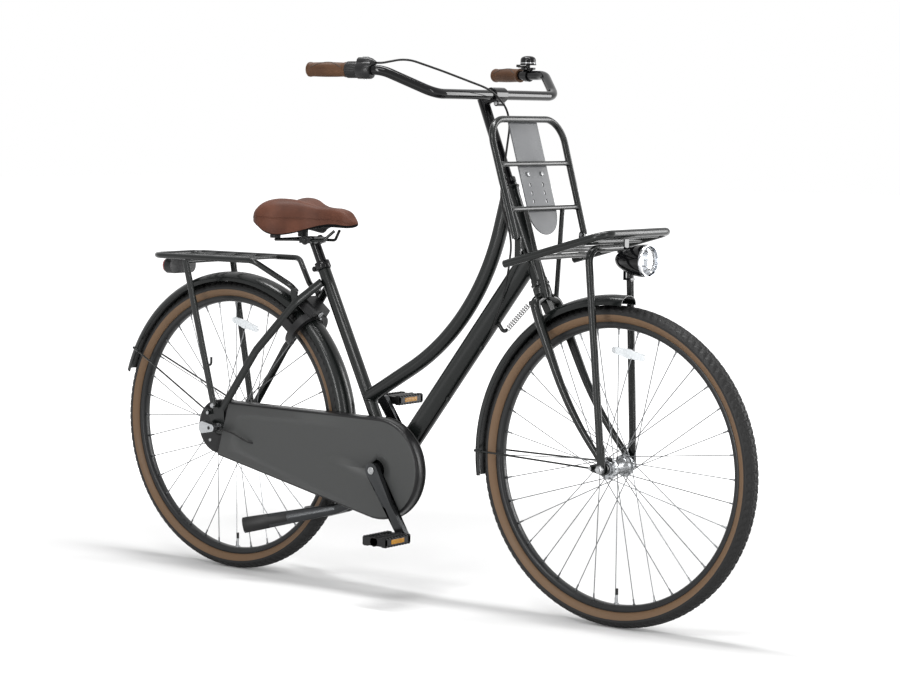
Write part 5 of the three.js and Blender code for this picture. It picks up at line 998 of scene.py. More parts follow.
def add_fender_band(bm, hub, start, end):
    steps = int((end - start) * 0.7)
    path = [round_hub(hub, FENDER_RADIUS, start + (end - start) * i / steps) for i in range(steps + 1)]
    extrude_through(bm, outline(bm, fender_section()), stations(path, LEFT))
    for side in SIDES:
        edge = [round_hub(hub, FENDER_EDGE, start + (end - start) * i / steps, side * 27.9) for i in range(steps + 1)]
        extrude_through(bm, circle(bm, 1.1, 8), stations(edge, LEFT))


def add_fender_stays(bm, hub, degrees, eyelet_ahead, eyelet_up, left):
    for side in SIDES:
        top = round_hub(hub, 358, degrees, side * 29)
        foot = hub + Vector((eyelet_ahead, side * left, eyelet_up)) / 1000
        way = (foot - top).normalized()
        bar(bm, top - way * 0.004, foot + way * 0.004, 2.2, 14)
        clip = [top - way * 0.009, top + way * 0.012]
        pipe(bm, clip, 3.4, sides=16)
        bar(bm, foot - LEFT * side * 0.004, foot + LEFT * side * 0.0035, 4.4, 16)
        coloured(bm, SECOND, add_nut, foot + LEFT * side * 0.0025, LEFT * side, 4.6, 4.4, 0)


def make_rear_fender():
    bm = bmesh.new()
    add_fender_band(bm, REAR_HUB, -12, 162)
    add_fender_stays(bm, REAR_HUB, 152, -29, 33, 65.7)
    finish_piece("fender_rear", bm, [satin_black, zinc_steel], "frame", ["rear_fender"], sharp=50)


make_rear_fender()

# %% [markdown]
# The rear carrier is one loop of tube. At the front its rails come together, dip and bolt to lugs on the seat
# stays. Cross bars are welded in, and two flat legs carry the load down to the axle plates, each with a hook for
# the straps of a pannier.


# %% Rear carrier
def make_rear_carrier():
    bm = bmesh.new()
    sides = []
    for side in SIDES:
        end, front = at(226, side * 35, 694), at(131, side * 84, 766)
        straight = end.lerp(front, 0.2)
        straight.y = end.y
        sides.append([end, straight, front, at(-207, side * 84, 766)])
    pipe(bm, sides[0] + sides[1][::-1], 7, bend=38, steps=12, sides=28)
    for i in range(1, 5):
        x = -207 + 338 * i / 5
        bar(bm, at(x, -84, 766), at(x, 84, 766), 4.5, 20)
        for side in SIDES:
            weld(bm, at(x, 0, 766), LEFT * side, 4.5, at(x, side * 84, 766), AHEAD, 7, bead=1.1, steps=32)
    for side in SIDES:
        spot = at(226, side * 38, 694)
        bar(bm, spot, spot + LEFT * side * 0.004, 9, 32)
        coloured(bm, SECOND, bar, spot + LEFT * side * 0.003, spot + LEFT * side * 0.0075, 5.2, 6)
    box(bm, at(-208.5, -20, 757.3), at(-205.5, 20, 766))
    finish_piece("carrier_rear", bm, [satin_black, zinc_steel], "frame", ["rear_carrier"])


def make_carrier_legs():
    bm = bmesh.new()
    top, foot = 754.2, 405.649
    flat_bar = arcs(((0, 6), 4.5, 0, 180, 10), ((0, -6), 4.5, 180, 360, 10))
    section = [(a, b * 0.857) for a, b in flat_bar]
    for side in SIDES:
        strap(bm, [at(-89, side * 84, top), at(-12, side * 66.8, foot)], section, side=LEFT)
        share = (top - 505) / (top - foot)
        x, y = -89 + 77 * share, side * (84 - 17.2 * share)
        hook = [at(x, y, 505), at(x + 22, y + side * 4, 505), at(x + 22, y + side * 4, 525)]
        pipe(bm, hook, 3, bend=8, steps=8, sides=16)
        bolt = at(-12, side * 71.3, foot)
        coloured(bm, SECOND, add_nut, bolt - LEFT * side * 0.001, LEFT * side, 5.4, 5.2, 6.2)
    bar(bm, at(-89, -84, top), at(-89, 84, top), 4.5, 20)
    finish_piece("carrier_rear_legs", bm, [satin_black, zinc_steel], "frame", ["rear_carrier_legs"])


make_rear_carrier()
make_carrier_legs()

# %% [markdown]
# The rear light is a moulded box below the end of the rack. Its lens is red plastic with fine flutes that spread
# the light, and a plain black body closes it to the front. The lens is let into the body as a rounded window.


# %% Rear light
def make_rear_light():
    bm = bmesh.new()
    long_round = arcs(((38, 0), 18.9, -90, 90, 14), ((-38, 0), 18.9, 90, 270, 14))
    rounded = [(a * 0.82, b) for a, b in long_round]
    upright = Matrix.Translation(at(-191, 0, 738)) @ facing(LEFT, UP, -AHEAD)
    plate(bm, rounded, upright @ Matrix.Translation((0, 0, -0.012)), 22)
    inner = [(a * 0.9, b * 0.86) for a, b in rounded]
    coloured(bm, SECOND, plate, inner, upright @ Matrix.Translation((0, 0, 0.0095)), 9)
    for i in range(-7, 8):
        low = at(-210.4, i * 4.6 - 1.4, 738 - 13)
        coloured(bm, SECOND, box, low, at(-208.6, i * 4.6 + 1.4, 738 + 13))
    coloured(bm, SECOND, box, at(-187, -45, 734), at(-181, -35.5, 742))
    box(bm, at(-208, -20, 755.5), at(-205, 20, 757.4))
    finish_piece(
        "light_rear", bm, [black_plastic, red_lens], "frame", ["rear_light"], bevel=0.7,
        segments=3,
    )


make_rear_light()

# %% [markdown]
# The ring lock sits on the seat stays and closes round the tyre. Its casing is a horseshoe of moulded plastic with
# the lock body on top, and a steel bolt slides out of one arm through a slot. The key goes into the body from the
# rider's side. The ring is drawn flat and turned into the slant of the stays.


# %% Ring lock
LOCK_LEAN, LOCK_RADIUS = math.radians(51.6), 0.05
lock_up = Vector((math.cos(LOCK_LEAN), 0, math.sin(LOCK_LEAN)))
lock_ahead = LEFT.cross(lock_up)
lock_centre = REAR_HUB + (lock_up * 335 + lock_ahead * 26) / 1000
LOCK_PLACE = Matrix.Translation(lock_centre) @ facing(LEFT, lock_up, lock_ahead)


def lock_arm(inner, outer, start, end, steps=40):
    return arcs(((0, 0), outer, 90 - end, 90 - start, steps), ((0, 0), inner, 90 - start, 90 - end, steps))


def make_lock():
    bm = bmesh.new()
    plate(bm, lock_arm(43, 57, -130, 130), LOCK_PLACE @ Matrix.Translation((0, 0, -0.009)), 18)
    for side in SIDES:
        foot = math.radians(90 - side * 130)
        spot = LOCK_PLACE @ Vector((LOCK_RADIUS * math.cos(foot), LOCK_RADIUS * math.sin(foot), -0.009))
        bar(bm, spot, spot + lock_ahead * 0.018, 7, 28)
        ear = Matrix.Translation(LOCK_PLACE @ Vector((side * 0.046, 0, -0.024))) @ LOCK_PLACE.to_3x3().to_4x4()
        bmesh.ops.create_cube(bm, size=1, matrix=ear @ Matrix.Diagonal((0.010, 0.024, 0.034, 1)))
    body = arcs(
        ((22, 50), 8, -90, 0, 6), ((20, 62), 10, 0, 90, 6),
        ((-20, 62), 10, 90, 180, 6), ((-22, 50), 8, 180, 270, 6),
    )
    plate(bm, body, LOCK_PLACE @ Matrix.Translation((0, 0, -0.042)), 51)
    face = LOCK_PLACE @ Vector((0, 0.058, 0.009))
    coloured(bm, SECOND, ring, face, lock_ahead, 4.2, 7.5, -0.4, 1.4, 32)
    coloured(bm, SECOND, bar, face - lock_ahead * 0.002, face + lock_ahead * 0.0006, 4.0, 28)
    slot_place = LOCK_PLACE @ Matrix.Translation((0, 0, 0.00898))
    coloured(bm, THIRD, plate, lock_arm(46.6, 53.4, -9, 118, 36), slot_place, 0.12)
    finish_piece(
        "ring_lock", bm, [black_plastic, zinc_steel, soft_rubber], "frame", ["ring_lock_case"],
        bevel=1.2, segments=3,
    )


def make_lock_bolt():
    bm = bmesh.new()
    path = []
    for turn in (math.radians(degrees) for degrees in range(-8, 123, 2)):
        path.append(LOCK_PLACE @ Vector((LOCK_RADIUS * math.sin(turn), LOCK_RADIUS * math.cos(turn), 0)))
    extrude_through(bm, circle(bm, 4.2, 20), stations(path))
    start = path[4]
    lathe(
        bm,
        [(0, 0), (2.2, 0), (2.2, 9.5), (3, 10.6), (3, 17), (2.2, 18), (0, 18)],
        start, lock_ahead, 24,
    )
    finish_piece("ring_lock_bolt", bm, zinc_steel, "lock_shackle", ["lock_bolt"])


make_lock()
make_lock_bolt()

# %% [markdown]
# The chain case hides the whole drive. It is moulded in two parts: a cover on the outside and a back that wraps
# the rear end. The cover's face meets its rim in a round shoulder, and a dark bead marks the join. The outline is
# two circles and the two lines that touch both, so a smaller copy of it gives the shoulder, ring by ring.


# %% Chain case
CASE_WALL = 1.6
SEAM_FOOT, SEAM_SLOPE = 19, 38 / 132


def case_outline(inset, steps=40):
    return belt((-10, 352.649), 66 - inset, (503, 297), 118 - inset, steps)


def behind_seam(ahead, up):
    return ahead < SEAM_FOOT + (up - AXLE_HEIGHT) * SEAM_SLOPE


def seam_split(bm, keep_rear):
    lean = Vector((-1, 0, SEAM_SLOPE)).normalized()
    side = lean if keep_rear else -lean
    cut_at = at(SEAM_FOOT, 0, AXLE_HEIGHT) + side * 0.00015
    geometry = list(bm.verts) + list(bm.edges) + list(bm.faces)
    bmesh.ops.bisect_plane(bm, geom=geometry, dist=1e-7, plane_co=cut_at, plane_no=-side, clear_outer=True)


def case_skin(bm, levels, outer_hole, hole_at):
    """Rings of the outline, each at its own inset and depth, joined as walls; a hole ring closes the face."""
    rings = []
    for inset, left in levels:
        rings.append([bm.verts.new(on_side(point, left)) for point in case_outline(inset)])
    join_rings(bm, rings)
    middle = on_side(hole_at, levels[-1][1])
    hole = []
    for vert in rings[-1]:
        out = vert.co - middle
        hole.append(bm.verts.new(middle + out.normalized() * outer_hole / 1000))
    between = [rings[-1]]
    for share in (0.25, 0.5, 0.75):
        between.append([bm.verts.new(a.co.lerp(b.co, share)) for a, b in zip(rings[-1], hole)])
    join_rings(bm, between + [hole])


def thicken(piece, thickness):
    wall = piece.modifiers.new("wall", "SOLIDIFY")
    wall.thickness = thickness / 1000
    wall.offset = -1


def make_case_cover():
    bm = bmesh.new()
    shoulder = [(0, -34.4), (0, -58), (0.8, -61.6), (2.6, -64.2), (5.4, -65.6), (9, -66), (14, -66)]
    case_skin(bm, shoulder, 25, (BRACKET_AHEAD, BRACKET_UP))
    seam_split(bm, False)
    for face in bm.faces:
        if face.calc_center_median().y > -0.0652:
            face.material_index = SECOND
    cover = finish_piece(
        "chain_case_cover", bm, [case_grey, black_plastic], "frame", ["chain_case_cover"],
        sharp=50,
    )
    thicken(cover, CASE_WALL)


def make_case_back():
    bm = bmesh.new()
    cap = [(0, -34.0), (0, -48), (0.8, -51), (2.6, -53), (5.4, -53.8), (9, -54), (14, -54)]
    case_skin(bm, cap, 16, (0, AXLE_HEIGHT))
    seam_split(bm, True)
    back = finish_piece("chain_case_back", bm, black_plastic, "frame", ["chain_case_back"], sharp=50)
    thicken(back, CASE_WALL)
    bm = bmesh.new()
    outside, inside = case_outline(0), case_outline(13)
    loops = []
    for points, left in ((outside, -34.0), (outside, -32.4), (inside, -32.4), (inside, -34.0)):
        loops.append([bm.verts.new(on_side(point, left)) for point in points])
    join_rings(bm, loops + loops[:1])
    finish_piece("chain_case_flange", bm, black_plastic, "frame")


def make_case_trim():
    bm = bmesh.new()
    path = [on_side((a, b), -36.4) for a, b in case_outline(-0.2, 60) if not behind_seam(a - 3, b)]
    extrude_through(bm, circle(bm, 1.5, 10), stations(path, LEFT))
    finish_piece("chain_case_bead", bm, soft_rubber, "frame")
    bm = bmesh.new()
    for ahead, up in ((-36, 318), (-34, 388)):
        spot = at(ahead, -54, up)
        lathe(bm, [(0, 1.6), (2.4, 1.5), (3.8, 0.9), (4.1, 0), (0, 0)], spot, -LEFT, 24)
    finish_piece("chain_case_screws", bm, zinc_steel, "frame")


make_case_cover()
make_case_back()
make_case_trim()

# %% [markdown]
# Cranks are forged, so their arms swell at both ends and every edge is round. The arm is a plate outline with a
# broad bevel. The left crank is turned half round from the right one. The axle ends in a bolt under a dust cap.


# %% Cranks
CRANK_TURN, CRANK_LENGTH = -57.4, 170
TEETH = 38


def crank_eye(side):
    turn = math.radians(CRANK_TURN + (180 if side > 0 else 0))
    return at(BRACKET_AHEAD + CRANK_LENGTH * math.cos(turn), 0, BRACKET_UP + CRANK_LENGTH * math.sin(turn))


def add_crank_arm(bm, side):
    eye_mm = flat_place(crank_eye(side))
    centre = (BRACKET_AHEAD, BRACKET_UP)
    waist = (centre[0] + (eye_mm[0] - centre[0]) * 0.55, centre[1] + (eye_mm[1] - centre[1]) * 0.55)
    run = math.atan2(eye_mm[1] - centre[1], eye_mm[0] - centre[0])
    open_near = math.acos((17 - 8.5) / (CRANK_LENGTH * 0.55))
    open_far = math.acos((8.5 - 12.5) / (CRANK_LENGTH * 0.45))
    points = arc(centre, 17, math.degrees(run + open_near), math.degrees(run - open_near) + 360, 28)
    points += arc(waist, 8.5, math.degrees(run - open_near), math.degrees(run - open_far), 3)
    points += arc(eye_mm, 12.5, math.degrees(run - open_far), math.degrees(run + open_far), 24)
    points += arc(waist, 8.5, math.degrees(run + open_far), math.degrees(run + open_near), 3)
    face = -69 if side < 0 else 83
    plate(bm, points[::-1], flat_side(face), 14)


def make_crank(side, name, node):
    bm = bmesh.new()
    add_crank_arm(bm, side)
    if side < 0:
        lathe(bm, [(9, -1), (15, -1), (15, 24), (9, 24)], at(BRACKET_AHEAD, -44, BRACKET_UP), -LEFT, 40)
        teeth = []
        for i in range(TEETH * 6):
            turn = math.tau * i / (TEETH * 6)
            radius = 75.0 + 1.8 * math.cos(TEETH * turn)
            teeth.append((BRACKET_AHEAD + radius * math.cos(turn), BRACKET_UP + radius * math.sin(turn)))
        plate(bm, teeth[::-1], flat_side(-42.7), 2.6)
    finish_piece(name, bm, gunmetal, "crankset", [node], bevel=2.6, segments=4)


def make_crank_axle():
    bm = bmesh.new()
    bar(bm, at(BRACKET_AHEAD, -83, BRACKET_UP), at(BRACKET_AHEAD, 83, BRACKET_UP), 8.2, 32)
    for side in SIDES:
        spot = at(BRACKET_AHEAD, side * 83.2, BRACKET_UP)
        lathe(bm, [(0, 1.0), (3.4, 1.0), (3.8, 2.0), (7.6, 2.5), (8.6, 1.7), (8.8, 0), (0, 0)], spot, LEFT * side, 36)
    finish_piece("crank_axle_and_caps", bm, zinc_steel, "crankset", ["crank_axle"])


make_crank(-1, "crank_right", "right_crank")
make_crank(1, "crank_left", "left_crank")
make_crank_axle()

# %% [markdown]
# A city pedal is a plastic cage round a steel spindle. Its two treads have rows of small blocks for grip, the
# ends are bridged, and an amber reflector is set into the front and back edges. The cage is built from simple
# blocks with a bevel, as the mould would leave it.


# %% Pedals
def make_pedal(side, name, node, body):
    eye = crank_eye(side)
    bm = bmesh.new()

    def on_pedal(ahead, left, up):
        return eye + Vector((ahead, side * left, up)) / 1000

    def block(mesh, a, b):
        low, high = on_pedal(*a), on_pedal(*b)
        low.y, high.y = min(low.y, high.y), max(low.y, high.y)
        box(mesh, low, high)

    bar(bm, on_pedal(0, 91, 0), on_pedal(0, 183, 0), 11, 32)
    for way in (-1, 1):
        low, high = sorted((way * 20, way * 33))
        block(bm, (low, 91.2, -8.4), (high, 182.8, 8.4))
        for i in range(9):
            left = 93.4 + i * 10.2
            block(bm, (low + 0.2, left, -11.4), (high - 0.2, left + 5.0, 11.4))
            block(bm, (way * 33 - 1.2, left + 0.6, -10.4), (way * 33 + 1.2, left + 4.4, -6.6))
            block(bm, (way * 33 - 1.2, left + 0.6, 6.6), (way * 33 + 1.2, left + 4.4, 10.4))
        block(bm, (way * 15.5 - 1.4, 99, -5), (way * 15.5 + 1.4, 176, 5))
    for left in (91, 174):
        block(bm, (-33, left, -9), (33, left + 9, 9))
    for left in (112, 132, 152):
        block(bm, (-22, left, -4), (22, left + 4, 4))
    coloured(bm, SECOND, bar, on_pedal(0, 84.5, 0), on_pedal(0, 91.5, 0), 7.5, 6)
    coloured(bm, SECOND, bar, on_pedal(0, 69.4, 0), on_pedal(0, 91, 0), 4.9, 24)
    coloured(bm, SECOND, bar, on_pedal(0, 83.2, 0), on_pedal(0, 85, 0), 8.2, 28)
    for way in (-1, 1):
        low, high = sorted((way * 32.0, way * 33.4))
        coloured(bm, THIRD, block, (low, 114, -5.2), (high, 160, 5.2))
        for i in range(8):
            left = 115.2 + i * 5.6
            low, high = sorted((way * 33.2, way * 33.9))
            coloured(bm, THIRD, block, (low, left, -4.6), (high, left + 4.2, 4.6))
    finish_piece(name, bm, [black_plastic, zinc_steel, amber], body, [node], bevel=0.55)


make_pedal(-1, "pedal_right", "right_pedal", "right_pedal_body")
make_pedal(1, "pedal_left", "left_pedal", "left_pedal_body")

# %% [markdown]
# The stand hinges under the chain stays. Its two legs are bent tubes that widen towards the ground, each with a
# rubber sleeve over its lower end that carries the bicycle on soft ground.


# %% Stand
STAND_PIVOT = at(395, 0, 250)


def sleeve_size(share):
    """The sleeve has a rounded foot, a thick lower part and, above a step, a slimmer upper part."""
    if share == 0:
        return 0.93, 0.93
    return (1.0, 0.99 - 0.16 * share) if share < 0.58 else (0.93, 0.93 - 0.2 * share)


def make_stand():
    bm = bmesh.new()
    for side in SIDES:
        top, bend = at(395, side * 20, 250), at(375, side * 20, 196)
        knee, foot = at(343, side * 22, 183), at(132, side * 115, 132)
        leg_size = lambda share: (1 + 0.286 * share, 1 + 0.9 * share)
        strap(bm, [top, bend, knee, foot], oval(7, 10, 32), bend=18, steps=12, side=LEFT, size=leg_size)
        way = (knee - foot).normalized()
        path = [foot - way * 0.0006] + [foot + way * along for along in (0.006, 0.064, 0.066, 0.110, 0.112)]
        coloured(bm, SECOND, strap, path, oval(9.6, 19.4), 0, 8, LEFT, sleeve_size)
    bar(bm, STAND_PIVOT - LEFT * 0.027, STAND_PIVOT + LEFT * 0.027, 7, 32)
    finish_piece("stand_legs", bm, [gunmetal, soft_rubber], "stand", ["kickstand"], sharp=45)


def make_stand_bracket():
    bm = bmesh.new()
    stay = on_stay_line(395)
    box(bm, at(378, -42, stay - 13), at(412, 42, stay - 9))
    box(bm, at(383, -12, 250), at(407, 12, stay - 9))
    ring(bm, STAND_PIVOT, LEFT, 7.6, 13, -12, 12, 40)
    for side in SIDES:
        spot = at(395, side * 30, stay - 13)
        bar(bm, spot, spot - UP * 0.004, 5.4, 6)
    finish_piece("stand_bracket", bm, gunmetal, "frame", ["kickstand_bracket"], bevel=0.6)


make_stand()
make_stand_bracket()

# %% [markdown]
# The saddle is foam on a plastic base under a sewn cover. It is drawn as eleven stations from nose to tail, each a
# soft squared oval with its own width, crown and base. A shallow dip runs down the middle, two lobes carry the
# rider, and a fine stitched seam in the same leather runs along each side.


# %% Saddle
SEAT_WIDTH = [0.2, 0.225, 0.245, 0.275, 0.34, 0.47, 0.68, 0.88, 0.99, 1, 0.88]
SEAT_CROWN = [0.05, 0.4, 0.56, 0.6, 0.66, 0.8, 0.95, 1.02, 1.02, 0.9, 0.6]
SEAT_BASE = [0.9, 0.9, 0.93, 0.95, 0.9, 0.8, 0.66, 0.56, 0.6, 0.85, 1.1]
SEAT_SKIRT = [0, 0, 0, 0.08, 0.3, 0.6, 0.9, 1.0, 0.8, 0.3, 0]
SEAM, BASE = 1, 2
SADDLE_MIDDLE = 860


def smooth_pick(shares, t):
    place = min(max(t, 0), 1) * (len(shares) - 1)
    i = min(int(place), len(shares) - 2)
    u = place - i
    p0, p1, p2, p3 = shares[max(i - 1, 0)], shares[i], shares[i + 1], shares[min(i + 2, len(shares) - 1)]
    curve = 3 * p1 - p0 - 3 * p2 + p3
    return 0.5 * (2 * p1 + (p2 - p0) * u + (2 * p0 - 5 * p1 + 4 * p2 - p3) * u * u + curve * u**3)


def saddle_spot(t, turn, swell=0.0):
    nose, tail = max(0, 1 - t / 0.12), max(0, (t - 0.955) / 0.045)
    round_end = math.sqrt(max(0, 1 - nose * nose)) * math.sqrt(max(0, 1 - tail * tail))
    half = 99.2 * smooth_pick(SEAT_WIDTH, t) * round_end + swell
    top = SADDLE_MIDDLE + (868 + 51 * smooth_pick(SEAT_CROWN, t) - SADDLE_MIDDLE) * round_end
    base = SADDLE_MIDDLE + (829 + 21 * smooth_pick(SEAT_BASE, t) - SADDLE_MIDDLE) * round_end
    seam = base + (top - base) * 0.3
    across, rise = math.cos(turn), math.sin(turn)
    left = half * math.copysign(abs(across) ** 0.72, across)
    height = (top - seam if rise > 0 else seam - base) + swell
    middle = math.exp(-((left / (half * 0.3 + 6)) ** 2))
    dip = 21 * t * middle if rise > 0 else 0
    skirt = 27 * smooth_pick(SEAT_SKIRT, t) * (abs(left) / (half + 0.01)) ** 2.5 if rise < 0 else 0
    inward = 1 - min(1, abs(left) / (half + 0.01))
    notch = 14 * inward * max(0, 2 * t - 1) ** 4
    up = seam + height * math.copysign(abs(rise) ** 0.72, rise) - dip - skirt
    return at(383 - 255 * t + notch, left, up)


def make_saddle():
    bm = bmesh.new()
    slices, sides = 96, 112
    rings = []
    for i in range(slices):
        t = (1 - math.cos(math.pi * i / (slices - 1))) / 2
        rings.append([bm.verts.new(saddle_spot(t, math.tau * j / sides)) for j in range(sides)])
    join_rings(bm, rings)
    for end in (rings[0], rings[-1]):
        middle = bm.verts.new(sum((v.co for v in end), Vector()) / sides)
        for j in range(sides):
            bm.faces.new((end[j - 1], end[j], middle))
    bmesh.ops.recalc_face_normals(bm, faces=bm.faces)
    for face in bm.faces:
        if face.normal.z < -0.35:
            face.material_index = BASE
    for side in SIDES:
        turn = math.pi / 2 - side * math.radians(88)
        path = [saddle_spot(0.03 + 0.955 * i / 70, turn, 0.1) for i in range(71)]
        coloured(bm, SEAM, lambda mesh: extrude_through(mesh, circle(mesh, 0.9, 10), stations(path)))
        for i in range(1, 69):
            spot, ahead_spot = path[i].lerp(path[i + 1], 0.2), path[i].lerp(path[i + 1], 0.75)
            lift = Vector((0, side * 0.0004, 0.0022))
            coloured(bm, SEAM, bar, spot + lift, ahead_spot + lift, 0.45, 6)
    piece = finish_piece(
        "saddle_cover", bm, [saddle_brown, saddle_brown, matte_black], "seat", ["saddle"], sharp=70,
    )


make_saddle()

# %% [markdown]
# Under the saddle, two steel rails are bent from one wire and held in a clamp on the post. Two rubber blocks carry
# the tail. The post is black steel tube.


# %% Rails, clamp and post
def make_rails():
    bm = bmesh.new()
    for side in SIDES:
        corners = [at(172, side * 50, 817), at(205, side * 22, 817), at(298, side * 22, 817), at(322, side * 9, 841)]
        pipe(bm, corners, 3.5, bend=14, steps=10, sides=20)
        coloured(bm, SECOND, bar, at(172, side * 50, 821), at(172, side * 50, 842), 12.4, 36)
        for up in (824, 829.5, 835):
            coloured(bm, SECOND, ring, at(172, side * 50, up), UP, 11, 13, 0, 2.4, 36)
    bar(bm, at(172, -50, 817), at(172, 50, 817), 3.5, 20)
    coloured(bm, THIRD, box, at(226, -18, 809), at(266, 18, 825))
    washer = [(0, 0), (10.5, 0), (11.2, 0.8), (11.2, 3), (10, 4), (0, 4)]
    for side in SIDES:
        low, high = sorted((side * 14, side * 29))
        coloured(bm, THIRD, box, at(229, low, 810), at(263, high, 824))
        coloured(bm, THIRD, lathe, washer, at(246, side * 26, 817), LEFT * side, 36)
        add_nut(bm, at(246, side * 28.6, 817), LEFT * side, 6, 3.4, 0)
    finish_piece(
        "saddle_rails_and_clamp", bm, [satin_black, soft_rubber, black_plastic], "seat",
        ["saddle_rails"], bevel=0.5,
    )


def make_post():
    bm = bmesh.new()
    profile = [(0, -190), (12.2, -190), (12.4, -189), (12.4, 51.4), (11.8, 52), (0, 52)]
    lathe(bm, profile, SEAT_TOP, SEAT_UP, 48)
    finish_piece("seat_post_tube", bm, gloss_black, "seat", ["seat_post"])


make_rails()
make_post()

# %% [markdown]
# The fork crown is one bend of tube whose two legs run down past the tyre and curve forward at the bottom, which
# gives the wheel its trail. The legs thin towards the axle plates. A lug behind the crown takes the spring.


# %% Fork and headset
def fork_side(side):
    return [
        on_head(0, 0, 414), on_head(0, side * 43, 398), on_head(0, side * 46, 350), on_head(8, side * 51, 150),
        on_head(49, side * 53, 20),
    ]


def make_fork():
    bm = bmesh.new()
    for side in SIDES:
        corners = fork_side(side)
        path = bent(corners[:3], 22, 10)[:-1]
        path += [corners[2].lerp(corners[3], k / 6) for k in range(3)]
        low = [corners[2].lerp(corners[3], 0.42), corners[3], corners[4]]
        path += bent(low, 720, 20)
        blade_size = lambda share: (1 - 0.583 * share, 1 - 0.375 * share)
        extrude_through(bm, outline(bm, oval(12, 12)), stations(path, LEFT, blade_size))
        face = 54.5 if side > 0 else -50
        end = flat_place(on_head(49, 0, 20))
        plate(bm, belt(end, 7.5, (WHEEL_BASE, AXLE_HEIGHT), 14, 14), flat_side(face), 4.5)
        plate(bm, belt((1097, AXLE_HEIGHT), 8, (WHEEL_BASE, AXLE_HEIGHT), 14, 14), flat_side(face - 0.02), 4.46)
        spot = at(1097, side * 54.5, AXLE_HEIGHT)
        coloured(bm, SECOND, bar, spot, spot + LEFT * side * 0.0034, 4.6, 6)
    profile = [
        (0, 404), (14, 404), (17, 408), (20, 414), (20, 431), (19, 434), (14.2, 435.2), (14.2, 684), (13, 684),
        (13, 670), (0, 670),
    ]
    lathe(bm, profile, on_head(0, 0, 0), HEAD_UP, 48)
    pipe(bm, [on_head(0, 0, 409), on_head(-31, 0, 409), SPRING_LUG], 4.9, bend=4, steps=6, sides=24)
    finish_piece("fork", bm, [satin_black, zinc_steel], "steering", ["fork"], sharp=45, bevel=0.4)


def add_ribs(bm, first, second, reach, low, high, radius, sides):
    """Twenty-four small bars side by side round a turned part, which give fingers or a tool their hold."""
    for i in range(24):
        turn = math.tau * i / 24
        out = (first * math.cos(turn) + second * math.sin(turn)) * reach
        bar(bm, low + out, high + out, radius, sides)


def make_headset():
    bm = bmesh.new()
    profile = [
        (14.5, 670.6), (16.6, 670.6), (17, 671.2), (17, 676), (16, 676.6), (16, 677.4), (17, 678), (17, 689.3),
        (16.4, 690), (12.8, 690), (12.8, 684.3), (14.5, 684.3), (14.5, 670.6),
    ]
    lathe(bm, profile, on_head(0, 0, 0), HEAD_UP, 48)
    add_ribs(bm, HEAD_AHEAD, LEFT, 0.0168, on_head(0, 0, 679), on_head(0, 0, 688.6), 0.7, 6)
    finish_piece("headset_lock_nut", bm, gloss_black, "steering", ["headset_top"])


def make_front_fender():
    bm = bmesh.new()
    add_fender_band(bm, FRONT_HUB, 86, 188)
    add_fender_stays(bm, FRONT_HUB, 179, -27, 0, 58.2)
    degrees = 119
    place = Matrix.Translation(FRONT_HUB) @ Matrix.Rotation(math.radians(90 - degrees), 4, "Y")
    tab = Matrix.Translation((0, 0, 0.389)) @ Matrix.Diagonal((0.018, 0.018, 0.026, 1))
    bmesh.ops.create_cube(bm, size=1, matrix=place @ tab)
    finish_piece("fender_front", bm, [satin_black, zinc_steel], "steering", ["front_fender"], sharp=50)


make_fork()
make_headset()
make_front_fender()

# %% [markdown]
# The stem is a quill that slides in the steerer, with a short welded arm and a split clamp for the bar. The bar
# itself sweeps back to the rider. Both are enamelled in gloss black, so they catch long clean highlights.


# %% Stem and handlebar
BAR_CENTRE = on_head(40, 0, 874)


def bar_end(side):
    return BAR_CENTRE + Vector((-258, side * 341, 51)) / 1000


def bar_knee(side):
    return BAR_CENTRE + Vector((-85, side * 302, 50)) / 1000


def bar_way(side):
    return (bar_knee(side) - bar_end(side)).normalized()


def on_bar(side, from_end):
    return bar_end(side) + bar_way(side) * from_end / 1000


def make_stem():
    bm = bmesh.new()
    profile = [(0, 560), (12.5, 560), (12.5, 880), (12, 883.6), (10.4, 885.6), (7, 886), (5, 886), (5, 880), (0, 880)]
    lathe(bm, profile, on_head(0, 0, 0), HEAD_UP, 48)
    bar(bm, on_head(0, 0, 874), on_head(26, 0, 874), 11.2, 40)
    weld(bm, on_head(26, 0, 874), -HEAD_AHEAD, 11.2, on_head(0, 0, 0), HEAD_UP, 12.5, bead=1.5)
    lathe(
        bm, [(11.4, -22), (16.2, -22), (17, -21), (17, 21), (16.2, 22), (11.4, 22), (11.4, -22)], BAR_CENTRE,
        LEFT, 56,
    )
    low = BAR_CENTRE - HEAD_UP * 0.0195
    bar(bm, low - LEFT * 0.0125, low + LEFT * 0.0125, 6.8, 32)
    coloured(bm, SECOND, bar, low - LEFT * 0.0138, low - LEFT * 0.0124, 4.6, 28)
    coloured(bm, SECOND, bar, low + LEFT * 0.0124, low + LEFT * 0.0138, 4.6, 6)
    coloured(bm, SECOND, bar, on_head(0, 0, 879.6), on_head(0, 0, 883), 4.9, 6)
    finish_piece("stem_and_clamp", bm, [gloss_black, zinc_steel], "steering", ["stem"], bevel=0.3)


def make_handlebar():
    bm = bmesh.new()
    right_corner, left_corner = [BAR_CENTRE + LEFT * side * 0.222 for side in SIDES]
    corners = [bar_end(-1), bar_knee(-1), right_corner, left_corner, bar_knee(1), bar_end(1)]
    pipe(bm, corners, 11.1, bend=60, steps=18, sides=44)
    finish_piece("handlebar_tube", bm, gloss_black, "steering", ["handlebar"])


make_stem()
make_handlebar()

# %% [markdown]
# The grips are wrapped in the saddle's leather look, and two thin dark lines cross on each of them. A grip has a
# flange at its inner end and a rounded cap.


# %% Grips
def round_way(way):
    """Two directions square to the bar: up from it and across it."""
    across = way.cross(UP).normalized()
    return across.cross(way).normalized(), across


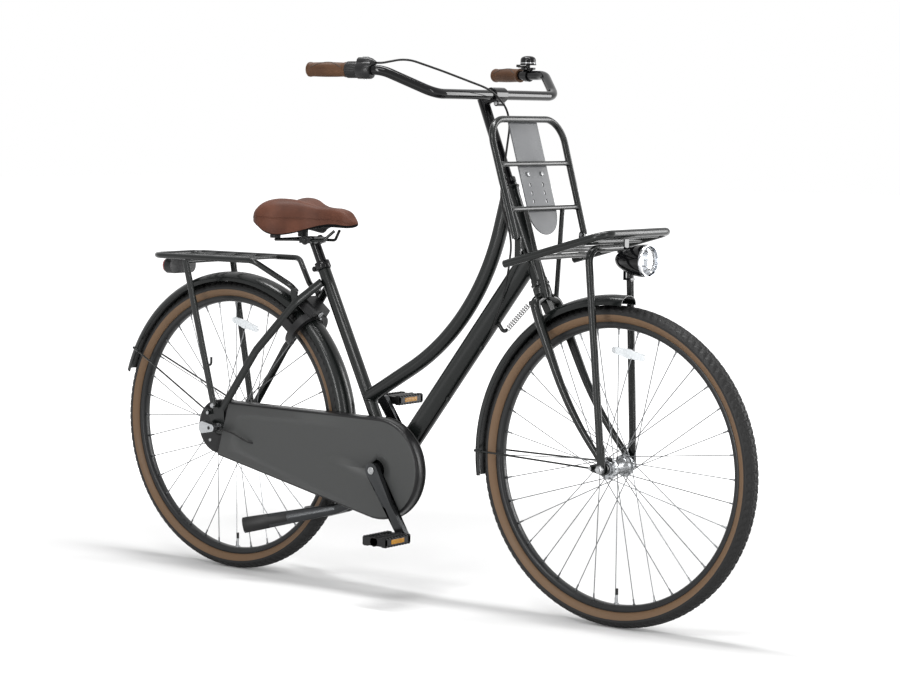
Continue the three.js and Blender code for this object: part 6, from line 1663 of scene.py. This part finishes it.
def make_grip(side, name, node):
    bm = bmesh.new()
    start, way = bar_end(side), bar_way(side)
    profile = [(0, -4), (9, -4), (13, -3.2), (15.6, -1), (16.3, 2), (15.9, 6)]
    for i in range(1, 24):
        along = 6 + i * 3.4
        profile.append((15.2 + 0.9 * math.sin(math.pi * i / 24), along))
    profile += [(15.8, 87), (16.5, 89), (16.5, 91), (15.8, 92), (11.4, 92), (11.4, 30), (0, 30)]
    lathe(bm, profile, start, way, 56)
    above, across = round_way(way)
    for line in (-1, 1):
        seam = []
        for i in range(41):
            share = i / 40
            turn = math.radians(line * (74 - 148 * share))
            radius = (15.35 + 0.9 * math.sin(math.pi * share)) / 1000
            out = (above * math.cos(turn) + across * math.sin(turn)) * radius
            seam.append(start + way * (9 + 76 * share) / 1000 + out)
        coloured(bm, SECOND, lambda mesh: extrude_through(mesh, circle(mesh, 0.75, 8), stations(seam)))
    finish_piece(name, bm, [grip_brown, thread], "steering", [node], sharp=50)


make_grip(-1, "grip_right", "right_grip")
make_grip(1, "grip_left", "left_grip")

# %% [markdown]
# The gear shifter is a twist grip next to the right grip, ribbed for the thumb, and a housing that pulls the
# cable. The bell sits on the left with a sprung lever. All of these are turned forms around the bar.


# %% Shifter and bell
def make_shifter():
    bm = bmesh.new()
    way, start = bar_way(-1), bar_end(-1)
    profile = [(11.8, 92.6), (16.6, 92.6), (17.4, 93.6), (17.4, 118.4), (16.8, 119.6), (11.8, 119.6), (11.8, 92.6)]
    lathe(bm, profile, start, way, 48)
    above, across = round_way(way)
    add_ribs(bm, above, across, 0.0172, start + way * 0.0948, start + way * 0.1176, 0.95, 8)
    finish_piece("shifter_grip", bm, soft_rubber, "twist_grip", ["shifter_twist_grip"])
    bm = bmesh.new()
    profile = [
        (11.4, 120.2), (19, 120.2), (20, 121.4), (20, 150), (18.6, 153), (15, 154.2), (11.4, 154.2),
        (11.4, 120.2),
    ]
    lathe(bm, profile, start, way, 48)
    low, high = on_bar(-1, 120.2) + UP * 0.015, on_bar(-1, 162.2) + UP * 0.015
    length = (high - low).length * 1000
    barrel = [(0, 0), (11, 0), (12, 1.2), (12, length - 16), (9.5, length - 8), (6, length - 3), (4.4, length)]
    lathe(bm, barrel + [(0, length)], low, way, 40)
    window = on_bar(-1, 138) + UP * 0.0262
    coloured(bm, SECOND, bar, window - way * 0.007, window + way * 0.007, 2.6, 6)
    bolt = on_bar(-1, 137) - UP * 0.018
    coloured(bm, SECOND, bar, bolt, bolt - UP * 0.0034, 3.4, 6)
    finish_piece(
        "shifter_case", bm, [black_plastic, zinc_steel], "steering", ["shifter_housing"],
        sharp=45,
    )


def make_bell():
    bm = bmesh.new()
    centre, way = on_bar(1, 118), bar_way(1)
    lathe(
        bm, [(11.4, -6.5), (14.2, -6.5), (15, -5.7), (15, 5.7), (14.2, 6.5), (11.4, 6.5), (11.4, -6.5)], centre,
        way, 48,
    )
    cup = [(0, 12.4), (15.4, 12.4), (17.4, 13.6), (17.8, 17.2), (17, 18.2), (5, 18.2), (5, 23.8)]
    dome = [
        (19, 23.8), (19.6, 24.4), (19.6, 26.2), (18.4, 26.9), (18.4, 36.5), (17.4, 40), (14.6, 43), (10, 45),
        (5, 45.9), (0, 46),
    ]
    lathe(bm, cup + dome, centre, UP, 56)
    coloured(bm, SECOND, ring, centre, UP, 18.2, 18.7, 28.2, 30.4, 56)
    coloured(bm, SECOND, lathe, [(0, 45.2), (3.2, 45.2), (3.4, 45.8), (2.6, 46), (0, 46)], centre, UP, 24)
    finish_piece("bell_dome", bm, [gloss_black, zinc_steel], "steering", ["bell"])
    bm = bmesh.new()
    pivot = centre + UP * 0.021 - way * 0.0053
    end = pivot - way * 0.03
    bar(bm, pivot, end, 2.4, 20)
    lathe(bm, [(0, -1.2), (4.2, -1.2), (5, -0.4), (5, 3.6), (4.2, 4.8), (0, 5)], end, UP, 32)
    finish_piece("bell_lever_arm", bm, black_plastic, "bell_thumb_lever", ["bell_lever"])


make_shifter()
make_bell()

# %% [markdown]
# The front carrier is the mark of this kind of bicycle. A tall loop stands behind a tray, two struts tie the loop
# to the fork crown, and a wide bent leg carries the tray to the axle. Every joint in it is a tube welded across a
# tube, so each gets the same bead.


# %% Front carrier
def loop_foot(side):
    return at(940, side * 131, 850)


def loop_top(side):
    return at(865, side * 136, 1107)


def on_loop(side, share):
    return loop_foot(side).lerp(loop_top(side), share)


LOOP_UP = Vector((-75, 0, 257)).normalized()
LOOP_AHEAD = LEFT.cross(LOOP_UP)


def tray_point(share, left):
    return at(912 + 260 * share, left, 793 + 73 * share)


def make_carrier_loop():
    bm = bmesh.new()
    pipe(bm, [loop_foot(-1), loop_top(-1), loop_top(1), loop_foot(1)], 7.5, bend=55, steps=16, sides=32)
    for share in (0.24, 0.62):
        across = (on_loop(1, share) - on_loop(-1, share)).length * 1000
        flare = [(7.3, 6), (6.6, 9), (5.9, 14), (5.5, 22)]
        profile = [(0, 0)] + flare + [(r, across - along) for r, along in reversed(flare)] + [(0, across)]
        lathe(bm, profile, on_loop(-1, share), LEFT, 28)
    for side in SIDES:
        high = on_loop(side, 0.24)
        high.y = side * 0.07
        low = on_head(17.8, side * 20, 404)
        bar(bm, high, low, 5.5, 24)
        foot, rail = loop_foot(side), tray_point(28 / 260, 0)
        inner = 132 - 7.853 - 0.3 - 4
        left = side * inner + (4 if side > 0 else 0)
        link_plate = belt((flat_place(foot)[0], 850), 7.5, flat_place(rail), 7.5, 14)
        plate(bm, link_plate, flat_side(left), 4)
        for spot in (foot, rail):
            place = Vector((spot.x, side * (inner - 0.2) / 1000, spot.z))
            coloured(bm, SECOND, bar, place, place - LEFT * side * 0.003, 4.6, 6)
        bar(bm, Vector((foot.x, side * inner / 1000, foot.z)), foot, 4.5, 16)
    finish_piece(
        "carrier_front_loop", bm, [satin_black, zinc_steel], "steering", ["front_carrier_back"],
    )


def make_tray():
    bm = bmesh.new()
    corners = [tray_point(0, -132), tray_point(1, -132), tray_point(1, 132), tray_point(0, 132)]
    pipe(bm, corners, 8.5, bend=32, steps=14, sides=32)
    way = Vector((260, 0, 73)).normalized()
    for share in (0.19, 0.45, 0.71, 0.88):
        bar(bm, tray_point(share, -132), tray_point(share, 132), 6, 24)
        for side in SIDES:
            rail = tray_point(share, side * 132)
            weld(bm, tray_point(share, 0), LEFT * side, 6, rail, way, 8.5, bead=1.2, steps=32)
    finish_piece("carrier_front_tray", bm, satin_black, "steering", ["front_carrier_platform"])


def make_front_legs():
    bm = bmesh.new()
    x, bar_up = flat_place(tray_point(0.71, 0))
    top = bar_up - 6 - 8.3 - 0.3
    corners = [at(WHEEL_BASE, -63.5, 389.6), at(x, -80, top), at(x, 80, top), at(WHEEL_BASE, 63.5, 389.6)]
    pipe(bm, corners, 8.3, bend=30, steps=14, sides=32)
    for side in SIDES:
        face = 62.3 if side > 0 else -58.8
        plate(bm, belt((WHEEL_BASE, 401.6), 9, (WHEEL_BASE, AXLE_HEIGHT), 10.5, 14), flat_side(face), 3.5)
        spot = at(x, side * 40, top + 8.3)
        bar(bm, spot - UP * 0.02, spot - UP * 0.0162, 5, 6)
    finish_piece("carrier_front_legs", bm, satin_black, "steering", ["front_carrier_legs"], bevel=0.3)


make_carrier_loop()
make_tray()
make_front_legs()

# %% [markdown]
# A flat steel plate hangs behind the loop's bars. It is punched with three rows of upright slots for straps and
# bolted below the upper bar. The slots are cut with a Boolean, so that they go right through.


# %% Carrier plate
def make_plate():
    start = Vector((at(865, 0, 1107).x, 0, 1.107)) - LOOP_UP * 0.262 - LOOP_AHEAD * 0.0088
    place = Matrix.Translation(start) @ facing(LEFT, LOOP_UP, LOOP_AHEAD)
    bm = bmesh.new()
    points = arcs(((49, 254), 4, 0, 90, 6), ((-49, 254), 4, 90, 180, 6), ((0, 53), 53, 180, 360, 40))
    plate(bm, points, place, 3)
    piece = finish_piece(
        "carrier_front_plate", bm, plate_grey, "steering", ["front_carrier_plate"], bevel=0.35,
    )
    holes = bmesh.new()
    for row in range(3):
        for way in (-1, 1):
            spot = place @ Matrix.Translation((way * 0.024, (76 + row * 19) / 1000, 0.0015))
            hole = spot @ Matrix.Diagonal((0.006, 0.010, 0.012, 1))
            bmesh.ops.create_cone(holes, cap_ends=True, segments=28, radius1=0.5, radius2=0.5, depth=1, matrix=hole)
    cutter = object_from("plate holes", holes)
    punch = piece.modifiers.new("punched slots", "BOOLEAN")
    punch.object = cutter
    piece.modifiers.move(1, 0)
    bpy.context.view_layer.update()
    whole = bpy.data.meshes.new_from_object(piece.evaluated_get(bpy.context.evaluated_depsgraph_get()))
    piece.modifiers.clear()
    piece.data = whole
    bpy.data.objects.remove(cutter)
    bm = bmesh.new()
    for way in (-1, 1):
        spot = on_loop(1, 0.62)
        spot.y = way * 0.026
        spot += -LOOP_AHEAD * 0.0058 - LOOP_UP * 0.022
        lathe(bm, [(0, 2.4), (2, 2.4), (2.6, 3.4), (4.4, 3), (5, 2), (5, 0), (0, 0)], spot, LOOP_AHEAD, 28)
    finish_piece("carrier_plate_bolts", bm, zinc_steel, "steering")


make_plate()

# %% [markdown]
# The headlight is a bullet shape: black shell, bright rim, a reflector dish and a round board of diodes behind a
# clear lens. The lens is a real thin shell, so that the lamps of the studio bend and flash in it.


# %% Headlight
LAMP = at(1202, 0, 806)


def make_headlight():
    bm = bmesh.new()
    shell = [
        (0, -85), (6, -84.6), (12.6, -81.6), (19, -74), (25.9, -59.5), (30.5, -45), (33.5, -32.3), (35, -22),
        (35.6, -14.4), (35.6, -6.5),
    ]
    inner = [(33.2, -6.5), (33.0, -14), (30.5, -24), (24, -36), (14, -48), (5, -52), (0, -52)]
    lathe(bm, shell + inner, LAMP, AHEAD, 64)
    rim = [
        (33, -7.2), (35.6, -7.2), (36, -6.4), (36, -1.2), (35.4, -0.3), (34.4, 0), (33.2, -0.2), (33, -1),
        (33, -7.2),
    ]
    coloured(bm, SECOND, lathe, rim, LAMP, AHEAD, 72)
    dish = [
        (32.4, -14.4), (30, -22), (24.5, -30), (17, -35.4), (10.4, -38), (10.4, -38.8), (17.2, -36.2),
        (25, -30.6), (30.6, -22.2), (32.9, -14.4), (32.4, -14.4),
    ]
    coloured(bm, THIRD, lathe, dish, LAMP, AHEAD, 64)
    coloured(bm, FOURTH, bar, LAMP - AHEAD * 0.040, LAMP - AHEAD * 0.0375, 10.8, 36)
    for i in range(7):
        turn = math.tau * i / 6
        out = Vector((0, math.cos(turn), math.sin(turn))) * (0.0068 if i < 6 else 0)
        spot = LAMP - AHEAD * 0.0376 + out
        coloured(bm, FOURTH, lathe, [(0, 5.6), (1.2, 5.2), (2.1, 4), (2.4, 2.4), (2.4, 0), (0, 0)], spot, AHEAD, 20)
    for i in range(12):
        turn = math.tau * i / 12
        out = Vector((0, math.cos(turn), math.sin(turn)))
        coloured(bm, THIRD, bar, LAMP - AHEAD * 0.034 + out * 0.018, LAMP - AHEAD * 0.0165 + out * 0.0312, 0.7, 6)
    bar(bm, at(1152, 0, 780), at(1152, 0, 766), 7, 28)
    x, bar_up = flat_place(tray_point(0.88, 0))
    box(bm, at(x - 1.5, -8, 766), at(x + 1.5, 8, bar_up - 6.3))
    box(bm, at(x - 1.5, -8, 763), at(1159, 8, 767.5))
    add_nut(bm, at(1152, 0, 763.4), -UP, 5.4, 4.4, 6.4)
    finish_piece(
        "headlight_bullet", bm, [gloss_black, bright_chrome, bright_chrome, white_reflector], "steering",
        ["headlight_shell"], sharp=42,
    )


def make_lens():
    bm = bmesh.new()
    skin = [
        (0, -0.2), (14, -0.7), (24, -1.9), (29.6, -3.4), (32.1, -6), (32.1, -13.4), (30, -13.4), (30, -8.6),
        (28.6, -6.6), (23.6, -4.8), (14, -3.6), (0, -3.2),
    ]
    lathe(bm, skin, LAMP, AHEAD, 72)
    finish_piece("headlight_clear_lens", bm, lens_clear, "steering", ["headlight_lens"], sharp=50)


make_headlight()
make_lens()

# %% [markdown]
# A small coil spring between fork and frame keeps the wheel straight while the bicycle stands. Its wire is wound at
# an even pitch, and both ends run out into straight tails that hook into the two lugs. When the fork turns, one end
# of the real spring follows the fork and the other stays; here the coil is fixed in place and rides on neither body.


# %% Steering spring
def make_spring():
    bm = bmesh.new()
    start, end = SPRING_ANCHOR + SPRING_WAY * 0.0003, SPRING_LUG - SPRING_WAY * 0.0003
    across = SPRING_WAY.orthogonal().normalized()
    beside = SPRING_WAY.cross(across)
    length = (end - start).length
    lead, count = 0.0036, 13 * 28
    path = [start, start + SPRING_WAY * lead * 0.5]
    for i in range(count + 1):
        turn = math.tau * i / 28
        grown = 0.0055 * min(1, (min(i, count - i) + 4) / 16)
        along = lead + (length - 2 * lead) * i / count
        path.append(start + SPRING_WAY * along + across * grown * math.cos(turn) + beside * grown * math.sin(turn))
    path += [end - SPRING_WAY * lead * 0.5, end]
    extrude_through(bm, circle(bm, 0.9, 12), stations(path))
    piece = finish_piece("steering_spring_coil", bm, satin_black, None, sharp=180)
    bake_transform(piece)
    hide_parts("steering_spring")


make_spring()

# %% [markdown]
# The gear cable leaves the shifter, crosses in front of the head tube in a free arc, and is clipped along the down
# tube to the hub. Its housing is a smooth black sleeve with a metal ferrule at each end. The route is a list of
# places, as it is for the fitter, and the whole cable is fixed in place on neither body.


# %% Gear cable and shift box
CABLE_FREE_END = on_down_tube(CLIP_PLACES[0] + 40)


def cable_route():
    way = bar_way(-1)
    outlet = on_bar(-1, 162.2) + UP * 0.015
    stay = on_stay_line
    under = 9 + 2.4 + 1.2
    return [
        outlet + way * 0.0003, outlet + way * 0.016, at(738, -262, 1236), at(782, -200, 1212), at(822, -60, 1170),
        at(816, 18, 1118), at(829, -40, 928), at(866, -42, 840), at(853, -38, 770), at(835, -32, 710),
        CABLE_FREE_END, on_down_tube(CLIP_PLACES[0]), on_down_tube(CLIP_PLACES[1]), on_down_tube(CLIP_PLACES[2] - 16),
        at(512, -24, 262), at(412, -33, stay(412) - under - 8), at(378, -33.5, stay(378) - under - 8),
        at(230, -37, stay(230) - under - 8),
        at(165, -49, stay(165) - under - 9), at(122, -58, 322), at(104, -74, 327),
        at(52, -80, 348.65), at(15.3, -80, 351.65),
    ]


def eased(corners, bend, steps):
    """Round bends as wide as the runs allow, up to the given radius."""
    path = [corners[0]]
    for before, corner, after in zip(corners, corners[1:], corners[2:]):
        towards, onward = (before - corner), (after - corner)
        reach = min(towards.length, onward.length) * 0.46
        half = towards.angle(onward) / 2
        if half > math.radians(89.5):
            path.append(corner)
            continue
        radius = min(bend / 1000, reach * math.tan(half))
        path += bent([before, corner, after], radius * 1000, steps)[1:-1]
    path.append(corners[-1])
    return path


def make_cable():
    bm = bmesh.new()
    path = eased(cable_route(), 160, 12)
    extrude_through(bm, circle(bm, 2.4, 18), stations(path))
    piece = finish_piece("gear_cable", bm, soft_rubber, None, sharp=180)
    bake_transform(piece)
    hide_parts("shift_cable")
    print("gear cable length", round(sum((b - a).length for a, b in zip(path, path[1:])), 3), "m")


def make_shift_box():
    bm = bmesh.new()
    middle = at(-11.5, -84.5, AXLE_HEIGHT)
    shape = arcs(((15, 0), 9, -90, 90, 12), ((-14, 4), 10.6, 90, 180, 8), ((-14, -4), 10.6, 180, 270, 8))
    place = Matrix.Translation(middle) @ STOOD_UP
    plate(bm, shape, place @ Matrix.Translation((0, 0, -0.0098)), 19.6)
    raised = [(a * 0.72, b * 0.66) for a, b in shape]
    plate(bm, raised, place @ Matrix.Translation((0, 0, 0.009)), 1.4)
    coloured(bm, SECOND, bar, at(-3, -94.6, AXLE_HEIGHT), at(-3, -95, AXLE_HEIGHT), 4.4, 28)
    coloured(bm, SECOND, bar, at(10, -80, 352.2), at(15, -80, 352), 4.2, 24)
    finish_piece(
        "shift_box_cover", bm, [silver, black_plastic], "frame", ["shift_box"], bevel=3.4, segments=3,
    )


make_cable()
make_shift_box()


# %% [markdown]
# Three steel parts keep the mechanical model's own shape, which is right as it is: the chain inside its case, the
# sprocket behind the hub and the bearing cartridge. They only take a finish.


# %% Finishes for the parts that stay
for node_name in ("chain", "rear_sprocket", "bottom_bracket_cartridge"):
    for material_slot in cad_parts[node_name].material_slots:
        material_slot.material = zinc_steel
print("three inner parts dressed")

# %% [markdown]
# The studio is plain. A white sweep keeps the soft shadow below each wheel, long strip lamps give the highlights
# that follow the tubes, and the camera sees pure white where nothing stands.


# %% Floor, lamps and world
def add_lamp(name, place, aim, size, watts):
    light = bpy.data.lights.new(name, "AREA")
    light.shape = "RECTANGLE"
    light.size, light.size_y = size
    light.energy = watts
    lamp = placed(name, light)
    lamp.location = place
    lamp.rotation_euler = (Vector(aim) - Vector(place)).to_track_quat("-Z", "Y").to_euler()
    return lamp


def seen_directly(nodes, link):
    """1 for what the camera sees straight, mirrored or through the lens, and 0 for the light that falls on things."""
    rays = add_node(nodes, "LightPath")
    seen = rays.outputs["Is Camera Ray"]
    for kind in ("Is Glossy Ray", "Is Transmission Ray"):
        either = add_node(nodes, "Math", operation="MAXIMUM")
        link(seen, either.inputs[0])
        link(rays.outputs[kind], either.inputs[1])
        seen = either.outputs["Value"]
    return seen


FLOOR_SHADOW_REACH = (1.1, 2.4)
FLOOR_LIFT = 0.04


def make_floor():
    bm = bmesh.new()
    bmesh.ops.create_grid(bm, x_segments=1, y_segments=1, size=30)
    floor = object_from("floor", bm)
    look, nodes, link, shader = new_look("floor white")
    set_inputs(shader, {"Base Color": (0.7, 0.7, 0.7, 1), "Roughness": 0.9, "Specular IOR Level": 0.0})
    place = add_node(nodes, "TexCoord")
    reach = add_node(nodes, "VectorMath", operation="LENGTH")
    link(place.outputs["Object"], reach.inputs[0])
    start, end = FLOOR_SHADOW_REACH
    fade = {"From Min": start, "From Max": end, "To Min": FLOOR_LIFT}
    far = add_node(nodes, "MapRange", fade, interpolation_type="SMOOTHSTEP")
    link(reach.outputs["Value"], far.inputs["Value"])
    lift = add_node(nodes, "Math", operation="MULTIPLY")
    link(far.outputs["Result"], lift.inputs[0])
    link(seen_directly(nodes, link), lift.inputs[1])
    set_inputs(shader, {"Emission Color": (1, 1, 1, 1)})
    link(lift.outputs["Value"], shader.inputs["Emission Strength"])
    floor.data.materials.append(look)


make_floor()
world = bpy.data.worlds.new("studio")
bpy.context.scene.world = world
world.use_nodes = True
tree = world.node_tree
sky = tree.nodes["Background"]
level = add_node(tree.nodes, "MapRange", {"To Min": 0.42, "To Max": 1.0})
tree.links.new(seen_directly(tree.nodes, tree.links.new), level.inputs["Value"])
tree.links.new(level.outputs["Result"], sky.inputs["Strength"])
sky.inputs["Color"].default_value = (1, 1, 1, 1)
lamps = [
    add_lamp("key", (0.9, -3.0, 3.6), (0, 0, 0.5), (1.9, 0.8), 58),
    add_lamp("tall strip", (0.35, -4.0, 1.27), (0.2, 0, 1.0), (0.34, 2.4), 66),
    add_lamp("side strip", (3.9, -1.0, 1.3), (0.2, 0, 1.0), (0.3, 2.4), 26),
    add_lamp("far strip", (2.75, 3.5, 1.5), (0.35, 0.2, 1.15), (0.9, 2.9), 98),
    add_lamp("top", (0, 0.1, 4.0), (0, 0, 0), (3.2, 0.5), 135),
]
bpy.context.scene.view_settings.view_transform = "Standard"
print("lamps:", len(lamps))

# %% [markdown]
# The last step brings the scene up to date.

# %% Close the frame
bpy.context.view_layer.update()
